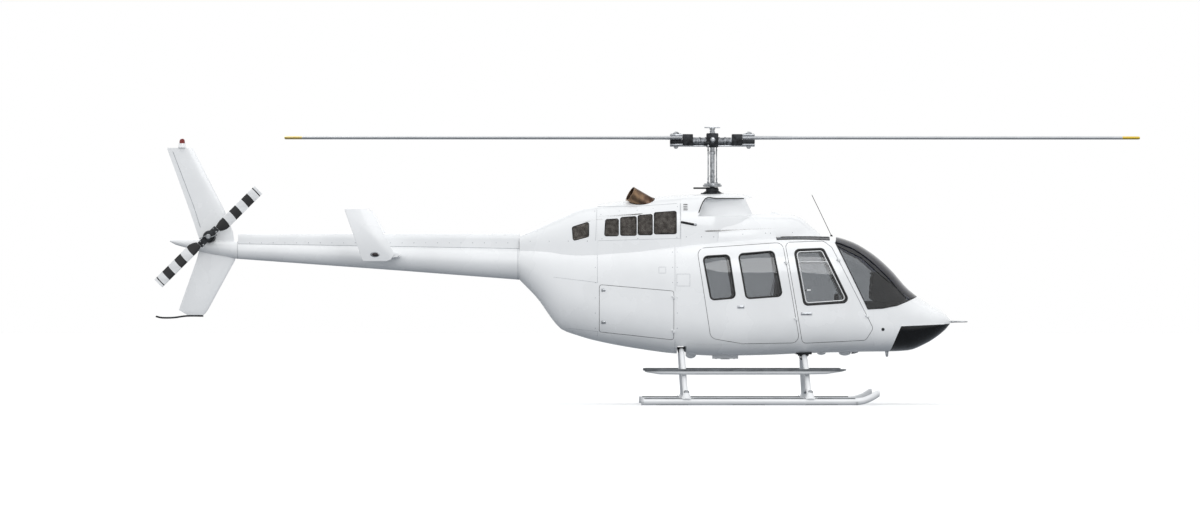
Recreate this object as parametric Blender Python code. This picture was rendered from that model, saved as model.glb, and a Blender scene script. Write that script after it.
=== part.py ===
"""Light single-turbine utility helicopter on skids, with a two-blade main rotor.

Metres. +X runs to the nose, +Y to port, +Z up. The origin lies on the ground under the middle
of the parked machine. Each panel, pane, blade and tube is its own closed solid.
"""
import math

import bmesh
import bpy
from mathutils import Matrix, Vector

# General clearances and walls
SEAT_GAP = 0.0003
DOOR_GAP = 0.006
WALL = 0.030
GLASS = 0.009
GLASS_GAP = 0.0006
RING_POINTS = 24
STATION_PITCH = 0.30
LEAST_REACH = 0.003

# Reach of cutting tools: past the sides and top of the machine, and past the ends of a shell
PAST_SIDE = 1.0
PAST_TOP = 3.0
PAST_END = 0.05
CABIN_SPAN = (-1.0, 4.0)

# Fuselage, by station along X. The columns are x, z_bottom, z_top, half_width,
# z_widest, top exponent, bottom exponent of the rounded section.
FUSELAGE = (
    (-1.690, 1.636, 2.100, 0.225, 1.868, 2.0, 2.0),
    (-1.450, 1.385, 2.104, 0.295, 1.790, 2.3, 2.2),
    (-1.264, 1.121, 2.108, 0.345, 1.700, 2.5, 2.3),
    (-1.145, 0.989, 2.110, 0.375, 1.620, 2.6, 2.4),
    (-0.947, 0.910, 2.115, 0.425, 1.520, 2.8, 2.5),
    (-0.670, 0.831, 2.120, 0.480, 1.450, 3.0, 2.7),
    (-0.103, 0.725, 2.125, 0.565, 1.350, 3.3, 3.0),
    (0.359, 0.666, 2.145, 0.620, 1.280, 3.6, 3.2),
    (0.952, 0.636, 2.180, 0.655, 1.250, 3.8, 3.4),
    (1.500, 0.645, 2.205, 0.660, 1.250, 3.8, 3.4),
    (2.008, 0.666, 2.216, 0.660, 1.250, 3.8, 3.4),
    (2.416, 0.679, 2.212, 0.655, 1.250, 3.6, 3.4),
    (2.667, 0.684, 2.150, 0.640, 1.220, 3.3, 3.3),
    (2.931, 0.690, 2.005, 0.610, 1.160, 3.0, 3.2),
    (3.195, 0.692, 1.781, 0.560, 1.100, 2.7, 3.0),
    (3.432, 0.706, 1.517, 0.490, 1.060, 2.5, 2.8),
    (3.656, 0.790, 1.352, 0.395, 1.060, 2.4, 2.6),
    (3.854, 0.917, 1.243, 0.275, 1.070, 2.3, 2.4),
    (3.960, 1.016, 1.154, 0.150, 1.083, 2.1, 2.2),
    (3.999, 1.070, 1.100, 0.045, 1.085, 2.0, 2.0),
)
TAIL_JOINT_X = -1.690
AFT_SEAM_X = 0.360
NOSE_SEAM_X = 2.950
NOSE_TIP_X = 3.999
INNER_NOSE_X = 3.900
SILL_Z = 0.790

# Cabin openings, as side-view outlines (x, z), each with its corner radius
FRONT_DOOR = ((2.021, 0.805), (2.850, 0.845), (2.944, 1.000), (2.403, 2.062), (2.298, 2.143),
              (1.796, 2.124))
FRONT_DOOR_RADIUS = 0.060
FRONT_WINDOW = ((2.045, 1.305), (2.630, 1.345), (2.290, 2.042), (1.914, 2.026))
REAR_DOOR = ((0.820, 0.871), (1.229, 0.800), (1.981, 0.811), (1.757, 2.124), (0.640, 2.046))
REAR_DOOR_RADIUS = 0.090
REAR_WINDOW_AFT = ((0.820, 1.372), (1.140, 1.400), (1.056, 1.960), (0.715, 1.940))
REAR_WINDOW_FORE = ((1.282, 1.390), (1.752, 1.424), (1.640, 2.010), (1.180, 1.972))
WINDOW_RADIUS = 0.055
BAGGAGE_DOOR = ((-0.640, 0.955), (0.330, 0.850), (0.330, 1.485), (-0.640, 1.570))
BAGGAGE_DOOR_RADIUS = 0.030
WINDSHIELD = ((2.456, 2.124), (2.878, 1.253), (3.063, 1.262), (3.261, 1.299), (3.393, 1.352),
              (3.530, 1.415), (3.800, 1.700), (3.200, 2.500), (2.520, 2.400))
CHIN_WINDOW = ((3.142, 0.600), (3.313, 1.030), (3.940, 1.056), (4.100, 1.056), (4.100, 0.600))
SKYLIGHT = ((1.690, 2.400), (1.690, 2.000), (2.380, 2.000), (2.380, 2.400))
SKYLIGHT_Y = (0.300, 0.420)
CENTRE_POST_HALF = 0.022
CHIN_POST_HALF = 0.075
DOOR_REACH_Y = 0.200
DOOR_GLASS_DEPTH = 0.008

# Stretches of the fuselage form, along X, that the doors and panes are cut from
FRONT_DOOR_SPAN = (1.70, 3.02)
REAR_DOOR_SPAN = (0.50, 2.10)
BAGGAGE_DOOR_SPAN = (-0.75, 0.3590)
WINDSHIELD_SPAN = (2.30, 3.70)
CHIN_SPAN = (3.00, 3.98)
SKYLIGHT_SPAN = (1.55, 2.50)
DOOR_GLASS_SPAN = (0.60, 2.75)

# Hollows of the aft fuselage, as the z range of each bay between decks
AFT_BAYS = ((0.700, 0.925), (0.950, 1.580), (1.605, 2.060))
BAY_AFT_X = -1.450

# Cargo-hook plate under the belly: x0, x1, y0, y1, z0, z1
HOOK_PLATE = (0.850, 1.190, -0.120, 0.120, 0.597, 0.650)

# Door hinges, upper then lower. The columns are x, z and the axis's stand-off from the skin.
FRONT_HINGES = ((2.489, 1.899, 0.040), (2.865, 1.161, 0.020))
REAR_HINGES = ((1.805, 1.860, 0.036), (1.931, 1.121, 0.020))
BAGGAGE_HINGES = ((0.333, 1.405, 0.022), (0.333, 0.960, 0.040))
HINGE_RADIUS = 0.010
HINGE_LENGTH = 0.036
HINGE_BURY = 0.018
LEAF_REACH = 0.030
REAR_FRAME_REACH = 0.016
BAGGAGE_FRAME_REACH = 0.014

# Upper cowls, by station along X. The columns are x, z_top, half_width, exponent.
COWL_BASE_Z = 1.960
AFT_FAIRING = (
    (-1.6900, 2.236, 0.170, 2.6),
    (-1.4220, 2.361, 0.235, 2.6),
    (-1.1580, 2.486, 0.300, 2.7),
    (-0.8940, 2.598, 0.360, 2.8),
    (-0.6635, 2.643, 0.395, 2.9),
)
ENGINE_COWL = (
    (-0.6630, 2.643, 0.395, 2.9),
    (-0.2740, 2.684, 0.425, 3.0),
    (0.1610, 2.737, 0.440, 3.1),
    (0.4245, 2.757, 0.440, 3.2),
)
TRANSMISSION_COWL = (
    (0.4250, 2.757, 0.440, 3.2),
    (0.7000, 2.768, 0.437, 3.2),
    (0.8850, 2.777, 0.430, 3.1),
    (0.9600, 2.779, 0.400, 3.1),
    (1.2160, 2.770, 0.340, 3.0),
    (1.3720, 2.735, 0.230, 2.8),
)
FORWARD_FAIRING = (
    (0.9130, 2.476, 0.430, 3.0),
    (1.3740, 2.506, 0.375, 2.8),
    (1.8750, 2.500, 0.285, 2.5),
    (2.0080, 2.462, 0.260, 2.4),
    (2.1390, 2.361, 0.220, 2.3),
    (2.2450, 2.269, 0.170, 2.2),
    (2.3000, 2.215, 0.120, 2.2),
)
COWL_WALL = 0.028
COWL_SHOULDER_Z = 2.080
COWL_POINTS = 12
COWL_BORE_BASE_Z = 1.860
AFT_FAIRING_SPAN = (-1.70, -0.60)
ENGINE_COWL_SPAN = (-0.75, 0.50)
TRANSMISSION_COWL_SPAN = (0.30, 1.50)
FORWARD_FAIRING_SPAN = (0.80, 2.40)

# Intake head over the gearbox: it carries on from the transmission cowl as a neck and a cap,
# with the space beside the neck cut out (side view, x and z)
NECK_HALF_WIDTH = 0.190
HEAD_NOTCH = ((0.655, 2.470), (0.752, 2.708), (1.600, 2.708), (1.600, 2.470))
HEAD_FRONT = ((1.280, 2.700), (1.390, 2.470), (1.700, 2.470), (1.700, 2.724), (1.345, 2.724))
MOUTH = ((0.560, 2.500), (0.760, 2.500), (0.860, 2.680), (0.640, 2.680))
MOUTH_Y = (0.215, 0.360)

# Engine grilles as side-view outlines, cut as pockets in the cowl sides
ENGINE_GRILLES = (
    ((-0.575, 2.212), (-0.390, 2.212), (-0.390, 2.440), (-0.560, 2.430)),
    ((-0.365, 2.218), (-0.155, 2.218), (-0.155, 2.472), (-0.365, 2.455)),
    ((-0.135, 2.226), (0.055, 2.226), (0.055, 2.500), (-0.135, 2.482)),
    ((0.078, 2.236), (0.370, 2.240), (0.370, 2.540), (0.078, 2.520)),
)
AFT_GRILLE = ((-0.985, 2.150), (-0.780, 2.205), (-0.780, 2.400), (-1.000, 2.330))
GRILLE_DEPTH = 0.014
GRILLE_RADIUS = 0.025
GRILLE_LEAST_Y = 0.15

# Exhaust stacks
STACK_BASE = (0.221, -0.136, 2.511)
STACK_TIP = (-0.235, -0.260, 2.770)
STACK_RADIUS = 0.100
STACK_WALL = 0.006
STACK_CLEARANCE = 0.008
STACK_BORE_START = 0.4
STACK_SIDES = 20

# The engine, as one plain block: x0, x1, y0, y1, z0, z1
ENGINE_BLOCK = (-0.560, 0.330, -0.240, 0.240, 2.000, 2.450)

# Tail boom (x, z_centre, radius) and its shaft cover
BOOM = ((-1.6903, 1.862, 0.2240), (-3.2000, 1.932, 0.1780), (-5.4200, 2.030, 0.1150))
BOOM_WALL = 0.012
BOOM_END_WALL = 0.08
BOOM_SIDES = 24
COVER_TOP_Z = 2.256
COVER = ((-1.6903, 0.125), (-5.4000, 0.082))
COVER_DROP = 0.090
COVER_WALL = 0.012
COVER_FOOT_Z = 2.000
COVER_POINTS = 8
COVER_POWER = 0.8

# Tail cone and fins. Fin stations are z, leading x, trailing x.
CONE = ((-5.4203, 2.030, 0.1150), (-5.7500, 2.070, 0.0950), (-6.0500, 2.112, 0.0620),
        (-6.3000, 2.150, 0.0180))
UPPER_FIN = ((2.060, -5.440, -5.880), (2.269, -5.470, -5.946), (2.546, -5.577, -6.040),
             (3.377, -5.999, -6.342))
LOWER_FIN = ((2.050, -5.435, -5.910), (1.899, -5.440, -5.950), (1.240, -5.800, -6.184),
             (1.174, -5.850, -6.080))
FIN_THICKNESS = 0.12
FIN_PROFILE = ((0.0, 0.0), (0.06, 0.30), (0.30, 0.50), (0.65, 0.34), (1.0, 0.05))
TAIL_SKID = ((-5.860, 0.0, 1.1617), (-6.075, 0.0, 1.1617), (-6.250, 0.0, 1.140),
             (-6.400, 0.0, 1.138), (-6.487, 0.0, 1.158))
TAIL_SKID_RADIUS = 0.012
BEACON = (-6.140, 3.3775, 3.437, 3.500)
BEACON_BASE_RADII = (0.055, 0.045)
BEACON_DOME_RADII = (0.038, 0.028)
BEACON_LAP = 0.010
GEARBOX_RADIUS = 0.085
GEARBOX_END_RADIUS = 0.0595
GEARBOX_END_Y = -0.235

# Stabiliser with end plates
STABILISER = (-3.262, -3.690, 1.955, 0.965)
STABILISER_THICKNESS = 0.16
END_PLATE = ((-3.979, 2.562), (-3.643, 2.562), (-3.319, 1.967), (-3.371, 1.896), (-3.423, 1.877),
             (-3.733, 1.877))
END_PLATE_HALF = 0.012

# Main rotor
MAST = Vector((0.852, 0.0, 0.0))
BLADE_Z = 3.511
ROTOR_RADIUS = 5.63865
BLADE_ROOT = 0.400
BLADE_CHORD = 0.330
BLADE_THICKNESS = 0.042
MAST_RADIUS = 0.032
MAST_FOOT_Z = 2.8105
MAST_TOP_Z = 3.3847
BLADE_PROFILE = ((0.0, 0.0), (0.03, 0.24), (0.12, 0.44), (0.30, 0.50), (0.60, 0.36), (1.0, 0.03))
BLADE_AXIS_SHARE = 0.3

# Swashplates round the mast. A disc is given as radius, z0, z1, and the lever as
# x0, x1, half width, z0, z1 from the mast.
SWASH_FOOT = (0.155, 2.740, 2.8102)
SWASH_BOOT = (0.085, 2.8005, 2.860)
SWASH_LEVER = (-0.250, -0.060, 0.020, 2.835, 2.860)
SWASH_BORE_RADIUS = 0.0375
SWASH_BORE_TOP_Z = 2.90
SWASH_RING = (0.125, 2.8655, 2.920)
PITCH_LINKS = ((-0.057, -0.095), (0.057, 0.095))
PITCH_LINK_RADIUS = 0.009
PITCH_LINK_Z = (2.910, 3.4197)
PITCH_HORN_X = (0.7, 1.9)
PITCH_HORN_Y = (0.5, 1.15)
PITCH_HORN_Z = (3.420, 3.460)

# Hub, outwards from the mast: near x, far x, half width, z0, z1
HUB_BLOCK = (0.0, 0.080, 0.075, 3.385, 3.572)
HUB_PLATE = (0.0, 0.560, 0.050, 3.395, 3.412)
GRIP_CHEEK = (0.255, 0.395, 0.080, 3.4100, 3.5600)
GRIP_STRAP = (0.390, 0.560, 0.080, 3.5352, 3.5595)
GRIP_FOOT = (0.390, 0.560, 0.080, 3.4105, 3.4868)
BLADE_DOUBLER = (0.3998, 0.620, 0.070, 3.4871, 3.5349)
GRIP_X = (0.070, 0.275)
GRIP_Z = 3.463
GRIP_RADIUS = 0.060
BLADE_PIN_X = 0.480
BLADE_PIN_HEAD = (0.045, 3.555, 3.594)
BLADE_PIN_NUT = (0.030, 3.367, 3.400)
MAST_NUT = (0.042, 3.565, 3.645)
TOP_BAR = (0.0, 0.105, 0.020, 3.640, 3.655)

# Tail rotor
TAIL_HUB = Vector((-5.781, -0.300, 2.203))
TAIL_RADIUS = 0.900
TAIL_CHORD = 0.148
TAIL_THICKNESS = 0.018
TAIL_REST_DEG = 45.0
TAIL_BLADE_ROOT = 0.160
TAIL_HUB_HALF = (0.045, 0.022, 0.1597)
TAIL_SHAFT_RADIUS = 0.024
TAIL_SHAFT_END_Y = -0.055
TAIL_DISC = (0.048, -0.045, -0.010)

# Landing gear
SKID_Y = 1.070
SKID_RADIUS = 0.045
SKID_PATH = ((-0.070, 0.045), (0.020, 0.045), (2.700, 0.045), (2.800, 0.058), (2.905, 0.100),
             (3.000, 0.160))
TUBE_RADIUS = 0.034
FRONT_TUBE_X = (2.051, 2.105)
REAR_TUBE_X = (0.437, 0.490)
FRONT_TUBE_Z = 0.620
REAR_TUBE_Z = 0.708
STEP_X = (-0.050, 2.580)
STEP_Y = (0.800, 0.930)
STEP_Z = (0.395, 0.470)
STEP_TAPER = (0.25, 0.35)
STEP_TIP_RISE = 0.012
STEP_TOP_DROP = 0.004
STEP_BRACKET = (0.055, 0.010, 0.075, 0.010, 0.012)
TUBE_NOTCH = (0.378, 0.500, 0.762)

# Cross tube's path as places out from the middle: y, and how far it has dropped or its height
TUBE_BEND = ((0.400, 0.0), (0.520, 0.025), (0.640, 0.100))
TUBE_LEG = ((0.960, 0.205), (1.035, 0.115), (1.070, 0.060))
SADDLE_FOOT_Z = 0.050
SADDLE_TOP = (1.030, 0.150)
SADDLE_RADII = (0.075, 0.036)
SADDLE_LEAST_Z = 0.020
FRONT_CLAMP_HALF = 0.110
FRONT_CLAMP_Y = (0.230, 0.310)
FRONT_CLAMP_Z = (0.045, 0.760)
FRONT_CLAMP_SPAN = (1.80, 2.30)
REAR_MOUNT_AFT = 0.030
REAR_MOUNT_Y = (0.200, 0.280)
REAR_MOUNT_Z = (0.020, 0.755)

# Pitot tube on the nose
PITOT_Z = 1.085
PITOT_TIP_X = 4.222
PITOT_RADII = (0.013, 0.005)

# Cabin furniture
FLOOR_Z = (0.8003, 0.8300)
FLOOR_X = (0.520, 3.050)
BULKHEAD_X = (0.480, 0.510)

# Seats: back foot x, middle y, width, way it faces, top of the back and depth of the pan
SEATS = (
    ("crew_seat_right", 1.940, -0.300, 0.440, 1.0, 1.860, 0.540),
    ("crew_seat_left", 1.940, 0.300, 0.440, 1.0, 1.860, 0.540),
    ("middle_bench", 1.735, 0.0, 1.060, -1.0, 1.740, 0.420),
    ("rear_bench", 0.660, 0.0, 1.020, 1.0, 1.880, 0.460),
)
SEAT_PAN_Z = (1.000, 1.130)
SEAT_BACK_THICKNESS = 0.110
SEAT_BACK_FOOT_Z = 1.05
SEAT_LEAN = 0.070
SEAT_STAND_TOP_Z = 1.010
SEAT_STAND_INSET = (0.05, 0.06, 0.03)
CONSOLE = ((2.930, 1.400), (2.955, 1.700), (2.985, 1.742), (3.060, 1.735), (3.200, 1.610),
           (3.400, 1.400), (3.380, 1.340), (3.000, 1.340))
CONSOLE_HALF_WIDTH = 0.300
PEDESTAL = (2.860, 3.300, -0.110, 0.110, 0.8303, 1.360)
PEDESTAL_SPAN = (2.70, 3.40)


def clear_scene():
    """Remove whatever the opened file holds."""
    for item in list(bpy.data.objects):
        bpy.data.objects.remove(item, do_unlink=True)


def material(name, colour, roughness, metallic=0.0, transmission=0.0):
    """A Principled finish with one colour."""
    mat = bpy.data.materials.new(name)
    mat.use_nodes = True
    shader = mat.node_tree.nodes["Principled BSDF"]
    shader.inputs["Base Color"].default_value = (*colour, 1.0)
    shader.inputs["Roughness"].default_value = roughness
    shader.inputs["Metallic"].default_value = metallic
    shader.inputs["Transmission Weight"].default_value = transmission
    mat.diffuse_color = (*colour, 1.0)
    return mat


def make_object(name, bm):
    """Turn a bmesh into a linked object with outward faces."""
    bmesh.ops.recalc_face_normals(bm, faces=bm.faces)
    mesh = bpy.data.meshes.new(name)
    bm.to_mesh(mesh)
    bm.free()
    obj = bpy.data.objects.new(name, mesh)
    bpy.context.scene.collection.objects.link(obj)
    return obj


def boolean(target, tool, operation):
    """Apply one exact Boolean to target and drop the tool."""
    modifier = target.modifiers.new("boolean", "BOOLEAN")
    modifier.operation = operation
    modifier.solver = "EXACT"
    modifier.object = tool
    depsgraph = bpy.context.evaluated_depsgraph_get()
    mesh = bpy.data.meshes.new_from_object(target.evaluated_get(depsgraph))
    target.modifiers.clear()
    spent = target.data
    target.data = mesh
    bpy.data.meshes.remove(spent)
    bpy.data.objects.remove(tool, do_unlink=True)
    return target


def cut(target, *tools):
    """Take each tool's volume out of target."""
    for tool in tools:
        boolean(target, tool, "DIFFERENCE")
    return target


def keep(target, tool):
    """Keep only what target shares with tool."""
    return boolean(target, tool, "INTERSECT")


def fuse(target, *tools):
    """Join each tool to target as one body."""
    for tool in tools:
        boolean(target, tool, "UNION")
    return target


def finish(obj, name, mat, crease_deg=35.0):
    """Name a finished solid, tidy its mesh and give it its material."""
    bm = bmesh.new()
    bm.from_mesh(obj.data)
    bmesh.ops.remove_doubles(bm, verts=bm.verts, dist=0.00004)
    bmesh.ops.dissolve_degenerate(bm, edges=bm.edges, dist=0.00004)
    bm.to_mesh(obj.data)
    bm.free()
    obj.name = name
    obj.data.name = name
    obj.data.materials.clear()
    obj.data.materials.append(mat)
    obj.data.shade_smooth()
    obj.data.set_sharp_from_angle(angle=math.radians(crease_deg))
    return obj


def pivot_at(obj, point):
    """Move an object's origin to a point, with its shape left in place."""
    obj.data.transform(Matrix.Translation(-Vector(point)))
    obj.location = point
    return obj


def box(x0, x1, y0, y1, z0, z1):
    """A plain box between two corners."""
    bm = bmesh.new()
    bmesh.ops.create_cube(bm, size=1.0)
    bmesh.ops.scale(bm, vec=(x1 - x0, y1 - y0, z1 - z0), verts=bm.verts)
    bmesh.ops.translate(bm, vec=((x0 + x1) / 2, (y0 + y1) / 2, (z0 + z1) / 2), verts=bm.verts)
    return make_object("box", bm)


def loft(rings):
    """A closed solid through rings of equally many points, with flat ends.

    The diagonals of its quads mirror each other across the middle plane.
    """
    bm = bmesh.new()
    rows = [[bm.verts.new(point) for point in ring] for ring in rings]
    count = len(rows[0])
    for lower, upper in zip(rows, rows[1:]):
        for i in range(count):
            j = (i + 1) % count
            if lower[i].co.y + lower[j].co.y > 0:
                bm.faces.new((lower[i], lower[j], upper[j]))
                bm.faces.new((lower[i], upper[j], upper[i]))
            else:
                bm.faces.new((lower[i], lower[j], upper[i]))
                bm.faces.new((lower[j], upper[j], upper[i]))
    bm.faces.new(rows[0])
    bm.faces.new(rows[-1])
    return make_object("loft", bm)


def rod(start, end, radius, sides=16, end_radius=None):
    """A round bar or cone between two points."""
    start = Vector(start)
    end = Vector(end)
    axis = end - start
    bm = bmesh.new()
    bmesh.ops.create_cone(bm, cap_ends=True, segments=sides, radius1=radius,
                          radius2=radius if end_radius is None else end_radius,
                          depth=axis.length)
    turn = Vector((0.0, 0.0, 1.0)).rotation_difference(axis).to_matrix().to_4x4()
    bmesh.ops.transform(bm, matrix=Matrix.Translation((start + end) / 2) @ turn, verts=bm.verts)
    return make_object("rod", bm)


def tube(points, radius, sides=10):
    """A round bar swept along a path, made as a bevelled curve."""
    curve = bpy.data.curves.new("tube", "CURVE")
    curve.dimensions = "3D"
    curve.bevel_depth = radius
    curve.bevel_resolution = sides // 2 - 2
    curve.use_fill_caps = True
    spline = curve.splines.new("POLY")
    spline.points.add(len(points) - 1)
    for slot, point in zip(spline.points, points):
        slot.co = (*point, 1.0)
    source = bpy.data.objects.new("tube", curve)
    bpy.context.scene.collection.objects.link(source)
    depsgraph = bpy.context.evaluated_depsgraph_get()
    mesh = bpy.data.meshes.new_from_object(source.evaluated_get(depsgraph))
    bpy.data.objects.remove(source, do_unlink=True)
    bm = bmesh.new()
    bm.from_mesh(mesh)
    bmesh.ops.remove_doubles(bm, verts=bm.verts, dist=0.0001)
    bpy.data.meshes.remove(mesh)
    return make_object("tube", bm)


def grown(outline, distance):
    """A convex side-view outline moved outwards by a distance, with square corners."""
    area = sum(a[0] * b[1] - b[0] * a[1] for a, b in zip(outline, outline[1:] + outline[:1]))
    side = 1.0 if area > 0 else -1.0
    moved = []
    count = len(outline)
    for i in range(count):
        before = Vector(outline[i]) - Vector(outline[i - 1])
        after = Vector(outline[(i + 1) % count]) - Vector(outline[i])
        out_before = Vector((before.y, -before.x)).normalized() * side
        out_after = Vector((after.y, -after.x)).normalized() * side
        mitre = (out_before + out_after).normalized()
        moved.append(tuple(Vector(outline[i]) + mitre * (distance / mitre.dot(out_after))))
    return tuple(moved)


def rounded(outline, radius, steps=2):
    """A side-view outline whose corners are arcs of the given radius."""
    points = []
    count = len(outline)
    for i in range(count):
        corner = Vector(outline[i])
        back = (Vector(outline[i - 1]) - corner)
        ahead = (Vector(outline[(i + 1) % count]) - corner)
        half = back.angle(ahead) / 2
        reach = min(radius / math.tan(half), back.length * 0.45, ahead.length * 0.45)
        bow = reach * math.tan(half)
        centre = corner + (back.normalized() + ahead.normalized()).normalized() * (
            bow / math.sin(half))
        first = corner + back.normalized() * reach - centre
        last = corner + ahead.normalized() * reach - centre
        turn = first.angle_signed(last)
        for step in range(steps + 1):
            angle = -turn * step / steps
            spoke = Vector((first.x * math.cos(angle) - first.y * math.sin(angle),
                            first.x * math.sin(angle) + first.y * math.cos(angle)))
            points.append(tuple(centre + spoke))
    return tuple(points)


def prism(outline, y0, y1):
    """A side-view outline (x, z) extruded from y0 to y1."""
    return loft([[(x, y, z) for x, z in outline] for y in (y0, y1)])


def smooth_value(x, table, column):
    """One column of a station table at x, by monotone cubic interpolation."""
    xs = [row[0] for row in table]
    ys = [row[column] for row in table]
    if x <= xs[0]:
        return ys[0]
    if x >= xs[-1]:
        return ys[-1]
    slopes = [(ys[i + 1] - ys[i]) / (xs[i + 1] - xs[i]) for i in range(len(xs) - 1)]
    i = max(k for k in range(len(slopes)) if xs[k] <= x)

    def tangent(k):
        if k == 0:
            return slopes[0]
        if k == len(slopes):
            return slopes[-1]
        if slopes[k - 1] * slopes[k] <= 0:
            return 0.0
        return 2 * slopes[k - 1] * slopes[k] / (slopes[k - 1] + slopes[k])

    width = xs[i + 1] - xs[i]
    t = (x - xs[i]) / width
    return (ys[i] * (1 + 2 * t) * (1 - t) ** 2 + tangent(i) * width * t * (1 - t) ** 2
            + ys[i + 1] * t * t * (3 - 2 * t) - tangent(i + 1) * width * t * t * (1 - t))


def even_places(table, pitch):
    """Station places along a whole table, each span split evenly at about the pitch."""
    places = [table[0][0]]
    for row in table[1:]:
        start = places[-1]
        parts = max(1, round((row[0] - start) / pitch))
        places += [start + (row[0] - start) * (k + 1) / parts for k in range(parts)]
    return places


HULL_PLACES = even_places(FUSELAGE, STATION_PITCH)


def power(value, exponent):
    """Signed power, for superellipse sections."""
    return math.copysign(abs(value) ** exponent, value)


def fuselage_ring(x, inset):
    """The rounded fuselage section at x, moved inwards by inset."""
    bottom, top, half, middle, n_top, n_bottom = (
        smooth_value(x, FUSELAGE, column) for column in range(1, 7))
    ring = []
    for k in range(RING_POINTS):
        angle = 2 * math.pi * k / RING_POINTS
        exponent = 2.0 / (n_top if math.sin(angle) >= 0 else n_bottom)
        height = top - middle if math.sin(angle) >= 0 else middle - bottom
        ring.append((x, max(half - inset, LEAST_REACH) * power(math.cos(angle), exponent),
                     middle + max(height - inset, LEAST_REACH)
                     * power(math.sin(angle), exponent)))
    return ring


def hull(x0, x1, inset=0.0):
    """A solid of the fuselage form between two stations, moved inwards by inset.

    Every piece is cut from the same faceted form, so that neighbours match.
    """
    rings = [fuselage_ring(x, inset) for x in HULL_PLACES]
    rings.insert(0, [(x - 0.10, y, z) for x, y, z in rings[0]])
    return keep(loft(rings), box(x0, x1, -PAST_SIDE, PAST_SIDE, 0.0, PAST_TOP))


def skin(x0, x1, wall=WALL):
    """The fuselage skin between two stations, open at both ends."""
    inner_end = min(x1 + PAST_END, INNER_NOSE_X)
    return cut(hull(x0, x1), hull(x0 - PAST_END, inner_end, wall))


def mirror(obj):
    """A copy of a finished piece, mirrored to the other side."""
    bm = bmesh.new()
    bm.from_mesh(obj.data)
    bmesh.ops.scale(bm, vec=(1.0, -1.0, 1.0), verts=bm.verts)
    bmesh.ops.reverse_faces(bm, faces=bm.faces)
    return make_object("mirrored", bm)


def side_pair(obj, name, mat):
    """Finish a starboard piece and its mirrored port twin."""
    twin = mirror(obj)
    return finish(obj, name + "_right", mat), finish(twin, name + "_left", mat)


def both_sides(outline, y0, y1):
    """Prisms of one outline on both sides of the machine."""
    return prism(outline, -y1, -y0), prism(outline, y0, y1)


def surface_y(x, z, inset=0.0):
    """Half-width of the fuselage at station x and height z."""
    bottom, top, half, middle, n_top, n_bottom = (
        smooth_value(x, FUSELAGE, column) for column in range(1, 7))
    exponent = n_top if z >= middle else n_bottom
    reach = top - inset - middle if z >= middle else middle - bottom - inset
    ratio = min(1.0, abs(z - middle) / reach)
    return (half - inset) * (1.0 - ratio ** exponent) ** (1.0 / exponent)


def hinge_points(hinges):
    """The upper and lower points of a starboard hinge axis, which stands off the skin."""
    return [Vector((x, -surface_y(x, z) - stand_off, z)) for x, z, stand_off in hinges]


def hinge_leaf(point, axis, root, start, length):
    """A hinge leaf: a knuckle round the axis at point, with an arm that reaches to root."""
    arm = Vector(root) - point
    arm -= axis * arm.dot(axis)
    side = arm.normalized()
    across = axis.cross(side)
    profile = [side * math.cos(angle) * HINGE_RADIUS + across * math.sin(angle) * HINGE_RADIUS
               for angle in (math.radians(90 + 45 * k) for k in range(5))]
    profile.append(side * arm.length - across * HINGE_RADIUS)
    profile.append(side * arm.length + across * HINGE_RADIUS)
    return loft([[point + axis * offset + spoke for spoke in profile]
                 for offset in (start, start + length)])


def hinge_leaves(hinges, door_reach, frame_reach):
    """The door's leaves and the frame's leaves along one starboard hinge axis."""
    upper, lower = hinge_points(hinges)
    axis = (upper - lower).normalized()
    door_leaves = []
    frame_leaves = []
    for point, (x, z, stand_off) in zip((upper, lower), hinges):
        inward = stand_off + HINGE_BURY
        door_root = point + Vector((-door_reach, inward, 0.0))
        frame_root = point + Vector((frame_reach, inward, 0.0))
        door_leaves.append(hinge_leaf(point, axis, door_root, SEAT_GAP / 2, HINGE_LENGTH / 2))
        frame_leaves.append(hinge_leaf(point, axis, frame_root,
                                       -(SEAT_GAP + HINGE_LENGTH) / 2, HINGE_LENGTH / 2))
    return door_leaves, frame_leaves


def glazing(outline, radius, across, span, depth):
    """A pane of the fuselage form, cut to a side-view outline between two places across."""
    x0, x1 = span
    sheet = cut(hull(x0, x1, depth), hull(x0 - PAST_END, x1 + PAST_END, depth + GLASS))
    edge = grown(outline, -GLASS_GAP)
    return keep(sheet, prism(rounded(edge, radius) if radius else edge, *across))


def cowl_ring(x, table, inset, base_z):
    """An arched cowl section at x: vertical feet and a rounded top."""
    top, half, exponent = (smooth_value(x, table, column) for column in (1, 2, 3))
    ring = [(x, half - inset, base_z)]
    for k in range(COWL_POINTS + 1):
        angle = math.pi * k / COWL_POINTS
        ring.append((x, (half - inset) * power(math.cos(angle), 2.0 / exponent),
                     COWL_SHOULDER_Z + (top - inset - COWL_SHOULDER_Z)
                     * power(math.sin(angle), 2.0 / exponent)))
    ring.append((x, inset - half, base_z))
    return ring


def cowl(table, inset=0.0, reach=0.0, base_z=COWL_BASE_Z):
    """A solid cowl through its stations, moved inwards by inset and lengthened by reach."""
    rings = [cowl_ring(x, table, inset, base_z) for x in even_places(table, STATION_PITCH)]
    if reach:
        rings[0] = [(x - reach, y, z) for x, y, z in rings[0]]
        rings[-1] = [(x + reach, y, z) for x, y, z in rings[-1]]
    return loft(rings)


def seated_on_fuselage(piece, x0, x1):
    """Trim a cowl's foot to the fuselage top."""
    return cut(piece, hull(x0, x1, -SEAT_GAP))


def grille_pockets(outlines, table):
    """Tools that cut shallow pockets into both sides of a cowl."""
    tools = []
    for outline in outlines:
        for tool in both_sides(rounded(outline, GRILLE_RADIUS), GRILLE_LEAST_Y, PAST_SIDE):
            tools.append(cut(tool, cowl(table, GRILLE_DEPTH, PAST_END)))
    return tools


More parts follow.
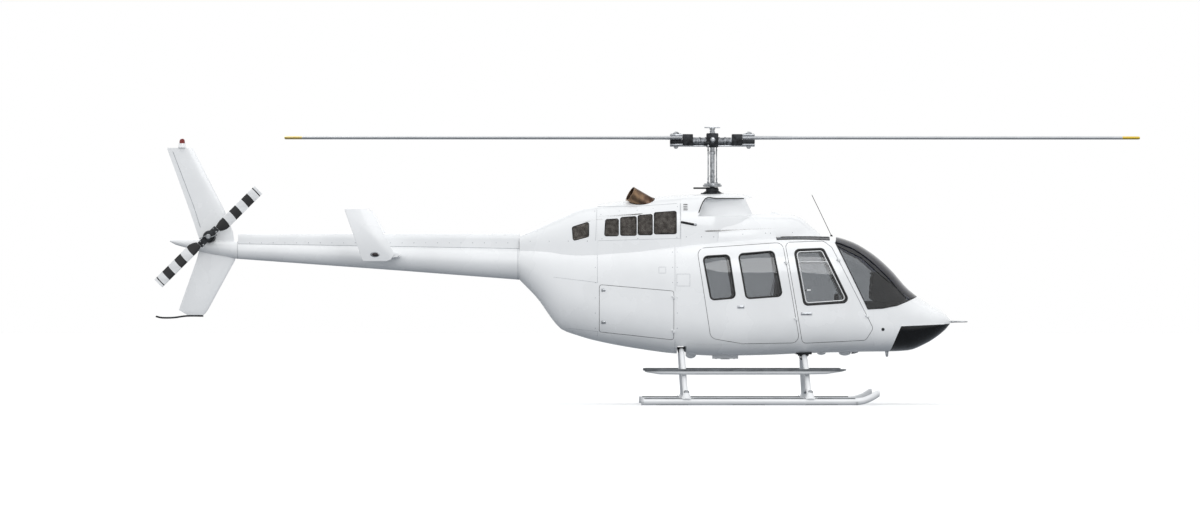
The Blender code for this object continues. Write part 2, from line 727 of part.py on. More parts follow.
def build_doors(white):
    """Front, rear and baggage doors. Returns the hinge leaves that their frames carry."""
    front_leaves, front_frames = hinge_leaves(FRONT_HINGES, LEAF_REACH, LEAF_REACH)
    rear_leaves, rear_frames = hinge_leaves(REAR_HINGES, LEAF_REACH, REAR_FRAME_REACH)
    bag_leaves, bag_frames = hinge_leaves(BAGGAGE_HINGES, LEAF_REACH, BAGGAGE_FRAME_REACH)
    front = keep(skin(*FRONT_DOOR_SPAN),
                 prism(rounded(FRONT_DOOR, FRONT_DOOR_RADIUS), -PAST_SIDE, -DOOR_REACH_Y))
    cut(front, prism(rounded(FRONT_WINDOW, WINDOW_RADIUS), -PAST_SIDE, 0.0))
    fuse(front, *front_leaves)
    rear = keep(skin(*REAR_DOOR_SPAN),
                prism(rounded(REAR_DOOR, REAR_DOOR_RADIUS), -PAST_SIDE, -DOOR_REACH_Y))
    for window in (REAR_WINDOW_AFT, REAR_WINDOW_FORE):
        cut(rear, prism(rounded(window, WINDOW_RADIUS), -PAST_SIDE, 0.0))
    fuse(rear, *rear_leaves)
    baggage = keep(skin(*BAGGAGE_DOOR_SPAN),
                   prism(rounded(BAGGAGE_DOOR, BAGGAGE_DOOR_RADIUS), -PAST_SIDE, -DOOR_REACH_Y))
    fuse(baggage, *bag_leaves)
    for door, name, hinges in ((front, "front_door", FRONT_HINGES),
                               (rear, "rear_door", REAR_HINGES)):
        right, left = side_pair(door, name, white)
        pivot = hinge_points(hinges)[1]
        pivot_at(right, pivot)
        pivot_at(left, (pivot.x, -pivot.y, pivot.z))
    finish(baggage, "baggage_door", white)
    pivot_at(baggage, hinge_points(BAGGAGE_HINGES)[1])
    return front_frames + rear_frames, bag_frames


def build_shells(white, cabin_leaves, baggage_leaves):
    """The fixed shells of cabin, nose and aft fuselage, with their openings."""
    door_tools = []
    for outline, radius in ((FRONT_DOOR, FRONT_DOOR_RADIUS), (REAR_DOOR, REAR_DOOR_RADIUS)):
        opening = rounded(grown(outline, DOOR_GAP), radius + DOOR_GAP)
        door_tools += both_sides(opening, DOOR_REACH_Y, PAST_SIDE)
    frame = keep(skin(AFT_SEAM_X + SEAT_GAP, NOSE_SEAM_X),
                 box(*CABIN_SPAN, -PAST_SIDE, PAST_SIDE, SILL_Z + SEAT_GAP, PAST_TOP))
    cut(frame, *door_tools)
    cut(frame, *both_sides(WINDSHIELD, CENTRE_POST_HALF, PAST_SIDE))
    cut(frame, *both_sides(SKYLIGHT, *SKYLIGHT_Y))
    port_leaves = [mirror(leaf) for leaf in cabin_leaves]
    fuse(frame, *cabin_leaves, *port_leaves)
    finish(frame, "cabin_frame", white)

    belly = keep(skin(AFT_SEAM_X + SEAT_GAP, NOSE_SEAM_X),
                 box(*CABIN_SPAN, -PAST_SIDE, PAST_SIDE, 0.0, SILL_Z))
    x0, x1, top = TUBE_NOTCH
    cut(belly, box(x0, x1, -PAST_SIDE, PAST_SIDE, 0.0, top))
    fuse(belly, box(*HOOK_PLATE))
    finish(belly, "cabin_belly", white)

    nose = skin(NOSE_SEAM_X + SEAT_GAP, NOSE_TIP_X)
    cut(nose, *both_sides(WINDSHIELD, CENTRE_POST_HALF, PAST_SIDE))
    cut(nose, *both_sides(CHIN_WINDOW, CHIN_POST_HALF, PAST_SIDE))
    finish(nose, "nose_shell", white)

    aft = hull(TAIL_JOINT_X, AFT_SEAM_X)
    for z0, z1 in AFT_BAYS:
        bay = hull(BAY_AFT_X, AFT_SEAM_X + PAST_END, WALL)
        cut(aft, keep(bay, box(TAIL_JOINT_X, PAST_SIDE, -PAST_SIDE, PAST_SIDE, z0, z1)))
    opening = rounded(grown(BAGGAGE_DOOR, DOOR_GAP), BAGGAGE_DOOR_RADIUS + DOOR_GAP)
    cut(aft, prism(opening, -PAST_SIDE, -DOOR_REACH_Y))
    fuse(aft, *baggage_leaves)
    finish(aft, "aft_fuselage", white)

    bulkhead = hull(*BULKHEAD_X, WALL + SEAT_GAP)
    finish(bulkhead, "aft_bulkhead", material("cabin_trim", (0.42, 0.43, 0.45), 0.7))
    floor = keep(hull(*FLOOR_X, WALL + SEAT_GAP),
                 box(*FLOOR_X, -PAST_SIDE, PAST_SIDE, *FLOOR_Z))
    finish(floor, "cabin_floor", material("floor_mat", (0.16, 0.17, 0.18), 0.9))


def build_glass():
    """Windscreen, chin, roof and door panes."""
    clear = material("clear_acrylic", (0.72, 0.76, 0.80), 0.06, transmission=0.85)
    tinted = material("tinted_acrylic", (0.10, 0.14, 0.26), 0.06, transmission=0.6)
    windscreen = glazing(WINDSHIELD, 0.0, (-PAST_SIDE, -CENTRE_POST_HALF - GLASS_GAP),
                         WINDSHIELD_SPAN, 0.0)
    side_pair(windscreen, "windscreen", clear)
    chin = glazing(CHIN_WINDOW, 0.0, (-PAST_SIDE, -CHIN_POST_HALF - GLASS_GAP), CHIN_SPAN, 0.0)
    side_pair(chin, "chin_window", clear)
    y0, y1 = SKYLIGHT_Y
    skylight = glazing(SKYLIGHT, 0.0, (-y1 + GLASS_GAP, -y0 - GLASS_GAP), SKYLIGHT_SPAN, 0.0)
    side_pair(skylight, "skylight", tinted)
    for name, outline in (("front_door_glass", FRONT_WINDOW), ("rear_glass_aft", REAR_WINDOW_AFT),
                          ("rear_glass_fore", REAR_WINDOW_FORE)):
        door_pane = glazing(outline, WINDOW_RADIUS, (-PAST_SIDE, -DOOR_REACH_Y),
                            DOOR_GLASS_SPAN, DOOR_GLASS_DEPTH)
        side_pair(door_pane, name, clear)


def build_cowls(white, metal):
    """Engine, transmission and rotor-mast fairings on the roof, with the engine inside."""
    aft = cut(cowl(AFT_FAIRING), cowl(AFT_FAIRING, COWL_WALL, PAST_END, COWL_BORE_BASE_Z))
    cut(aft, *grille_pockets((AFT_GRILLE,), AFT_FAIRING))
    finish(seated_on_fuselage(aft, *AFT_FAIRING_SPAN), "aft_fairing", white)

    engine = cut(cowl(ENGINE_COWL), cowl(ENGINE_COWL, COWL_WALL, PAST_END, COWL_BORE_BASE_Z))
    cut(engine, *grille_pockets(ENGINE_GRILLES, ENGINE_COWL))
    seated_on_fuselage(engine, *ENGINE_COWL_SPAN)
    base = Vector(STACK_BASE)
    tip = Vector(STACK_TIP)
    beyond = tip + (tip - base)
    block = seated_on_fuselage(box(*ENGINE_BLOCK), *ENGINE_COWL_SPAN)
    stack = cut(rod(base, tip, STACK_RADIUS, STACK_SIDES),
                rod(base.lerp(tip, STACK_BORE_START), beyond, STACK_RADIUS - STACK_WALL,
                    STACK_SIDES),
                box(-PAST_SIDE, PAST_SIDE, -PAST_SIDE, PAST_SIDE, ENGINE_BLOCK[4],
                    ENGINE_BLOCK[5] + SEAT_GAP))
    hole = rod(base, beyond, STACK_RADIUS + STACK_CLEARANCE, STACK_SIDES)
    cut(engine, mirror(hole), hole)
    finish(engine, "engine_cowl", white)
    finish(block, "engine_block", metal)
    side_pair(stack, "exhaust_stack", material("heated_steel", (0.30, 0.19, 0.12), 0.35, 1.0))

    head = cut(cowl(TRANSMISSION_COWL), *both_sides(HEAD_NOTCH, NECK_HALF_WIDTH, PAST_SIDE))
    cut(head, prism(HEAD_FRONT, -PAST_SIDE, PAST_SIDE), *both_sides(MOUTH, *MOUTH_Y))
    cut(head, cowl(FORWARD_FAIRING, -SEAT_GAP, SEAT_GAP))
    finish(seated_on_fuselage(head, *TRANSMISSION_COWL_SPAN), "transmission_cowl", white)
    fairing = seated_on_fuselage(cowl(FORWARD_FAIRING), *FORWARD_FAIRING_SPAN)
    finish(fairing, "forward_fairing", white)


def round_ring(x, centre_z, radius, sides):
    """A circle across X."""
    return [(x, radius * math.cos(2 * math.pi * k / sides),
             centre_z + radius * math.sin(2 * math.pi * k / sides)) for k in range(sides)]


def boom_solid(table, inset=0.0, sides=BOOM_SIDES):
    """A round tapered solid along X through (x, z_centre, radius) stations."""
    return loft([round_ring(x, z, radius - inset, sides) for x, z, radius in table])


def fin_ring(z, leading, trailing):
    """A symmetric fin section at height z."""
    chord = leading - trailing
    upper = [(leading - chord * along, chord * FIN_THICKNESS * half, z)
             for along, half in FIN_PROFILE]
    lower = [(x, -y, z) for x, y, z in reversed(upper[1:])]
    return upper + lower


def cover_solid(table, inset):
    """The drive-shaft cover's form over the boom, moved inwards by inset."""
    rings = []
    ends = ((table[0][0] - inset, table[0][1]), (table[-1][0] + inset, table[-1][1]))
    for x, half in ends:
        ring = [(x, half - inset, COVER_FOOT_Z)]
        for k in range(COVER_POINTS + 1):
            angle = math.pi * k / COVER_POINTS
            ring.append((x, (half - inset) * power(math.cos(angle), COVER_POWER),
                         COVER_TOP_Z - COVER_DROP
                         + (COVER_DROP - inset) * power(math.sin(angle), COVER_POWER)))
        ring.append((x, inset - half, COVER_FOOT_Z))
        rings.append(ring)
    return loft(rings)


def build_tail(white, dark):
    """Boom, shaft cover, fins, stabiliser, tail gearbox, skid and beacon."""
    leading, trailing, level, half_span = STABILISER
    chord = leading - trailing

    def stabiliser(gap):
        rings = []
        for y in (-half_span - gap, half_span + gap):
            ring = [(leading + gap - (chord + 2 * gap) * along, y,
                     level + (chord * STABILISER_THICKNESS + 2 * gap) * half)
                    for along, half in FIN_PROFILE]
            ring += [(x, y, 2 * level - z) for x, y, z in reversed(ring[1:])]
            rings.append(ring)
        return loft(rings)

    bore = [(x + (PAST_END if x == BOOM[0][0] else 0.0), z, radius) for x, z, radius in BOOM[:-1]]
    bore.append((BOOM[-1][0] + BOOM_END_WALL, BOOM[-1][1], BOOM[-1][2]))
    boom = cut(boom_solid(BOOM), boom_solid(bore, BOOM_WALL), stabiliser(SEAT_GAP))
    finish(boom, "tail_boom", white)
    finish(stabiliser(0.0), "stabiliser", white)
    for name, side in (("end_plate_right", -1.0), ("end_plate_left", 1.0)):
        middle = side * (half_span + SEAT_GAP + END_PLATE_HALF)
        plate = prism(END_PLATE, middle - END_PLATE_HALF, middle + END_PLATE_HALF)
        finish(plate, name, white)

    cover = cut(cover_solid(COVER, 0.0), boom_solid(BOOM, -SEAT_GAP), cover_solid(COVER, COVER_WALL))
    finish(cover, "shaft_cover", white)

    fin = fuse(boom_solid(CONE), loft([fin_ring(*row) for row in UPPER_FIN]),
               loft([fin_ring(*row) for row in LOWER_FIN]))
    finish(fin, "vertical_fin", white)
    x, _, z = TAIL_HUB
    gearbox = rod((x, 0.0, z), (x, GEARBOX_END_Y, z), GEARBOX_RADIUS, 16, GEARBOX_END_RADIUS)
    for table in (UPPER_FIN, LOWER_FIN):
        cut(gearbox, loft([grown_ring(fin_ring(*row), SEAT_GAP) for row in table]))
    cut(gearbox, boom_solid(CONE, -SEAT_GAP),
        box(x - PAST_SIDE, x + PAST_SIDE, 0.0, PAST_SIDE, z - PAST_SIDE, z + PAST_SIDE))
    finish(gearbox, "tail_gearbox", dark)
    finish(tube(TAIL_SKID, TAIL_SKID_RADIUS, 8), "tail_skid", dark)
    beacon_x, foot, shoulder, top = BEACON
    base_low, base_high = BEACON_BASE_RADII
    dome_low, dome_high = BEACON_DOME_RADII
    beacon = fuse(rod((beacon_x, 0, foot), (beacon_x, 0, shoulder), base_low, 16, base_high),
                  rod((beacon_x, 0, shoulder - BEACON_LAP), (beacon_x, 0, top), dome_low, 16,
                      dome_high))
    finish(beacon, "beacon", dark)


def grown_ring(ring, distance):
    """A fin section pushed out sideways and lengthwise by a distance."""
    middle = sum(point[0] for point in ring) / len(ring)
    return [(x + math.copysign(distance, x - middle), y + math.copysign(distance, y), z)
            for x, y, z in ring]


def blade_ring(reach, chord, thickness, level):
    """A blade section at a distance from the hub, leading edge towards -Y."""
    ring = []
    for along, half in BLADE_PROFILE:
        ring.append((reach, -chord * BLADE_AXIS_SHARE + chord * along, level + thickness * half))
    ring += [(reach, y, 2 * level - z) for reach, y, z in reversed(ring[1:-1])]
    return ring


def mast_disc(disc, dx=0.0, dy=0.0, sides=16):
    """An upright disc or bar, given as radius, z0 and z1, at an offset from the mast."""
    radius, z0, z1 = disc
    return rod((MAST.x + dx, dy, z0), (MAST.x + dx, dy, z1), radius, sides)


def hub_box(form, side):
    """A box outwards from the mast on one side, or across it where it starts at the mast."""
    near, far, half, z0, z1 = form
    if near == 0.0:
        return box(MAST.x - far, MAST.x + far, -half, half, z0, z1)
    x0, x1 = sorted((MAST.x + side * near, MAST.x + side * far))
    return box(x0, x1, -half, half, z0, z1)


def build_mast(metal, dark):
    """The fixed swashplate, and the mast with its turning ring and pitch links."""
    x0, x1, half, z0, z1 = SWASH_LEVER
    base = fuse(mast_disc(SWASH_FOOT, sides=24), mast_disc(SWASH_BOOT, sides=20),
                box(MAST.x + x0, MAST.x + x1, -half, half, z0, z1))
    bore = (SWASH_BORE_RADIUS, MAST_FOOT_Z - SEAT_GAP, SWASH_BORE_TOP_Z)
    cut(base, mast_disc(bore, sides=20), cowl(TRANSMISSION_COWL, -SEAT_GAP))
    finish(base, "swashplate_base", dark)

    mast = fuse(mast_disc((MAST_RADIUS, MAST_FOOT_Z, MAST_TOP_Z), sides=20),
                mast_disc(SWASH_RING, sides=20))
    for dx, dy in PITCH_LINKS:
        fuse(mast, mast_disc((PITCH_LINK_RADIUS, *PITCH_LINK_Z), dx, dy, 8))
    finish(mast, "rotor_mast", metal)


def build_hub(dark):
    """The teetering hub: block, plate, grips, blade pins, pitch horns, nut and top bar."""
    hub = fuse(hub_box(HUB_BLOCK, 1.0), hub_box(HUB_PLATE, 1.0))
    for side in (-1.0, 1.0):
        x0, x1 = sorted((MAST.x + side * GRIP_X[0], MAST.x + side * GRIP_X[1]))
        fuse(hub, rod((x0, 0, GRIP_Z), (x1, 0, GRIP_Z), GRIP_RADIUS, 16),
             hub_box(GRIP_CHEEK, side), hub_box(GRIP_STRAP, side), hub_box(GRIP_FOOT, side),
             mast_disc(BLADE_PIN_HEAD, side * BLADE_PIN_X),
             mast_disc(BLADE_PIN_NUT, side * BLADE_PIN_X, sides=12))
    for dx, dy in PITCH_LINKS:
        x0, x1 = sorted(MAST.x + dx * share for share in PITCH_HORN_X)
        y0, y1 = sorted(dy * share for share in PITCH_HORN_Y)
        fuse(hub, box(x0, x1, y0, y1, *PITCH_HORN_Z))
    fuse(hub, mast_disc(MAST_NUT), hub_box(TOP_BAR, 1.0))
    finish(hub, "rotor_hub", dark)


def build_main_rotor(metal, dark, grey):
    """Mast, swashplate, hub and two blades, turning about the vertical mast axis."""
    build_mast(metal, dark)
    build_hub(dark)
    x0, x1, half, z0, z1 = BLADE_DOUBLER
    for name, turn in (("main_blade_fore", 0.0), ("main_blade_aft", math.pi)):
        blade = loft([blade_ring(reach, BLADE_CHORD, BLADE_THICKNESS, BLADE_Z)
                      for reach in (BLADE_ROOT, ROTOR_RADIUS)])
        fuse(blade, box(x0, x1, -half, half, z0, z1))
        blade.data.transform(Matrix.Translation(MAST) @ Matrix.Rotation(turn, 4, "Z"))
        finish(blade, name, grey)
        pivot_at(blade, MAST)


def build_tail_rotor(dark, grey):
    """Two-blade tail rotor on the starboard side, turning about a cross axis."""
    x, y, z = TAIL_HUB_HALF
    shaft_start = GEARBOX_END_Y - TAIL_HUB.y - SEAT_GAP
    disc_radius, disc_near, disc_far = TAIL_DISC
    hub = fuse(box(-x, x, -y, y, -z, z),
               rod((0, shaft_start, 0), (0, TAIL_SHAFT_END_Y, 0), TAIL_SHAFT_RADIUS, 12),
               rod((0, disc_near, 0), (0, disc_far, 0), disc_radius, 12))
    turn = Matrix.Rotation(math.radians(TAIL_REST_DEG), 4, "Y")
    hub.data.transform(Matrix.Translation(TAIL_HUB) @ turn)
    finish(hub, "tail_rotor_hub", dark)
    pivot_at(hub, TAIL_HUB)
    for name, flip in (("tail_blade_fore", 0.0), ("tail_blade_aft", math.pi)):
        rings = []
        for reach in (TAIL_BLADE_ROOT, TAIL_RADIUS):
            rings.append([(y, z, reach) for _, y, z in
                          blade_ring(reach, TAIL_CHORD, TAIL_THICKNESS, 0.0)])
        blade = loft(rings)
        blade.data.transform(Matrix.Translation(TAIL_HUB) @ turn
                             @ Matrix.Rotation(flip, 4, "Y"))
        finish(blade, name, grey)
        pivot_at(blade, TAIL_HUB)


def leg_path(xs, level):
    """Half of a cross tube: level under the belly, then down and out to the skid."""
    points = []
    bend = [(y, level - drop) for y, drop in TUBE_BEND]
    for y, z in ((0.0, level), *bend, *TUBE_LEG):
        share = max(0.0, (level - z) / level)
        points.append((xs[0] + (xs[1] - xs[0]) * share, y, z))
    return points


def cross_tube(xs, level, extra=0.0):
    """A whole cross tube as one swept bar."""
    half = leg_path(xs, level)
    port = list(reversed(half))
    starboard = [(x, -y, z) for x, y, z in half[1:]]
    return tube(port + starboard, TUBE_RADIUS + extra, 12)


def skid_bar(side, extra=0.0):
    """A skid tube with its upturned toe."""
    return tube([(x, side * SKID_Y, z) for x, z in SKID_PATH], SKID_RADIUS + extra, 12)


def build_gear(white, grey):
    """Skids, cross tubes with saddles and brackets, and steps."""
    tubes = (("front_cross_tube", FRONT_TUBE_X, FRONT_TUBE_Z),
             ("rear_cross_tube", REAR_TUBE_X, REAR_TUBE_Z))
    saddle_low, saddle_high = SADDLE_RADII
    saddle_y, saddle_z = SADDLE_TOP
    for name, xs, level in tubes:
        bar = cross_tube(xs, level)
        for side in (-1.0, 1.0):
            fuse(bar, rod((xs[1], side * SKID_Y, SADDLE_FOOT_Z), (xs[1], side * saddle_y, saddle_z),
                          saddle_low, 14, saddle_high))
            if name == "front_cross_tube":
                y0, y1 = sorted(side * y for y in FRONT_CLAMP_Y)
                drop, top = FRONT_CLAMP_Z
                clamp = box(xs[0] - FRONT_CLAMP_HALF, xs[0] + FRONT_CLAMP_HALF, y0, y1,
                            level - drop, top)
                fuse(bar, cut(clamp, hull(*FRONT_CLAMP_SPAN, -SEAT_GAP)))
            else:
                y0, y1 = sorted(side * y for y in REAR_MOUNT_Y)
                drop, top = REAR_MOUNT_Z
                fuse(bar, box(xs[0] - REAR_MOUNT_AFT, BULKHEAD_X[0] - SEAT_GAP, y0, y1,
                              level - drop, top))
        for side in (-1.0, 1.0):
            cut(bar, skid_bar(side, SEAT_GAP))
        cut(bar, box(*CABIN_SPAN, -PAST_SIDE - SKID_Y, PAST_SIDE + SKID_Y, -PAST_SIDE,
                     SADDLE_LEAST_Z))
        finish(bar, name, white)
    for name, side in (("skid_right", -1.0), ("skid_left", 1.0)):
        finish(skid_bar(side), name, white)
    build_steps(tubes, grey)


def build_steps(tubes, grey):
    """The long steps, with brackets round both cross tubes."""
    x0, x1 = STEP_X
    y0, y1 = STEP_Y
    z0, z1 = STEP_Z
    middle = (z0 + z1) / 2
    tip = middle + STEP_TIP_RISE
    top = z1 - STEP_TOP_DROP
    step = prism(((x0, tip), (x0 + STEP_TAPER[0], z0), (x1 - STEP_TAPER[1], z0), (x1, tip),
                  (x1, top), (x0, top)), -y1, -y0)
    half, lap, reach, low, high = STEP_BRACKET
    for _, xs, level in tubes:
        x = xs[0] + (xs[1] - xs[0]) * (level - middle) / level
        fuse(step, box(x - half, x + half, -y0 - lap, -y0 + reach, z0 + low, z1 - high))
    for _, xs, level in tubes:
        cut(step, cross_tube(xs, level, SEAT_GAP))
    side_pair(step, "step", grey)


def seat(x_back, y, width, facing, back_top, pan_depth):
    """A simple seat: stand, pan and back, its back at x_back and facing along X."""
    half = width / 2
    pan_front = x_back + facing * pan_depth
    x0, x1 = sorted((x_back, pan_front))
    pan = box(x0, x1, y - half, y + half, *SEAT_PAN_Z)
    b0, b1 = x_back, x_back + facing * SEAT_BACK_THICKNESS
    lean = -facing * SEAT_LEAN
    back = prism(((b0, SEAT_BACK_FOOT_Z), (b1, SEAT_BACK_FOOT_Z), (b1 + lean, back_top),
                  (b0 + lean, back_top)), y - half, y + half)
    behind, ahead, beside = SEAT_STAND_INSET
    s0, s1 = sorted((x_back + facing * behind, pan_front - facing * ahead))
    stand = box(s0, s1, y - half + beside, y + half - beside, FLOOR_Z[1] + SEAT_GAP,
                SEAT_STAND_TOP_Z)
    return fuse(pan, back, stand)


def build_cabin(trim, dark):
    """Seats, glareshield and pedestal."""
    for name, *sizes in SEATS:
        finish(seat(*sizes), name, trim)
    console = prism(CONSOLE, -CONSOLE_HALF_WIDTH, CONSOLE_HALF_WIDTH)
    pedestal = keep(box(*PEDESTAL), hull(*PEDESTAL_SPAN, WALL + SEAT_GAP))
    finish(fuse(console, pedestal), "instrument_console", dark)


def build_probe(metal):
    """Pitot tube on the nose."""
    foot_radius, tip_radius = PITOT_RADII
    probe = rod((NOSE_TIP_X + SEAT_GAP, 0, PITOT_Z), (PITOT_TIP_X, 0, PITOT_Z), foot_radius, 10,
                tip_radius)
    finish(probe, "pitot_tube", metal)


def main():
    """Build every piece."""
    clear_scene()
    white = material("white_gloss_paint", (0.86, 0.87, 0.88), 0.18)
    metal = material("machined_metal", (0.42, 0.43, 0.45), 0.35, 1.0)
    dark = material("dark_metal", (0.16, 0.16, 0.17), 0.45, 0.8)
    grey = material("grey_paint", (0.55, 0.57, 0.60), 0.35)
    trim = material("seat_fabric", (0.20, 0.21, 0.23), 0.9)
    cabin_leaves, baggage_leaves = build_doors(white)
    build_shells(white, cabin_leaves, baggage_leaves)
    build_glass()
    build_cowls(white, metal)
    build_tail(white, dark)
    build_main_rotor(metal, dark, grey)
    build_tail_rotor(dark, grey)
    build_gear(white, grey)
    build_cabin(trim, dark)
    build_probe(metal)


if __name__ == "__main__":
    main()
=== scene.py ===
"""Light single-turbine utility helicopter on skids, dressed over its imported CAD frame.

Metres. +X runs to the nose, +Y to port, +Z up, and the origin lies on the ground under the middle
of the parked machine. Each panel, pane, blade and fitting is its own piece and rides on the body
that carries it.
"""

import logging
import math
from collections.abc import Callable, Iterable, Sequence
from dataclasses import dataclass
from enum import Enum

import bpy
from mathutils import Matrix, Vector


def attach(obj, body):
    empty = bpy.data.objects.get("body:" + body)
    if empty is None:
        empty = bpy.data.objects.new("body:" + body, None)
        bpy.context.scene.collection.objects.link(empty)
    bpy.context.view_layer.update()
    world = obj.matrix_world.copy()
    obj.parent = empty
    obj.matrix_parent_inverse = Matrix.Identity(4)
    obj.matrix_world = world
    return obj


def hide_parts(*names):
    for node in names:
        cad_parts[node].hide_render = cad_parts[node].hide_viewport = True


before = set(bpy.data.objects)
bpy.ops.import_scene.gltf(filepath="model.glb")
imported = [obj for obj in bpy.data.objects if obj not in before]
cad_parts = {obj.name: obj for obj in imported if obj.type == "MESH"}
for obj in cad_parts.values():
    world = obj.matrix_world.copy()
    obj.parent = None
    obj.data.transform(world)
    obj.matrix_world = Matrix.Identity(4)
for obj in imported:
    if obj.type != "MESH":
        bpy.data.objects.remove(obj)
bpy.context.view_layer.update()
LOG = logging.getLogger("helicopter")

Point = tuple[float, float, float]
Flat = tuple[float, float]
Outline = Sequence[Flat]
Object = bpy.types.Object

SEAT_GAP = 0.0003
AIRFRAME = "airframe"


class Side(Enum):
    """The two sides of the machine, as the sign of Y."""

    RIGHT = -1.0
    LEFT = 1.0

    @property
    def word(self) -> str:
        """The side's word in a piece's name."""
        return self.name.lower()


class Cut(Enum):
    """What a carving tool does to its target."""

    OUT = "DIFFERENCE"
    KEEP = "INTERSECT"
    JOIN = "UNION"


class Plane(Enum):
    """The plane that an outline is drawn in."""

    SIDE = "XZ"
    PLAN = "XY"
    FRONT = "YZ"


# Bench: selecting, joining and shaping


def rest() -> None:
    """Leave edit mode and deselect everything."""
    if bpy.context.object and bpy.context.object.mode != "OBJECT":
        bpy.ops.object.mode_set(mode="OBJECT")
    bpy.ops.object.select_all(action="DESELECT")


def only(obj: Object) -> Object:
    """Select one object and make it the active one.

    Args:
        obj: The object to work on.

    Returns:
        The same object.
    """
    rest()
    obj.select_set(True)
    bpy.context.view_layer.objects.active = obj
    return obj


def settle(obj: Object) -> Object:
    """Move an object's place, turn and size into its mesh.

    Args:
        obj: The object to settle.

    Returns:
        The same object, at the origin.
    """
    only(obj)
    bpy.ops.object.transform_apply(location=True, rotation=True, scale=True)
    return obj


def apply_modifiers(obj: Object) -> Object:
    """Apply every modifier of an object in turn.

    Args:
        obj: The object whose modifiers are applied.

    Returns:
        The same object.
    """
    only(obj)
    for modifier in list(obj.modifiers):
        bpy.ops.object.modifier_apply(modifier=modifier.name)
    return obj


def softened(obj: Object, width: float, segments: int = 2, angle: float = 40.0) -> Object:
    """Round the sharp edges of a piece.

    Args:
        obj: The piece.
        width: Width of the rounding, in metres.
        segments: Steps of the rounding.
        angle: Edges sharper than this many degrees are rounded.

    Returns:
        The same piece.
    """
    if width <= 0:
        return obj
    bevel = obj.modifiers.new("edge", "BEVEL")
    bevel.width = width
    bevel.segments = segments
    bevel.limit_method = "ANGLE"
    bevel.angle_limit = math.radians(angle)
    return apply_modifiers(obj)


def joined(parts: Sequence[Object]) -> Object:
    """Join pieces into the first one, each keeping its own closed mesh.

    Args:
        parts: The pieces to join.

    Returns:
        The first piece.
    """
    if len(parts) > 1:
        rest()
        for part in parts:
            part.select_set(True)
        bpy.context.view_layer.objects.active = parts[0]
        bpy.ops.object.join()
    return parts[0]


def tidied(obj: Object) -> Object:
    """Merge a mesh's doubles and turn its faces outwards.

    Args:
        obj: The piece.

    Returns:
        The same piece.
    """
    only(obj)
    bpy.ops.object.mode_set(mode="EDIT")
    bpy.ops.mesh.select_all(action="SELECT")
    bpy.ops.mesh.remove_doubles(threshold=0.00002)
    bpy.ops.mesh.normals_make_consistent(inside=False)
    bpy.ops.object.mode_set(mode="OBJECT")
    return obj


def block(centre: Point, size: Point, edge: float = 0.003, turn: Point = (0.0, 0.0, 0.0),
          segments: int = 2) -> Object:
    """A bar with rounded edges, from a cube primitive.

    Args:
        centre: Its middle.
        size: Its length along each axis before it is turned.
        edge: Width of its edge rounding.
        turn: Its turn about each axis, in degrees.
        segments: Steps of the rounding.

    Returns:
        The new piece.
    """
    rest()
    bpy.ops.mesh.primitive_cube_add(size=1.0, location=(0.0, 0.0, 0.0), scale=size)
    obj = settle(bpy.context.object)
    softened(obj, edge, segments)
    obj.rotation_euler = [math.radians(angle) for angle in turn]
    obj.location = centre
    return settle(obj)


def bar(start: Point, end: Point, radius: float, end_radius: float | None = None,
        sides: int = 24, edge: float = 0.0) -> Object:
    """A round bar or cone between two points, from a cone primitive.

    Args:
        start: Middle of its first end.
        end: Middle of its other end.
        radius: Radius at the start.
        end_radius: Radius at the end, the same if None.
        sides: Facets round it.
        edge: Width of the rounding at its ends.

    Returns:
        The new piece.
    """
    axis = Vector(end) - Vector(start)
    rest()
    bpy.ops.mesh.primitive_cone_add(
        vertices=sides, radius1=radius, radius2=radius if end_radius is None else end_radius,
        depth=axis.length)
    obj = softened(bpy.context.object, edge, 2, 50.0)
    obj.rotation_euler = Vector((0.0, 0.0, 1.0)).rotation_difference(axis).to_euler()
    obj.location = (Vector(start) + Vector(end)) / 2
    return settle(obj)


def ball(centre: Point, radii: Point, segments: int = 24, rings: int = 12) -> Object:
    """A rounded knob from a sphere primitive.

    Args:
        centre: Its middle.
        radii: Its half size along each axis.
        segments: Facets round it.
        rings: Facets from pole to pole.

    Returns:
        The new piece.
    """
    rest()
    bpy.ops.mesh.primitive_uv_sphere_add(segments=segments, ring_count=rings, radius=1.0,
                                         location=centre, scale=radii)
    return settle(bpy.context.object)


def formed(rows: Sequence[Sequence[Point]], wrap: bool = True) -> Object:
    """A surface through rows of points, from a grid primitive whose points are placed.

    Args:
        rows: Rows of equally many points.
        wrap: Whether each row closes on itself.

    Returns:
        The new piece, its doubles merged and its faces outwards.
    """
    across = len(rows[0]) if wrap else len(rows[0]) - 1
    rest()
    bpy.ops.mesh.primitive_grid_add(x_subdivisions=across, y_subdivisions=len(rows) - 1)
    obj = bpy.context.object
    flat: list[float] = []
    for row in rows:
        for point in (*row, row[0]) if wrap else row:
            flat.extend(point)
    obj.data.vertices.foreach_set("co", flat)
    obj.data.update()
    return tidied(obj)


def loft(rings: Sequence[Sequence[Point]]) -> Object:
    """A closed solid through rings, each end drawn together at its middle.

    Args:
        rings: Rings of equally many points.

    Returns:
        The new piece.
    """
    count = len(rings[0])
    ends = []
    for ring in (rings[0], rings[-1]):
        middle = sum((Vector(point) for point in ring), Vector()) / count
        ends.append([tuple(middle)] * count)
    return formed([ends[0], *rings, ends[1]])


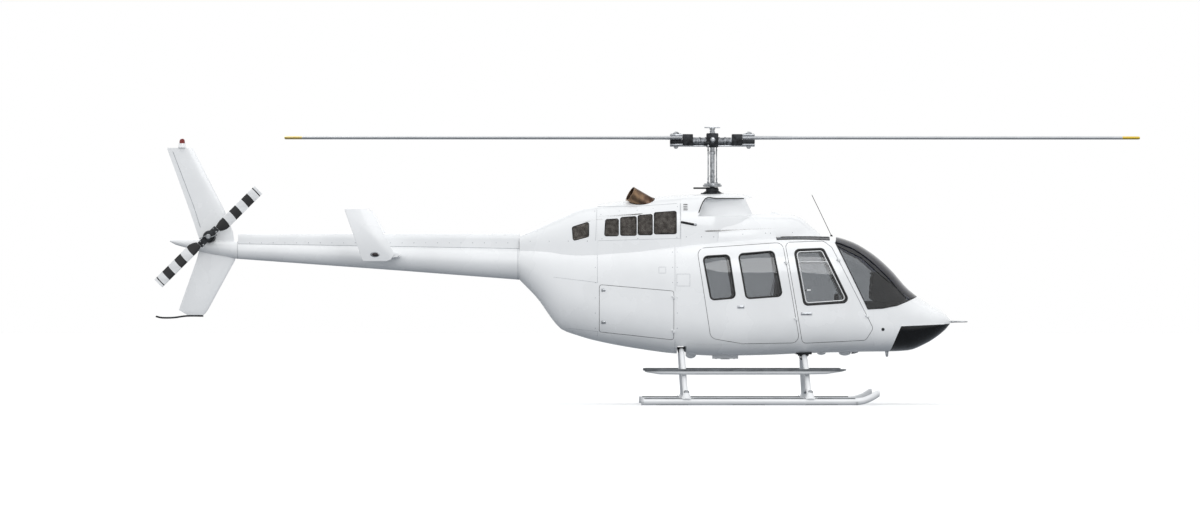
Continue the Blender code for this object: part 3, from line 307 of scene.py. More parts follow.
def turned(profile: Sequence[Flat], centre: Point, axis: Point, sides: int = 32) -> Object:
    """A turned piece: a profile of (along, radius) spun round an axis.

    Args:
        profile: Places along the axis, each with its radius.
        centre: The point where along is nought.
        axis: Direction of the axis.
        sides: Facets round it.

    Returns:
        The new piece.
    """
    spin = Vector((0.0, 0.0, 1.0)).rotation_difference(Vector(axis)).to_matrix()
    rings = []
    for along, radius in profile:
        ring = []
        for k in range(sides):
            angle = 2 * math.pi * k / sides
            spoke = Vector((radius * math.cos(angle), radius * math.sin(angle), along))
            ring.append(tuple(Vector(centre) + spin @ spoke))
        rings.append(ring)
    return loft(rings)


def swept(paths: Iterable[Sequence[Point]], radius: float, sides: int = 8,
          closed: bool = False) -> Object:
    """Round strands along paths, from bevelled curves made a mesh.

    Args:
        paths: The points of each strand.
        radius: Radius of the strands.
        sides: Facets round a strand.
        closed: Whether each strand closes on itself.

    Returns:
        The new piece, with closed ends.
    """
    rest()
    bpy.ops.curve.primitive_bezier_curve_add()
    obj = bpy.context.object
    curve = obj.data
    curve.splines.clear()
    curve.bevel_depth = radius
    curve.bevel_resolution = max(0, sides // 2 - 2)
    curve.use_fill_caps = True
    for path in paths:
        spline = curve.splines.new("POLY")
        spline.points.add(len(path) - 1)
        spline.use_cyclic_u = closed
        for knot, point in zip(spline.points, path):
            knot.co = (*point, 1.0)
    only(obj)
    bpy.ops.object.convert(target="MESH")
    return tidied(bpy.context.object)


def prism(outline: Outline, low: float, high: float, plane: Plane = Plane.SIDE,
          edge: float = 0.0) -> Object:
    """An outline drawn out into a solid, from a circle primitive extruded in edit mode.

    Args:
        outline: The outline's points in its plane.
        low: Where it starts on the axis across the plane.
        high: Where it ends there.
        plane: The plane of the outline.
        edge: Width of its edge rounding.

    Returns:
        The new piece.
    """
    place: dict[Plane, Callable[[Flat], Point]] = {
        Plane.SIDE: lambda p: (p[0], low, p[1]),
        Plane.PLAN: lambda p: (p[0], p[1], low),
        Plane.FRONT: lambda p: (low, p[0], p[1]),
    }
    step = {Plane.SIDE: (0.0, high - low, 0.0), Plane.PLAN: (0.0, 0.0, high - low),
            Plane.FRONT: (high - low, 0.0, 0.0)}[plane]
    rest()
    bpy.ops.mesh.primitive_circle_add(vertices=len(outline), fill_type="NGON")
    obj = bpy.context.object
    for vertex, point in zip(obj.data.vertices, outline):
        vertex.co = place[plane](point)
    bpy.ops.object.mode_set(mode="EDIT")
    bpy.ops.mesh.select_all(action="SELECT")
    bpy.ops.mesh.extrude_region_move(TRANSFORM_OT_translate={"value": step})
    bpy.ops.mesh.select_all(action="SELECT")
    bpy.ops.mesh.normals_make_consistent(inside=False)
    bpy.ops.object.mode_set(mode="OBJECT")
    return softened(obj, edge)


def both_prisms(outlines: Iterable[Outline], near: float, far: float) -> Object:
    """Side-view outlines drawn out on both sides, as one carving tool.

    Args:
        outlines: Side-view outlines that don't overlap.
        near: Distance from the middle plane where they start.
        far: Distance where they end.

    Returns:
        The tool.
    """
    tools = []
    for outline in outlines:
        tools += [prism(outline, -far, -near), prism(outline, near, far)]
    return joined(tools)


def copied(obj: Object) -> Object:
    """A copy of a piece with its own mesh.

    Args:
        obj: The piece to copy.

    Returns:
        The copy.
    """
    only(obj)
    bpy.ops.object.duplicate(linked=False)
    return bpy.context.object


def twin(obj: Object) -> Object:
    """A mirrored copy of a starboard piece, for the port side.

    Args:
        obj: The starboard piece.

    Returns:
        The port piece.
    """
    other = copied(obj)
    other.scale = (1.0, -1.0, 1.0)
    settle(other)
    bpy.ops.object.mode_set(mode="EDIT")
    bpy.ops.mesh.select_all(action="SELECT")
    bpy.ops.mesh.flip_normals()
    bpy.ops.object.mode_set(mode="OBJECT")
    return other


def spun(obj: Object, about: Point, axis: str, angle: float) -> Object:
    """Turn a piece about an axis through a point.

    Args:
        obj: The piece.
        about: A point on the axis.
        axis: X, Y or Z.
        angle: The turn in degrees.

    Returns:
        The same piece.
    """
    obj.matrix_world = (Matrix.Translation(about) @ Matrix.Rotation(math.radians(angle), 4, axis)
                        @ Matrix.Translation(-Vector(about)))
    return settle(obj)


def carve(target: Object, how: Cut, *tools: Object) -> Object:
    """Carve a piece with tools, which are used up.

    Args:
        target: The piece.
        how: What the tools do to it.
        tools: The tools, one after the other.

    Returns:
        The carved piece.
    """
    for tool in tools:
        if not tool.data.materials and target.data.materials:
            tool.data.materials.append(target.data.materials[0])
        only(target)
        modifier = target.modifiers.new("carve", "BOOLEAN")
        modifier.operation = how.value
        modifier.solver = "EXACT"
        modifier.material_mode = "TRANSFER"
        modifier.object = tool
        bpy.ops.object.modifier_apply(modifier=modifier.name)
        bpy.data.objects.remove(tool, do_unlink=True)
    return target


def scattered(model: Object, places: Iterable[tuple[Point, Point]]) -> Object:
    """Copies of one small part, each set upright on a surface, as one piece.

    Args:
        model: The part, made upright at the origin. It is used up.
        places: A place and the surface's outward direction for each copy.

    Returns:
        The joined copies.
    """
    copies = []
    for place, outward in places:
        item = copied(model)
        item.matrix_world = (Matrix.Translation(place) @ Vector((0.0, 0.0, 1.0))
                             .rotation_difference(Vector(outward)).to_matrix().to_4x4())
        copies.append(item)
    bpy.data.objects.remove(model, do_unlink=True)
    return settle(joined(copies))


def hand_over(obj: Object, name: str, finish: "Finish | None", body: str = AIRFRAME,
              stands_for: Sequence[str] = (), smooth: float = 35.0) -> Object:
    """Name, finish and hang a piece on its body, and report it.

    Args:
        obj: The finished piece.
        name: Its name.
        finish: Its finish, or None where its faces carry theirs already.
        body: The CAD body that it rides on.
        stands_for: The CAD nodes that it stands for.
        smooth: Edges sharper than this many degrees stay sharp.

    Returns:
        The same piece.
    """
    obj.name = name
    obj.data.name = name
    only(obj)
    bpy.ops.object.shade_smooth_by_angle(angle=math.radians(smooth))
    if finish:
        obj.data.materials.clear()
        obj.data.materials.append(finish.material())
    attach(obj, body)
    if stands_for:
        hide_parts(*stands_for)
    LOG.info("%s rides on %s", name, body)
    return obj


# Outlines and paths


def grown(outline: Outline, distance: float) -> Outline:
    """Move a convex outline outwards by a distance, with square corners.

    Args:
        outline: The outline.
        distance: How far it moves, inwards if negative.

    Returns:
        The new outline.
    """
    area = sum(a[0] * b[1] - b[0] * a[1]
               for a, b in zip(outline, (*outline[1:], outline[0])))
    side = 1.0 if area > 0 else -1.0
    moved = []
    for i, corner in enumerate(outline):
        before = Vector(corner) - Vector(outline[i - 1])
        after = Vector(outline[(i + 1) % len(outline)]) - Vector(corner)
        out_before = Vector((before.y, -before.x)).normalized() * side
        out_after = Vector((after.y, -after.x)).normalized() * side
        mitre = (out_before + out_after).normalized()
        moved.append(tuple(Vector(corner) + mitre * (distance / mitre.dot(out_after))))
    return moved


def rounded(outline: Outline, radius: float, steps: int = 6) -> Outline:
    """Turn an outline's corners into arcs.

    Args:
        outline: The outline.
        radius: Radius of the arcs.
        steps: Steps of each arc.

    Returns:
        The rounded outline.
    """
    points: list[Flat] = []
    for i, place in enumerate(outline):
        corner = Vector(place)
        back = Vector(outline[i - 1]) - corner
        ahead = Vector(outline[(i + 1) % len(outline)]) - corner
        half = back.angle(ahead) / 2
        reach = min(radius / math.tan(half), back.length * 0.45, ahead.length * 0.45)
        centre = corner + (back.normalized() + ahead.normalized()).normalized() * (
            reach * math.tan(half) / math.sin(half))
        first = corner + back.normalized() * reach - centre
        last = corner + ahead.normalized() * reach - centre
        turn = first.angle_signed(last)
        for step in range(steps + 1):
            angle = -turn * step / steps
            points.append((centre.x + first.x * math.cos(angle) - first.y * math.sin(angle),
                           centre.y + first.x * math.sin(angle) + first.y * math.cos(angle)))
    return points


def stepped(points: Sequence[Sequence[float]], pitch: float, closed: bool = False) -> list:
    """Add points along a path so that none lie further apart than a pitch.

    Args:
        points: The path's points.
        pitch: The greatest spacing.
        closed: Whether the path runs back to its start.

    Returns:
        The path with its added points.
    """
    path = []
    ends = zip(points, (*points[1:], points[0])) if closed else zip(points, points[1:])
    for start, end in ends:
        span = Vector(end) - Vector(start)
        count = max(1, math.ceil(span.length / pitch))
        path += [tuple(Vector(start) + span * k / count) for k in range(count)]
    return path if closed else [*path, tuple(points[-1])]


def eased(points: Sequence[Point], steps: int = 6) -> list[Point]:
    """A smooth path through points, with rounded bends.

    Args:
        points: The points that it passes.
        steps: Steps between two points.

    Returns:
        The path's points.
    """
    ends = [Vector(points[0]) * 2 - Vector(points[1]), *map(Vector, points),
            Vector(points[-1]) * 2 - Vector(points[-2])]
    path = []
    for a, b, c, d in zip(ends, ends[1:], ends[2:], ends[3:]):
        for k in range(steps):
            t = k / steps
            path.append(tuple(0.5 * ((2 * b) + (c - a) * t + (2 * a - 5 * b + 4 * c - d) * t * t
                                     + (3 * b - a - 3 * c + d) * t ** 3)))
    return [*path, tuple(points[-1])]


def even_steps(points: Sequence[Flat], count: int) -> list[Flat]:
    """Place points evenly along a path by its length.

    Args:
        points: The path.
        count: How many equal steps it gets.

    Returns:
        The evenly spaced points.
    """
    lengths = [0.0]
    for a, b in zip(points, points[1:]):
        lengths.append(lengths[-1] + math.dist(a, b))
    even = []
    at = 0
    for k in range(count + 1):
        goal = lengths[-1] * k / count
        while at < len(points) - 2 and lengths[at + 1] < goal:
            at += 1
        span = lengths[at + 1] - lengths[at]
        share = (goal - lengths[at]) / span if span > 0 else 0.0
        share = min(1.0, max(0.0, share))
        even.append(tuple(Vector(points[at]).lerp(Vector(points[at + 1]), share)))
    return even


def power(value: float, exponent: float) -> float:
    """Signed power, for rounded sections.

    Args:
        value: The base.
        exponent: The power of its size.

    Returns:
        The power, with the base's sign.
    """
    return math.copysign(abs(value) ** exponent, value)


# Finishes


def linear(hex_colour: str) -> tuple[float, float, float, float]:
    """Turn an sRGB hex colour to linear light.

    Args:
        hex_colour: Six hex digits.

    Returns:
        Red, green, blue and alpha.
    """
    shares = [int(hex_colour[i:i + 2], 16) / 255 for i in (0, 2, 4)]
    red, green, blue = (share / 12.92 if share <= 0.04045 else ((share + 0.055) / 1.055) ** 2.4
                        for share in shares)
    return red, green, blue, 1.0


def add_node(tree: bpy.types.NodeTree, kind: str, settings: dict | None = None,
             links: dict | None = None) -> bpy.types.Node:
    """Add a node with its settings and links.

    Args:
        tree: The tree that it joins.
        kind: The node's type.
        settings: Values of its properties and input sockets.
        links: Output sockets by the input socket that they feed.

    Returns:
        The node.
    """
    node = tree.nodes.new(kind)
    for key, value in (settings or {}).items():
        if isinstance(key, str) and key not in node.inputs and hasattr(node, key):
            setattr(node, key, value)
        else:
            node.inputs[key].default_value = value
    for key, source in (links or {}).items():
        tree.links.new(source, node.inputs[key])
    return node


@dataclass(frozen=True)
class Finish:
    """A finish: its name, record slot, colour, roughness and metal share."""

    name: str
    slot: str
    colour: str
    roughness: float
    metallic: float = 0.0

    def material(self) -> bpy.types.Material:
        """The finish's material, made once.

        Returns:
            The material.
        """
        found = bpy.data.materials.get(self.name)
        if found:
            return found
        made = bpy.data.materials.new(self.name)
        made.use_nodes = True
        tree = made.node_tree
        shader = tree.nodes["Principled BSDF"]
        shader.inputs["Base Color"].default_value = linear(self.colour)
        shader.inputs["Roughness"].default_value = self.roughness
        shader.inputs["Metallic"].default_value = self.metallic
        made.diffuse_color = linear(self.colour)
        self.dress(tree, shader)
        return made

    def dress(self, tree: bpy.types.NodeTree, shader: bpy.types.Node) -> None:
        """Give the material its pattern; the plain finish adds none.

        Args:
            tree: The material's tree, not used here.
            shader: Its main shader, not used here.
        """

    def pattern(self, tree: bpy.types.NodeTree, kind: str, size_mm: float,
                settings: dict | None = None, stretch: Point = (1.0, 1.0, 1.0)) -> bpy.types.Node:
        """Add a pattern on the piece's own coordinates, scaled from a real size.

        Args:
            tree: The material's tree.
            kind: The texture node's type.
            size_mm: Size of the pattern's features in millimetres.
            settings: The texture's other settings.
            stretch: Scale along each axis, for drawn-out patterns.

        Returns:
            The texture node.
        """
        place = add_node(tree, "ShaderNodeTexCoord")
        scaled = add_node(tree, "ShaderNodeMapping", {"Scale": stretch},
                          {"Vector": place.outputs["Object"]})
        return add_node(tree, kind, {"Scale": 1000.0 / size_mm, **(settings or {})},
                        {"Vector": scaled.outputs["Vector"]})

    def shaded(self, tree: bpy.types.NodeTree, shader: bpy.types.Node,
               source: bpy.types.NodeSocket, dark: str, low: float, high: float,
               light: str | None = None) -> None:
        """Vary the base colour between a dark and the finish's own shade.

        Args:
            tree: The material's tree.
            shader: Its main shader.
            source: The pattern that drives the change.
            dark: Colour where the pattern is low.
            low: Pattern value of the dark colour.
            high: Pattern value of the light colour.
            light: Colour where it is high, the finish's own if None.
        """
        ramp = add_node(tree, "ShaderNodeValToRGB", links={"Fac": source})
        ramp.color_ramp.elements[0].position = low
        ramp.color_ramp.elements[0].color = linear(dark)
        ramp.color_ramp.elements[1].position = high
        ramp.color_ramp.elements[1].color = linear(light or self.colour)
        tree.links.new(ramp.outputs["Color"], shader.inputs["Base Color"])

    def raised(self, tree: bpy.types.NodeTree, shader: bpy.types.Node,
               source: bpy.types.NodeSocket, height_mm: float, strength: float = 1.0) -> None:
        """Raise the surface by a pattern.

        Args:
            tree: The material's tree.
            shader: Its main shader.
            source: The pattern.
            height_mm: Its height in millimetres.
            strength: How much of it shows.
        """
        bump = add_node(tree, "ShaderNodeBump",
                        {"Strength": strength, "Distance": height_mm / 1000.0}, {"Height": source})
        tree.links.new(bump.outputs["Normal"], shader.inputs["Normal"])

    def mottled_gloss(self, tree: bpy.types.NodeTree, shader: bpy.types.Node,
                      source: bpy.types.NodeSocket, low: float, high: float) -> None:
        """Vary the roughness between two values.

        Args:
            tree: The material's tree.
            shader: Its main shader.
            source: The pattern.
            low: Roughness where the pattern is low.
            high: Roughness where it is high.
        """
        spread = add_node(tree, "ShaderNodeMapRange", {"To Min": low, "To Max": high},
                          {"Value": source})
        tree.links.new(spread.outputs["Result"], shader.inputs["Roughness"])


@dataclass(frozen=True)
class SprayedPaint(Finish):
    """Two-pack polyurethane enamel, sprayed: a glossy film with faint orange peel."""

    coat: float = 0.5
    peel_mm: float = 14.0

    def dress(self, tree: bpy.types.NodeTree, shader: bpy.types.Node) -> None:
        """A clear top film, slight clouding of the white, and orange peel.

        Real orange peel is 2 mm across and too fine to show, so it is drawn coarser.

        Args:
            tree: The material's tree.
            shader: Its main shader.
        """
        shader.inputs["Coat Weight"].default_value = self.coat
        shader.inputs["Coat Roughness"].default_value = 0.06
        cloud = self.pattern(tree, "ShaderNodeTexNoise", 650.0, {"Detail": 4.0})
        red, green, blue, _ = linear(self.colour)
        darker = "".join(f"{round(255 * ((share * 0.94) ** (1 / 2.2))):02x}"
                         for share in (red, green, blue))
        self.shaded(tree, shader, cloud.outputs["Fac"], darker, 0.3, 0.62)
        peel = self.pattern(tree, "ShaderNodeTexNoise", self.peel_mm, {"Detail": 1.0})
        self.raised(tree, shader, peel.outputs["Fac"], 0.12, 0.5)
        self.mottled_gloss(tree, shader, cloud.outputs["Fac"], self.roughness - 0.06,
                           self.roughness + 0.08)


@dataclass(frozen=True)
class BandedPaint(Finish):
    """Enamel masked and sprayed in rings round a rotor's axis, on blades."""

    centre: Point = (0.0, 0.0, 0.0)
    level: Point = (1.0, 1.0, 0.0)
    bands: tuple[tuple[float, str], ...] = ()

    def dress(self, tree: bpy.types.NodeTree, shader: bpy.types.Node) -> None:
        """Rings of colour by the distance from the axis, with faint wear over them.

        Args:
            tree: The material's tree.
            shader: Its main shader.
        """
        place = add_node(tree, "ShaderNodeTexCoord")
        moved = add_node(tree, "ShaderNodeVectorMath", {"operation": "SUBTRACT", 1: self.centre},
                         {0: place.outputs["Object"]})
        flat = add_node(tree, "ShaderNodeVectorMath", {"operation": "MULTIPLY", 1: self.level},
                        {0: moved.outputs["Vector"]})
        far = add_node(tree, "ShaderNodeVectorMath", {"operation": "LENGTH"},
                       {0: flat.outputs["Vector"]})
        reach = self.bands[-1][0]
        share = add_node(tree, "ShaderNodeMath", {"operation": "DIVIDE", 1: reach},
                         {0: far.outputs["Value"]})
        ramp = add_node(tree, "ShaderNodeValToRGB", links={"Fac": share.outputs["Value"]})
        ramp.color_ramp.interpolation = "CONSTANT"
        ramp.color_ramp.elements[0].color = linear(self.colour)
        ramp.color_ramp.elements.remove(ramp.color_ramp.elements[1])
        for start, colour in self.bands:
            stop = ramp.color_ramp.elements.new(start / reach)
            stop.color = linear(colour)
        wear = self.pattern(tree, "ShaderNodeTexNoise", 90.0, {"Detail": 6.0}, (0.3, 1.0, 1.0))
        soil = add_node(tree, "ShaderNodeMapRange", {"From Min": 0.35, "From Max": 0.6,
                                                     "To Min": 0.86, "To Max": 1.0},
                        {"Value": wear.outputs["Fac"]})
        mix = add_node(tree, "ShaderNodeVectorMath", {"operation": "SCALE"},
                       {0: ramp.outputs["Color"], "Scale": soil.outputs["Result"]})
        tree.links.new(mix.outputs["Vector"], shader.inputs["Base Color"])
        peel = self.pattern(tree, "ShaderNodeTexNoise", 12.0, {"Detail": 2.0})
        self.raised(tree, shader, peel.outputs["Fac"], 0.15, 0.5)


@dataclass(frozen=True)
class WorkedMetal(Finish):
    """Bare metal, machined, blasted or cast: a cloudy sheen with fine tool or grit marks."""

    grain_mm: float = 6.0
    draw: Point = (1.0, 1.0, 1.0)
    shade: str = "55585c"

    def dress(self, tree: bpy.types.NodeTree, shader: bpy.types.Node) -> None:
        """Clouded tone and marks that follow the way it was worked.

        Args:
            tree: The material's tree.
            shader: Its main shader.
        """
        cloud = self.pattern(tree, "ShaderNodeTexNoise", 45.0, {"Detail": 5.0})
        self.shaded(tree, shader, cloud.outputs["Fac"], self.shade, 0.36, 0.64)
        marks = self.pattern(tree, "ShaderNodeTexNoise", self.grain_mm, {"Detail": 3.0}, self.draw)
        self.raised(tree, shader, marks.outputs["Fac"], 0.25, 0.6)
        self.mottled_gloss(tree, shader, cloud.outputs["Fac"], self.roughness - 0.1,
                           self.roughness + 0.12)


@dataclass(frozen=True)
class HeatTintedSteel(Finish):
    """Stainless steel browned by exhaust gas: straw and bronze bands with sooty patches."""

    def dress(self, tree: bpy.types.NodeTree, shader: bpy.types.Node) -> None:
        """Bands of temper colour along the pipe, broken up by soot.

        Args:
            tree: The material's tree.
            shader: Its main shader.
        """
        bands = self.pattern(tree, "ShaderNodeTexNoise", 120.0, {"Detail": 4.0, "Roughness": 0.6},
                             (1.0, 0.5, 0.6))
        ramp = add_node(tree, "ShaderNodeValToRGB", links={"Fac": bands.outputs["Fac"]})
        ramp.color_ramp.elements[0].position = 0.30
        ramp.color_ramp.elements[0].color = linear("3a2a22")
        ramp.color_ramp.elements[1].position = 0.72
        ramp.color_ramp.elements[1].color = linear("a08468")
        middle = ramp.color_ramp.elements.new(0.5)
        middle.color = linear(self.colour)
        tree.links.new(ramp.outputs["Color"], shader.inputs["Base Color"])
        soot = self.pattern(tree, "ShaderNodeTexNoise", 18.0, {"Detail": 6.0})
        self.mottled_gloss(tree, shader, soot.outputs["Fac"], 0.25, 0.6)
        self.raised(tree, shader, soot.outputs["Fac"], 0.3, 0.4)


@dataclass(frozen=True)
class StretchedAcrylic(Finish):
    """Stretched acrylic sheet, drape formed and polished: clear, with faint haze."""

    ior: float = 1.49

    def dress(self, tree: bpy.types.NodeTree, shader: bpy.types.Node) -> None:
        """Clear through, with slight optical waves from forming.

        Args:
            tree: The material's tree.
            shader: Its main shader.
        """
        shader.inputs["Transmission Weight"].default_value = 1.0
        shader.inputs["IOR"].default_value = self.ior
        wave = self.pattern(tree, "ShaderNodeTexNoise", 300.0, {"Detail": 1.0})
        self.raised(tree, shader, wave.outputs["Fac"], 0.4, 0.25)
        self.shaded(tree, shader, wave.outputs["Fac"], self.colour, 0.3, 0.7)


@dataclass(frozen=True)
class Moulding(Finish):
    """Moulded rubber, plastic or crinkle paint: an even colour with a fine leathery grain."""

    grain_mm: float = 5.0
    height_mm: float = 0.3
    shade: str = "101010"

    def dress(self, tree: bpy.types.NodeTree, shader: bpy.types.Node) -> None:
        """Pebbled grain and slight wear.

        Args:
            tree: The material's tree.
            shader: Its main shader.
        """
        grain = self.pattern(tree, "ShaderNodeTexVoronoi", self.grain_mm)
        self.raised(tree, shader, grain.outputs["Distance"], self.height_mm, 0.7)
        dust = self.pattern(tree, "ShaderNodeTexNoise", 80.0, {"Detail": 5.0})
        self.shaded(tree, shader, dust.outputs["Fac"], self.shade, 0.3, 0.7)
        self.mottled_gloss(tree, shader, dust.outputs["Fac"], self.roughness - 0.08,
                           self.roughness + 0.1)


@dataclass(frozen=True)
class GritPaint(Finish):
    """Anti-slip paint with silica grit, rolled on: a coarse, matt, speckled face."""

    def dress(self, tree: bpy.types.NodeTree, shader: bpy.types.Node) -> None:
        """Grit 1 mm across, drawn at 6 mm so that it shows, with scuffed paler tops.

        Args:
            tree: The material's tree.
            shader: Its main shader.
        """
        grit = self.pattern(tree, "ShaderNodeTexVoronoi", 6.0, {"Randomness": 1.0})
        self.raised(tree, shader, grit.outputs["Distance"], 0.8, 0.9)
        scuff = self.pattern(tree, "ShaderNodeTexNoise", 70.0, {"Detail": 8.0, "Roughness": 0.7},
                             (0.4, 1.0, 1.0))
        self.shaded(tree, shader, scuff.outputs["Fac"], "4a4d50", 0.32, 0.62)


@dataclass(frozen=True)
class Upholstery(Finish):
    """Coated fabric over foam, embossed: a pebble grain with a soft sheen on the crowns."""

    def dress(self, tree: bpy.types.NodeTree, shader: bpy.types.Node) -> None:
        """Pebble grain 2 mm across, drawn at 7 mm, and creases.

        Args:
            tree: The material's tree.
            shader: Its main shader.
        """
        shader.inputs["Sheen Weight"].default_value = 0.25
        grain = self.pattern(tree, "ShaderNodeTexVoronoi", 7.0)
        crease = self.pattern(tree, "ShaderNodeTexNoise", 110.0, {"Detail": 6.0})
        both = add_node(tree, "ShaderNodeMath", {"operation": "MULTIPLY_ADD", 1: 0.4},
                        {0: grain.outputs["Distance"], 2: crease.outputs["Fac"]})
        self.raised(tree, shader, both.outputs["Value"], 2.0, 0.5)
        self.shaded(tree, shader, crease.outputs["Fac"], "2a2c2f", 0.3, 0.7)


@dataclass(frozen=True)
class Weave(Finish):
    """Woven webbing or looped carpet: rows of yarn over and under."""

    yarn_mm: float = 8.0

    def dress(self, tree: bpy.types.NodeTree, shader: bpy.types.Node) -> None:
        """Crossed yarns, drawn coarse enough to show.

        Args:
            tree: The material's tree.
            shader: Its main shader.
        """
        shader.inputs["Sheen Weight"].default_value = 0.4
        warp = self.pattern(tree, "ShaderNodeTexWave", self.yarn_mm,
                            {"bands_direction": "X", "Distortion": 0.6})
        weft = self.pattern(tree, "ShaderNodeTexWave", self.yarn_mm,
                            {"bands_direction": "Z", "Distortion": 0.6})
        cloth = add_node(tree, "ShaderNodeMath", {"operation": "MULTIPLY"},
                         {0: warp.outputs["Fac"], 1: weft.outputs["Fac"]})
        self.raised(tree, shader, cloth.outputs["Value"], 1.0, 0.7)
        self.shaded(tree, shader, cloth.outputs["Value"], "17181a", 0.0, 0.8)


@dataclass(frozen=True)
class MouldedLens(Finish):
    """Moulded lamp lens: coloured, ribbed and glossy."""

    def dress(self, tree: bpy.types.NodeTree, shader: bpy.types.Node) -> None:
        """Fine ribs that break the light up.

        Args:
            tree: The material's tree.
            shader: Its main shader.
        """
        shader.inputs["Transmission Weight"].default_value = 0.35
        shader.inputs["IOR"].default_value = 1.49
        ribs = self.pattern(tree, "ShaderNodeTexWave", 10.0, {"bands_direction": "Z"})
        self.raised(tree, shader, ribs.outputs["Fac"], 0.8, 0.6)
        self.shaded(tree, shader, ribs.outputs["Fac"], "200505", 0.0, 0.9)


MAST_AXIS: Point = (0.852, 0.0, 0.0)
TAIL_HUB: Point = (-5.781, -0.300, 2.203)

WHITE_PAINT = SprayedPaint("polyurethane_enamel_white", "white_paint", "eceef0", 0.26)
GEAR_PAINT = SprayedPaint("polyurethane_enamel_gear", "white_paint", "e6e8ea", 0.34, coat=0.3)
BLADE_PAINT = BandedPaint(
    "blade_enamel_grey", "blade_paint", "b9bcc0", 0.42, centre=MAST_AXIS,
    bands=((5.405, "d9b92c"), (5.70, "d9b92c")))
TAIL_BLADE_PAINT = BandedPaint(
    "blade_enamel_banded", "blade_paint", "17181a", 0.38, centre=TAIL_HUB, level=(1.0, 0.0, 1.0),
    bands=((0.315, "e8eaec"), (0.430, "17181a"), (0.540, "e8eaec"), (0.650, "17181a"),
           (0.760, "e8eaec"), (0.850, "17181a"), (0.868, "e8eaec"), (0.95, "e8eaec")))
BLASTED_STEEL = WorkedMetal("blasted_steel", "rotor_metal", "9a9da1", 0.42, 0.85)
TURNED_STEEL = WorkedMetal("turned_steel", "rotor_metal", "b4b7ba", 0.3, 1.0, grain_mm=4.0,
                           draw=(1.0, 1.0, 6.0), shade="7a7d80")
DARK_METAL = WorkedMetal("phosphated_steel", "dark_metal", "3a3c3f", 0.5, 0.7, shade="1c1d1f")
ENGINE_METAL = WorkedMetal("cast_engine_metal", "engine_metal", "8a8d90", 0.5, 0.9,
                           grain_mm=9.0, shade="4a4c4f")
BARE_ALUMINIUM = WorkedMetal("anodised_aluminium", "rotor_metal", "c9ccd0", 0.34, 0.9,
                             shade="989b9f")
HEATED_STEEL = HeatTintedSteel("heat_tinted_stainless", "heated_steel", "6e5a4c", 0.35, 1.0)
CLEAR_ACRYLIC = StretchedAcrylic("stretched_acrylic_clear", "clear_glass", "a8abae", 0.02)
TINTED_ACRYLIC = StretchedAcrylic("stretched_acrylic_navy", "tinted_glass", "1a2440", 0.03)
SMOKED_ACRYLIC = StretchedAcrylic("stretched_acrylic_smoked", "tinted_glass", "1c1f24", 0.04)
SEAL_RUBBER = Moulding("moulded_seal_rubber", "dark_metal", "141516", 0.55)
GAP_SHADOW = Moulding("seam_sealant", "dark_metal", "b0b4b8", 0.8, height_mm=0.1,
                      shade="9a9ea2")
MESH_METAL = WorkedMetal("expanded_steel_mesh", "dark_metal", "a09a94", 0.5, 0.6,
                         shade="6e6862")
# Painted shade: matt black put inside grille pockets, intake mouths, stack holes and the drain slot,
# where shade falls.
DEEP_SHADE = Moulding("matt_black_duct", "dark_metal", "17161a", 0.75, shade="0c0c0d")
STEP_GRIT = GritPaint("anti_slip_paint", "step_paint", "74787c", 0.85)
TRIM_PANEL = Moulding("moulded_trim_panel", "cabin_trim", "a3a6aa", 0.65, shade="8c8f93")
CARPET = Weave("loop_carpet", "floor_covering", "3f4347", 0.95, yarn_mm=9.0)
HIDE = Upholstery("coated_fabric_hide", "seat_fabric", "2e3033", 0.55)
WEBBING = Weave("woven_webbing", "cabin_trim", "2b2d31", 0.85, yarn_mm=5.0)
CRINKLE = Moulding("crinkle_black_paint", "console_paint", "232427", 0.6, grain_mm=4.0)
DIAL_FACE = Moulding("printed_dial_face", "console_paint", "0e0f10", 0.25, height_mm=0.02)
DIAL_MARK = Moulding("dial_marking_paint", "console_paint", "e9ebe6", 0.5, height_mm=0.02,
                     shade="cfd2cc")
RED_LENS = MouldedLens("lamp_lens_red", "beacon_lens", "b3261e", 0.12)
CLEAR_LENS = MouldedLens("lamp_lens_clear", "beacon_lens", "d8dde0", 0.08)
DARK_LENS = MouldedLens("lamp_lens_dark", "beacon_lens", "2f2a2a", 0.15)


# Forms that several sub-assemblies share


@dataclass(frozen=True)
class Stations:
    """Rows of values by place along X, joined by smooth curves."""

    rows: tuple[tuple[float, ...], ...]

    def value(self, x: float, column: int) -> float:
        """One column at a place, by monotone cubic interpolation.

        Args:
            x: The place.
            column: The column.

        Returns:
            Its value there.
        """
        xs = [row[0] for row in self.rows]
        ys = [row[column] for row in self.rows]
        if x <= xs[0]:
            return ys[0]
        if x >= xs[-1]:
            return ys[-1]
        slopes = [(ys[k + 1] - ys[k]) / (xs[k + 1] - xs[k]) for k in range(len(xs) - 1)]
        i = max(k for k in range(len(slopes)) if xs[k] <= x)
        tangents = []
        for k in (i, i + 1):
            if k in (0, len(slopes)):
                tangents.append(slopes[min(k, len(slopes) - 1)])
            elif slopes[k - 1] * slopes[k] <= 0:
                tangents.append(0.0)
            else:
                tangents.append(2 * slopes[k - 1] * slopes[k] / (slopes[k - 1] + slopes[k]))
        width = xs[i + 1] - xs[i]
        t = (x - xs[i]) / width
        return (ys[i] * (1 + 2 * t) * (1 - t) ** 2 + tangents[0] * width * t * (1 - t) ** 2
                + ys[i + 1] * t * t * (3 - 2 * t) - tangents[1] * width * t * t * (1 - t))

    def places(self, pitch: float, low: float, high: float) -> list[float]:
        """Even places between two ends.

        Args:
            pitch: Their spacing.
            low: The first place.
            high: The last place.

        Returns:
            The places.
        """
        count = max(2, math.ceil((high - low) / pitch))
        return [low + (high - low) * k / count for k in range(count + 1)]


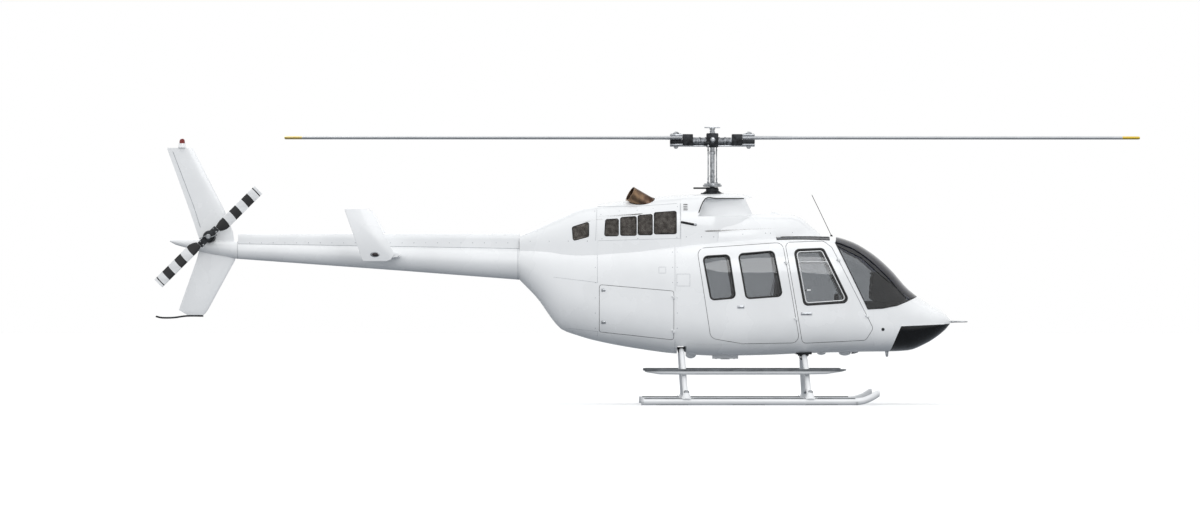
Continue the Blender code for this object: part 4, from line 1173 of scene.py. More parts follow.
@dataclass(frozen=True)
class HullForm:
    """The fuselage's outer form: rounded sections by station.

    The columns are x, bottom, top, half width, height of the widest place, and the exponents of
    the section's upper and lower half.
    """

    stations: Stations = Stations((
        (-1.690, 1.636, 2.100, 0.225, 1.868, 2.0, 2.0),
        (-1.450, 1.385, 2.104, 0.295, 1.790, 2.3, 2.2),
        (-1.264, 1.121, 2.108, 0.345, 1.700, 2.5, 2.3),
        (-1.145, 0.989, 2.110, 0.375, 1.620, 2.6, 2.4),
        (-0.947, 0.910, 2.115, 0.425, 1.520, 2.8, 2.5),
        (-0.670, 0.831, 2.120, 0.480, 1.450, 3.0, 2.7),
        (-0.103, 0.725, 2.125, 0.565, 1.350, 3.3, 3.0),
        (0.359, 0.666, 2.145, 0.620, 1.280, 3.6, 3.2),
        (0.952, 0.636, 2.180, 0.655, 1.250, 3.8, 3.4),
        (1.500, 0.645, 2.205, 0.660, 1.250, 3.8, 3.4),
        (2.008, 0.666, 2.216, 0.660, 1.250, 3.8, 3.4),
        (2.416, 0.679, 2.212, 0.655, 1.250, 3.6, 3.4),
        (2.667, 0.684, 2.150, 0.640, 1.220, 3.3, 3.3),
        (2.931, 0.690, 2.005, 0.610, 1.160, 3.0, 3.2),
        (3.195, 0.692, 1.781, 0.560, 1.100, 2.7, 3.0),
        (3.432, 0.706, 1.517, 0.490, 1.060, 2.5, 2.8),
        (3.656, 0.790, 1.352, 0.395, 1.060, 2.4, 2.6),
        (3.854, 0.917, 1.243, 0.275, 1.070, 2.3, 2.4),
        (3.960, 1.016, 1.154, 0.150, 1.083, 2.1, 2.2),
        (3.999, 1.070, 1.100, 0.045, 1.085, 2.0, 2.0)))
    points: int = 96
    pitch: float = 0.07
    wall: float = 0.030
    inner_nose_x: float = 3.900

    def section(self, x: float) -> tuple[float, ...]:
        """Bottom, top, half width, widest height and the two exponents at a station."""
        return tuple(self.stations.value(x, column) for column in range(1, 7))

    def ring(self, x: float, inset: float) -> list[Point]:
        """The section at a station, its points evenly spaced.

        Args:
            x: The station.
            inset: How far the section is moved inwards.

        Returns:
            Its points, round from the keel.
        """
        bottom, top, half, middle, n_top, n_bottom = self.section(x)
        dense: list[Flat] = []
        for k in range(121):
            angle = math.pi * (k / 120 - 0.5)
            exponent = 2.0 / (n_top if angle >= 0 else n_bottom)
            height = top - middle if angle >= 0 else middle - bottom
            dense.append((max(half - inset, 0.003) * power(math.cos(angle), exponent),
                          middle + max(height - inset, 0.003) * power(math.sin(angle), exponent)))
        port = even_steps(dense, self.points // 2)
        return [(x, y, z) for y, z in port] + [(x, -y, z) for y, z in reversed(port[1:-1])]

    def solid(self, low: float, high: float, inset: float = 0.0) -> Object:
        """A solid of the form between two stations.

        Args:
            low: The rear station.
            high: The front station.
            inset: How far the form is moved inwards.

        Returns:
            The new piece.
        """
        return loft([self.ring(x, inset) for x in self.stations.places(self.pitch, low, high)])

    def skin(self, low: float, high: float) -> Object:
        """The painted skin between two stations, trimmed inside, with open ends.

        Args:
            low: The rear station.
            high: The front station.

        Returns:
            The new piece.
        """
        outer = self.solid(low, high)
        outer.data.materials.append(WHITE_PAINT.material())
        inner = self.solid(low - 0.05, min(high + 0.05, self.inner_nose_x), self.wall)
        inner.data.materials.append(TRIM_PANEL.material())
        return carve(outer, Cut.OUT, inner)

    def beside(self, x: float, z: float, side: Side = Side.RIGHT, lift: float = 0.0) -> Point:
        """The point of the form's side at a station and height.

        Args:
            x: The station.
            z: The height.
            side: The side of the machine.
            lift: How far the point stands off the form.

        Returns:
            The point.
        """
        bottom, top, half, middle, n_top, n_bottom = self.section(x)
        exponent = n_top if z >= middle else n_bottom
        reach = top + lift - middle if z >= middle else middle - bottom + lift
        ratio = min(1.0, abs(z - middle) / reach)
        return x, side.value * (half + lift) * (1 - ratio ** exponent) ** (1 / exponent), z

    def above(self, x: float, y: float, lift: float = 0.0) -> Point:
        """The point of the form's top at a station and distance from the middle.

        Args:
            x: The station.
            y: The distance from the middle plane.
            lift: How far the point stands off the form.

        Returns:
            The point.
        """
        _, top, half, middle, n_top, _ = self.section(x)
        ratio = min(1.0, abs(y) / (half + lift))
        return x, y, middle + (top + lift - middle) * (1 - ratio ** n_top) ** (1 / n_top)

    def below(self, x: float, y: float, lift: float = 0.0) -> Point:
        """The point of the form's underside at a station and distance from the middle.

        Args:
            x: The station.
            y: The distance from the middle plane.
            lift: How far the point stands off the form.

        Returns:
            The point.
        """
        bottom, _, half, middle, _, n_bottom = self.section(x)
        ratio = min(1.0, abs(y) / (half + lift))
        return x, y, middle - (middle - bottom + lift) * (1 - ratio ** n_bottom) ** (1 / n_bottom)

    def outward(self, x: float, z: float, side: Side) -> Point:
        """The outward direction of the form's side at a station and height.

        Args:
            x: The station.
            z: The height.
            side: The side of the machine.

        Returns:
            A unit direction.
        """
        ahead = Vector(self.beside(x + 0.01, z, side)) - Vector(self.beside(x - 0.01, z, side))
        up = Vector(self.beside(x, z + 0.01, side)) - Vector(self.beside(x, z - 0.01, side))
        normal = ahead.cross(up).normalized()
        return tuple(normal * math.copysign(1.0, normal.y * side.value))

    def ribbon(self, outline: Outline, side: Side, lift: float, pitch: float = 0.05,
               closed: bool = True) -> list[Point]:
        """A side-view outline laid on the form's side.

        Args:
            outline: The outline.
            side: The side of the machine.
            lift: How far it stands off the form.
            pitch: The greatest spacing of its points.
            closed: Whether it runs back to its start.

        Returns:
            The points of the path.
        """
        return [self.beside(x, z, side, lift) for x, z in stepped(outline, pitch, closed)]


@dataclass(frozen=True)
class CowlForm:
    """An arched cowl: columns x, top, half width and exponent, with upright feet."""

    stations: Stations
    base_z: float = 1.960
    shoulder_z: float = 2.080
    points: int = 44
    pitch: float = 0.05

    def ring(self, x: float, inset: float, base_z: float) -> list[Point]:
        """The arch at a station, its points evenly spaced.

        Args:
            x: The station.
            inset: How far it is moved inwards.
            base_z: Height of its feet.

        Returns:
            Its points.
        """
        top, half, exponent = (self.stations.value(x, column) for column in (1, 2, 3))
        dense = [((half - inset) * power(math.cos(math.pi * k / 120), 2 / exponent),
                  self.shoulder_z + (top - inset - self.shoulder_z)
                  * power(math.sin(math.pi * k / 120), 2 / exponent)) for k in range(121)]
        arch = [(x, y, z) for y, z in even_steps(dense, self.points)]
        return [(x, half - inset, base_z), *arch, (x, inset - half, base_z)]

    def solid(self, inset: float = 0.0, reach: float = 0.0, base_z: float | None = None) -> Object:
        """A solid of the cowl.

        Args:
            inset: How far it is moved inwards.
            reach: How far its ends are drawn out.
            base_z: Height of its feet, the form's own if None.

        Returns:
            The new piece.
        """
        low, high = self.stations.rows[0][0], self.stations.rows[-1][0]
        foot = self.base_z if base_z is None else base_z
        rings = [self.ring(x, inset, foot) for x in self.stations.places(self.pitch, low, high)]
        if reach:
            rings[0] = [(x - reach, y, z) for x, y, z in rings[0]]
            rings[-1] = [(x + reach, y, z) for x, y, z in rings[-1]]
        return loft(rings)

    def beside(self, x: float, z: float, side: Side = Side.RIGHT, lift: float = 0.0) -> Point:
        """The point of the cowl's side at a station and height.

        Args:
            x: The station.
            z: The height.
            side: The side of the machine.
            lift: How far the point stands off.

        Returns:
            The point.
        """
        top, half, exponent = (self.stations.value(x, column) for column in (1, 2, 3))
        ratio = min(1.0, max(0.0, (z - self.shoulder_z) / (top + lift - self.shoulder_z)))
        return x, side.value * (half + lift) * (1 - ratio ** exponent) ** (1 / exponent), z

    def above(self, x: float, y: float, lift: float = 0.0) -> Point:
        """The point of the cowl's top at a station and distance from the middle.

        Args:
            x: The station.
            y: The distance from the middle plane.
            lift: How far the point stands off.

        Returns:
            The point.
        """
        top, half, exponent = (self.stations.value(x, column) for column in (1, 2, 3))
        ratio = min(1.0, abs(y) / (half + lift))
        return x, y, (self.shoulder_z + (top + lift - self.shoulder_z)
                      * (1 - ratio ** exponent) ** (1 / exponent))


HULL = HullForm()


# Fuselage shells, doors and glass


@dataclass(frozen=True)
class Openings:
    """The cabin's openings as side-view outlines, with the radii of their corners."""

    front_door: Outline = ((2.021, 0.805), (2.850, 0.845), (2.944, 1.000), (2.403, 2.062),
                           (2.298, 2.143), (1.796, 2.124))
    front_door_radius: float = 0.060
    front_window: Outline = ((2.045, 1.305), (2.630, 1.345), (2.290, 2.042), (1.914, 2.026))
    rear_door: Outline = ((0.820, 0.871), (1.229, 0.800), (1.981, 0.811), (1.757, 2.124),
                          (0.640, 2.046))
    rear_door_radius: float = 0.090
    rear_window_aft: Outline = ((0.820, 1.372), (1.140, 1.400), (1.056, 1.960), (0.715, 1.940))
    rear_window_fore: Outline = ((1.282, 1.390), (1.752, 1.424), (1.640, 2.010), (1.180, 1.972))
    window_radius: float = 0.055
    baggage_door: Outline = ((-0.640, 0.955), (0.330, 0.850), (0.330, 1.485), (-0.640, 1.570))
    baggage_door_radius: float = 0.030
    windshield: Outline = ((2.456, 2.124), (2.878, 1.253), (3.063, 1.262), (3.261, 1.299),
                           (3.393, 1.352), (3.530, 1.415), (3.800, 1.700), (3.200, 2.500),
                           (2.520, 2.400))
    sunshade: Outline = ((2.300, 2.095), (2.487, 2.079), (2.802, 1.922), (3.169, 1.594),
                         (3.560, 1.300), (4.200, 1.300), (4.200, 2.600), (2.300, 2.600))
    chin: Outline = ((3.142, 0.600), (3.313, 1.030), (3.940, 1.056), (4.100, 1.056),
                     (4.100, 0.600))
    skylight: Outline = ((1.690, 2.400), (1.690, 2.000), (2.380, 2.000), (2.380, 2.400))
    skylight_near: float = 0.300
    skylight_far: float = 0.420
    door_gap: float = 0.006
    door_reach: float = 0.200
    centre_post: float = 0.022
    chin_post: float = 0.075
    sill_z: float = 0.790
    aft_seam_x: float = 0.360
    nose_seam_x: float = 2.950


OPENINGS = Openings()


@dataclass
class FuselageShells:
    """The fixed shells: cabin frame, belly, nose and aft fuselage."""

    openings: Openings
    tail_x: float = -1.690
    nose_x: float = 3.999
    aft_bays: tuple[Flat, ...] = ((0.700, 0.925), (0.950, 1.580), (1.605, 2.060))
    bay_aft_x: float = -1.450
    tube_notch: Point = (0.378, 0.500, 0.762)
    hook_plate: tuple[Point, Point] = ((1.020, 0.0, 0.6235), (0.340, 0.240, 0.053))

    def door_tools(self) -> list[Object]:
        """The cabin door openings of both sides, as carving tools.

        Returns:
            One tool for the front openings and one for the rear ones.
        """
        o = self.openings
        tools = []
        for outline, radius in ((o.front_door, o.front_door_radius),
                                (o.rear_door, o.rear_door_radius)):
            opening = rounded(grown(outline, o.door_gap), radius + o.door_gap)
            tools.append(both_prisms([opening], o.door_reach, 1.0))
        return tools

    def build_cabin(self) -> None:
        """The cabin frame over the sills, and the belly pan under them."""
        o = self.openings
        skin = HULL.skin(o.aft_seam_x + SEAT_GAP, o.nose_seam_x)
        belly = copied(skin)
        carve(skin, Cut.KEEP, block((1.5, 0.0, 2.0), (5.0, 2.0, 2 * (2.0 - o.sill_z - SEAT_GAP)),
                                    0.0))
        carve(skin, Cut.OUT, *self.door_tools())
        carve(skin, Cut.OUT, both_prisms([o.windshield], o.centre_post, 1.0))
        carve(skin, Cut.OUT, both_prisms([o.skylight], o.skylight_near, o.skylight_far))
        hand_over(skin, "cabin_frame_shell", None, stands_for=["cabin_frame"])
        carve(belly, Cut.KEEP, block((1.5, 0.0, 0.0), (5.0, 2.0, 2 * o.sill_z), 0.0))
        x0, x1, top = self.tube_notch
        carve(belly, Cut.OUT, block(((x0 + x1) / 2, 0.0, 0.0), (x1 - x0, 2.0, 2 * top), 0.0))
        hand_over(belly, "cabin_belly_pan", None, stands_for=["cabin_belly"])
        plate = block(*self.hook_plate, 0.004)
        hand_over(plate, "cargo_hook_plate", GEAR_PAINT)

    def build_nose(self) -> None:
        """The nose with its windscreen and chin openings."""
        o = self.openings
        nose = HULL.skin(o.nose_seam_x + SEAT_GAP, self.nose_x)
        carve(nose, Cut.OUT, both_prisms([o.windshield], o.centre_post, 1.0))
        carve(nose, Cut.OUT, both_prisms([o.chin], o.chin_post, 1.0))
        hand_over(nose, "nose_shell_panel", None, stands_for=["nose_shell"])

    def build_aft(self) -> None:
        """The aft fuselage with its decks and the baggage bay."""
        o = self.openings
        aft = HULL.solid(self.tail_x, o.aft_seam_x)
        aft.data.materials.append(WHITE_PAINT.material())
        for low, high in self.aft_bays:
            bay = HULL.solid(self.bay_aft_x, o.aft_seam_x + 0.05, HULL.wall)
            bay.data.materials.append(TRIM_PANEL.material())
            carve(bay, Cut.KEEP, block((-0.5, 0.0, (low + high) / 2), (3.0, 2.0, high - low), 0.0))
            carve(aft, Cut.OUT, bay)
        opening = rounded(grown(o.baggage_door, o.door_gap), o.baggage_door_radius + o.door_gap)
        carve(aft, Cut.OUT, prism(opening, -1.0, -o.door_reach))
        hand_over(aft, "aft_fuselage_shell", None, stands_for=["aft_fuselage"])

    def build(self) -> None:
        """Build every fixed shell."""
        self.build_cabin()
        self.build_nose()
        self.build_aft()


@dataclass(frozen=True)
class DoorHinge:
    """A pair of hinges on one starboard axis: x, z and stand-off of each, upper then lower."""

    places: tuple[Point, Point]
    door_reach: float
    frame_reach: float
    radius: float = 0.010
    length: float = 0.036

    def point(self, index: int) -> Vector:
        """The starboard axis point of one hinge."""
        x, z, stand_off = self.places[index]
        return Vector(HULL.beside(x, z)) - Vector((0.0, stand_off, 0.0))

    def half(self, index: int, on_door: bool) -> Object:
        """One leaf with its knuckle and arm, on the door or on the frame.

        Args:
            index: Which hinge, nought for the upper one.
            on_door: Whether it is the door's leaf.

        Returns:
            The starboard leaf.
        """
        axis = (self.point(0) - self.point(1)).normalized()
        point = self.point(index)
        step = 0.00015 if on_door else -0.00015
        tip = step + math.copysign(self.length / 2, step)
        knuckle = bar(point + axis * step, point + axis * tip, self.radius, sides=20, edge=0.001)
        reach = -self.door_reach if on_door else self.frame_reach
        x, z, stand_off = self.places[index]
        middle = (step + tip) / 2
        root = point + Vector((reach, stand_off + 0.008, 0.0))
        foot = root - point
        foot -= axis * foot.dot(axis)
        side = foot.normalized()
        turn = Matrix((side, axis.cross(side), axis)).transposed().to_euler()
        arm = block((0.0, 0.0, 0.0), (foot.length, self.radius * 1.1, self.length / 2 - 0.001),
                    0.0015)
        arm.rotation_euler = turn
        arm.location = point + axis * middle + side * foot.length / 2
        return joined([knuckle, settle(arm)])

    def build(self, name: str, door: str, sides: Sequence[Side]) -> None:
        """Make the leaves and hang them on the door and on the airframe.

        Args:
            name: The hinge's name.
            door: The door's body without its side's word.
            sides: The sides that get it.
        """
        for on_door, part in ((True, "door_leaf"), (False, "frame_leaf")):
            leaf = joined([self.half(0, on_door), self.half(1, on_door)])
            for side in sides:
                body = f"{door}_{side.word}" if len(sides) > 1 else door
                piece = leaf if side is Side.RIGHT else twin(leaf)
                hand_over(piece, f"{name}_{part}_{side.word}", GEAR_PAINT,
                          body if on_door else AIRFRAME)


@dataclass
class CabinDoors:
    """Crew, passenger and baggage doors with hinges, handles, windows and their seals."""

    openings: Openings
    front_hinge: DoorHinge = DoorHinge(((2.489, 1.899, 0.040), (2.865, 1.161, 0.020)),
                                       0.030, 0.030)
    rear_hinge: DoorHinge = DoorHinge(((1.805, 1.860, 0.036), (1.931, 1.121, 0.020)),
                                      0.030, 0.016)
    baggage_hinge: DoorHinge = DoorHinge(((0.333, 1.405, 0.022), (0.333, 0.960, 0.040)),
                                         0.030, 0.014)
    glass_depth: float = 0.008
    glass: float = 0.009
    seal_radius: float = 0.0125
    thick_seal: float = 0.0155
    frame_inset: float = 0.026
    slide_z: float = 1.869

    def panel(self, outline: Outline, radius: float, windows: Sequence[Outline],
              low: float, high: float) -> Object:
        """A starboard door panel cut from the skin.

        Args:
            outline: The door's outline.
            radius: Radius of its corners.
            windows: Its window outlines.
            low: Rear end of the skin it is cut from.
            high: Front end.

        Returns:
            The panel.
        """
        o = self.openings
        door = carve(HULL.skin(low, high), Cut.KEEP,
                     prism(rounded(outline, radius), -1.0, -o.door_reach))
        for window in windows:
            carve(door, Cut.OUT, prism(rounded(window, o.window_radius), -1.0, 0.0))
        return door

    def pane(self, outline: Outline) -> Object:
        """A starboard door pane, set back from the skin.

        Args:
            outline: Its outline.

        Returns:
            The pane.
        """
        xs = [x for x, _ in outline]
        sheet = HULL.solid(min(xs) - 0.1, max(xs) + 0.1, self.glass_depth)
        carve(sheet, Cut.OUT, HULL.solid(min(xs) - 0.15, max(xs) + 0.15,
                                         self.glass_depth + self.glass))
        return carve(sheet, Cut.KEEP, prism(rounded(grown(outline, -0.0006),
                                                    self.openings.window_radius),
                                            -1.0, -self.openings.door_reach))

    def seal(self, outline: Outline, radius: float, lift: float) -> Object:
        """A starboard rubber seal round a window.

        Args:
            outline: The window's outline.
            radius: Half its thickness.
            lift: How far its middle stands off the skin.

        Returns:
            The seal.
        """
        edge = rounded(outline, self.openings.window_radius)
        return swept([HULL.ribbon(edge, Side.RIGHT, lift)], radius, 10, closed=True)

    def both(self, piece: Object, name: str, finish: Finish | None, body: str,
             stands_for: str = "") -> None:
        """Hang a starboard piece and its port twin on their doors.

        Args:
            piece: The starboard piece.
            name: Its name without its side's word.
            finish: Its finish.
            body: The door's body without its side's word.
            stands_for: The CAD node that it stands for, without its side's word.
        """
        other = twin(piece)
        for item, side in ((piece, Side.RIGHT), (other, Side.LEFT)):
            nodes = [f"{stands_for}_{side.word}"] if stands_for else []
            hand_over(item, f"{name}_{side.word}", finish, f"{body}_{side.word}", nodes)

    def build_front(self) -> None:
        """The crew doors with their sliding windows and handles."""
        o = self.openings
        door = self.panel(o.front_door, o.front_door_radius, [o.front_window], 1.70, 3.02)
        self.both(door, "front_door_panel", None, "front_door", "front_door")
        self.both(self.pane(o.front_window), "front_door_pane", CLEAR_ACRYLIC, "front_door",
                  "front_door_glass")
        self.both(self.seal(o.front_window, self.thick_seal, -0.006), "front_window_seal",
                  SEAL_RUBBER, "front_door")
        inner = rounded(grown(o.front_window, -self.frame_inset), 0.040)
        rim = swept([HULL.ribbon(inner, Side.RIGHT, -0.006)], 0.0065, 8, closed=True)
        rail = swept([HULL.ribbon([(1.965, self.slide_z), (2.350, self.slide_z)], Side.RIGHT,
                                  -0.006, closed=False)], 0.006, 8)
        knob = block(HULL.beside(2.10, 1.50, lift=-0.003), (0.050, 0.012, 0.018), 0.003)
        self.both(joined([rim, rail, knob]), "front_window_slide_frame", GEAR_PAINT, "front_door")
        self.both(self.lever((2.069, 1.190), 0.130), "front_door_handle", BARE_ALUMINIUM,
                  "front_door")
        self.front_hinge.build("front_door_hinge", "front_door", list(Side))

    def build_rear(self) -> None:
        """The passenger doors with their two windows and a T-handle."""
        o = self.openings
        windows = (o.rear_window_aft, o.rear_window_fore)
        door = self.panel(o.rear_door, o.rear_door_radius, windows, 0.50, 2.10)
        self.both(door, "rear_door_panel", None, "rear_door", "rear_door")
        for outline, word in zip(windows, ("aft", "fore")):
            self.both(self.pane(outline), f"rear_pane_{word}", CLEAR_ACRYLIC, "rear_door",
                      f"rear_glass_{word}")
            self.both(self.seal(outline, self.seal_radius, -0.005), f"rear_window_seal_{word}",
                      SEAL_RUBBER, "rear_door")
        self.both(self.lever((1.210, 1.279), 0.075), "rear_door_handle", BARE_ALUMINIUM,
                  "rear_door")
        self.rear_hinge.build("rear_door_hinge", "rear_door", list(Side))

    def lever(self, place: Flat, length: float) -> Object:
        """A starboard flush handle: a recessed cup, a paddle and its pivot.

        Args:
            place: Its middle in the side view.
            length: Its length.

        Returns:
            The handle.
        """
        x, z = place
        cup = block(HULL.beside(x, z, lift=-0.0005), (length + 0.018, 0.006, 0.040), 0.0025)
        paddle = block(HULL.beside(x, z, lift=0.006), (length, 0.009, 0.024), 0.004, (0, 2, 0))
        pivot = bar(HULL.beside(x + length * 0.36, z, lift=-0.002),
                    HULL.beside(x + length * 0.36, z, lift=0.014), 0.010, 0.008, 20, 0.002)
        return joined([cup, paddle, pivot])

    def build_baggage(self) -> None:
        """The baggage door with its hinges and two latches."""
        o = self.openings
        door = self.panel(o.baggage_door, o.baggage_door_radius, (), -0.75, 0.3590)
        hand_over(door, "baggage_door_panel", None, "baggage_door", ["baggage_door"])
        self.baggage_hinge.build("baggage_door_hinge", "baggage_door", [Side.RIGHT])
        latches = [self.lever((-0.585, z), 0.045) for z in (1.500, 1.080)]
        hand_over(joined(latches), "baggage_door_latches", BARE_ALUMINIUM, "baggage_door")

    def build(self) -> None:
        """Build every door."""
        self.build_front()
        self.build_rear()
        self.build_baggage()


@dataclass
class Glazing:
    """Windscreens with their sunshade band, chin windows, skylights and edge strips."""

    openings: Openings
    glass: float = 0.009
    gap: float = 0.0006

    def sheet(self, low: float, high: float) -> Object:
        """A sheet of the hull form, as thick as the glass.

        Args:
            low: Its rear end.
            high: Its front end.

        Returns:
            The sheet.
        """
        outer = HULL.solid(low, high)
        return carve(outer, Cut.OUT, HULL.solid(low - 0.05, min(high + 0.05, 3.98), self.glass))

    def pair(self, piece: Object, name: str, finish: Finish, node: str = "") -> None:
        """Hang a starboard piece and its twin on the airframe.

        Args:
            piece: The starboard piece.
            name: Its name without its side's word.
            finish: Its finish.
            node: The CAD node that it stands for, without its side's word.
        """
        other = twin(piece)
        for item, side in ((piece, Side.RIGHT), (other, Side.LEFT)):
            hand_over(item, f"{name}_{side.word}", finish,
                      stands_for=[f"{node}_{side.word}"] if node else [])

    def build(self) -> None:
        """Build the fixed panes."""
        o = self.openings
        pane = carve(self.sheet(2.30, 3.70), Cut.KEEP,
                     prism(grown(o.windshield, -self.gap), -1.0, -o.centre_post - self.gap))
        band = carve(copied(pane), Cut.KEEP, prism(o.sunshade, -1.0, 0.0))
        clear = carve(pane, Cut.OUT, prism(o.sunshade, -1.0, 0.0))
        self.pair(clear, "windscreen_side_pane", CLEAR_ACRYLIC, "windscreen")
        self.pair(band, "windscreen_sunshade", TINTED_ACRYLIC, "windscreen")
        chin = carve(self.sheet(3.00, 3.980), Cut.KEEP,
                     prism(grown(o.chin, -self.gap), -1.0, -o.chin_post - self.gap))
        self.pair(chin, "chin_pane", SMOKED_ACRYLIC, "chin_window")
        roof = carve(self.sheet(1.55, 2.50), Cut.KEEP,
                     prism(grown(o.skylight, -self.gap), -o.skylight_far + self.gap,
                           -o.skylight_near - self.gap))
        self.pair(roof, "skylight_pane", TINTED_ACRYLIC, "skylight")
        self.build_strips()

    def build_strips(self) -> None:
        """Bonded edge strips round the screens, the chin windows and the skylights."""
        o = self.openings
        screen = HULL.ribbon(o.windshield[:6], Side.RIGHT, 0.001, 0.04, closed=False)
        shade = HULL.ribbon([p for p in o.sunshade[1:4]], Side.RIGHT, 0.001, 0.04, closed=False)
        self.pair(swept([eased(screen, 2), eased(shade, 3)], 0.007, 8), "windscreen_edge_strip",
                  SEAL_RUBBER)
        front = HULL.ribbon([(3.180, 0.730), (3.313, 1.030), (3.900, 1.055)], Side.RIGHT, 0.0,
                            0.04, closed=False)
        self.pair(swept([front], 0.006, 8), "chin_edge_strip", GEAR_PAINT)
        near, far = o.skylight_near, o.skylight_far
        corners = [(1.69, -near), (2.38, -near), (2.38, -far), (1.69, -far)]
        roof = [HULL.above(x, y, 0.001) for x, y in stepped(corners, 0.04, True)]
        self.pair(swept([roof], 0.006, 8, closed=True), "skylight_seal", SEAL_RUBBER)


# Cowls over the engine and the gearbox


@dataclass
class UpperCowls:
    """Aft fairing, engine cowl, intake head and forward fairing, with grilles and stacks."""

    aft: CowlForm = CowlForm(Stations((
        (-1.6900, 2.236, 0.170, 2.6), (-1.4220, 2.361, 0.235, 2.6), (-1.1580, 2.486, 0.300, 2.7),
        (-0.8940, 2.598, 0.360, 2.8), (-0.6635, 2.643, 0.395, 2.9))))
    engine: CowlForm = CowlForm(Stations((
        (-0.6630, 2.643, 0.395, 2.9), (-0.2740, 2.684, 0.425, 3.0), (0.1610, 2.737, 0.440, 3.1),
        (0.4245, 2.757, 0.440, 3.2))))
    head: CowlForm = CowlForm(Stations((
        (0.4250, 2.757, 0.440, 3.2), (0.7000, 2.768, 0.437, 3.2), (0.8850, 2.777, 0.430, 3.1),
        (0.9600, 2.779, 0.400, 3.1), (1.2160, 2.770, 0.340, 3.0), (1.3720, 2.735, 0.230, 2.8))))
    fairing: CowlForm = CowlForm(Stations((
        (0.9130, 2.476, 0.430, 3.0), (1.3740, 2.506, 0.375, 2.8), (1.8750, 2.500, 0.285, 2.5),
        (2.0080, 2.462, 0.260, 2.4), (2.1390, 2.361, 0.220, 2.3), (2.2450, 2.269, 0.170, 2.2),
        (2.3000, 2.215, 0.120, 2.2))))
    wall: float = 0.028
    neck_half: float = 0.190
    notch: Outline = ((0.655, 2.470), (0.752, 2.708), (1.600, 2.708), (1.600, 2.470))
    head_front: Outline = ((1.280, 2.700), (1.390, 2.470), (1.700, 2.470), (1.700, 2.724),
                           (1.345, 2.724))
    mouth: Outline = ((0.560, 2.500), (0.760, 2.500), (0.830, 2.620), (0.620, 2.620))
    mouth_near: float = 0.215
    mouth_far: float = 0.330
    grilles: tuple[Outline, ...] = (
        ((-0.575, 2.212), (-0.390, 2.212), (-0.390, 2.440), (-0.560, 2.430)),
        ((-0.365, 2.218), (-0.155, 2.218), (-0.155, 2.472), (-0.365, 2.455)),
        ((-0.135, 2.226), (0.055, 2.226), (0.055, 2.500), (-0.135, 2.482)),
        ((0.078, 2.236), (0.370, 2.240), (0.370, 2.540), (0.078, 2.520)))
    aft_grille: Outline = ((-0.985, 2.150), (-0.780, 2.205), (-0.780, 2.400), (-1.000, 2.330))
    grille_depth: float = 0.014
    grille_radius: float = 0.025
    mesh_pitch: float = 0.014
    stack_base: Point = (0.221, -0.136, 2.511)
    stack_tip: Point = (-0.235, -0.260, 2.770)
    stack_radius: float = 0.100
    stack_wall: float = 0.006
    stack_clearance: float = 0.008

    def seated(self, piece: Object, low: float, high: float) -> Object:
        """Trim a cowl's foot to the fuselage top.

        Args:
            piece: The cowl.
            low: Rear end of the trimming form.
            high: Front end.

        Returns:
            The cowl.
        """
        return carve(piece, Cut.OUT, HULL.solid(low, high, -SEAT_GAP))

    def shell(self, form: CowlForm, grilles: Sequence[Outline]) -> Object:
        """A hollow cowl with grille pockets in both sides.

        Args:
            form: Its form.
            grilles: Outlines of its grilles.

        Returns:
            The cowl.
        """
        cowl = form.solid()
        cowl.data.materials.append(WHITE_PAINT.material())
        inner = form.solid(self.wall, 0.05, form.base_z - 0.1)
        inner.data.materials.append(TRIM_PANEL.material())
        carve(cowl, Cut.OUT, inner)
        # The pocket walls and floors take the painted shade black, standing for the shade inside each
        # grille recess.
        pockets = both_prisms([rounded(g, self.grille_radius, 4) for g in grilles], 0.15, 1.0)
        pockets.data.materials.append(DEEP_SHADE.material())
        core = form.solid(self.grille_depth, 0.05)
        core.data.materials.append(DEEP_SHADE.material())
        carve(pockets, Cut.OUT, core)
        return carve(cowl, Cut.OUT, pockets)

    def mesh_patch(self, form: CowlForm, outline: Outline, side: Side) -> Object:
        """Expanded-metal mesh that fills one grille.

        Args:
            form: The cowl that carries it.
            outline: The grille's outline.
            side: The side of the machine.

        Returns:
            The mesh.
        """
        xs = [x for x, _ in outline]
        zs = [z for _, z in outline]
        across = round((max(xs) - min(xs)) / self.mesh_pitch)
        up = round((max(zs) - min(zs)) / self.mesh_pitch)
        rows = []
        for j in range(up + 1):
            z = min(zs) + (max(zs) - min(zs)) * j / up
            edges = sorted(self.crossings(outline, z))
            low, high = edges[0], edges[-1]
            rows.append([form.beside(low + (high - low) * k / across, z, side, -0.007)
                         for k in range(across + 1)])
        patch = formed(rows, wrap=False)
        wires = patch.modifiers.new("wires", "WIREFRAME")
        wires.thickness = 0.0042
        wires.use_boundary = True
        return apply_modifiers(patch)

    @staticmethod
    def crossings(outline: Outline, z: float) -> list[float]:
        """Where a level line crosses an outline.

        Args:
            outline: The outline.
            z: The level.

        Returns:
            The places along X.
        """
        found = []
        for (x0, z0), (x1, z1) in zip(outline, (*outline[1:], outline[0])):
            if min(z0, z1) <= z <= max(z0, z1) and abs(z1 - z0) > 1e-6:
                found.append(x0 + (x1 - x0) * (z - z0) / (z1 - z0))
        return found or [x for x, _ in outline]

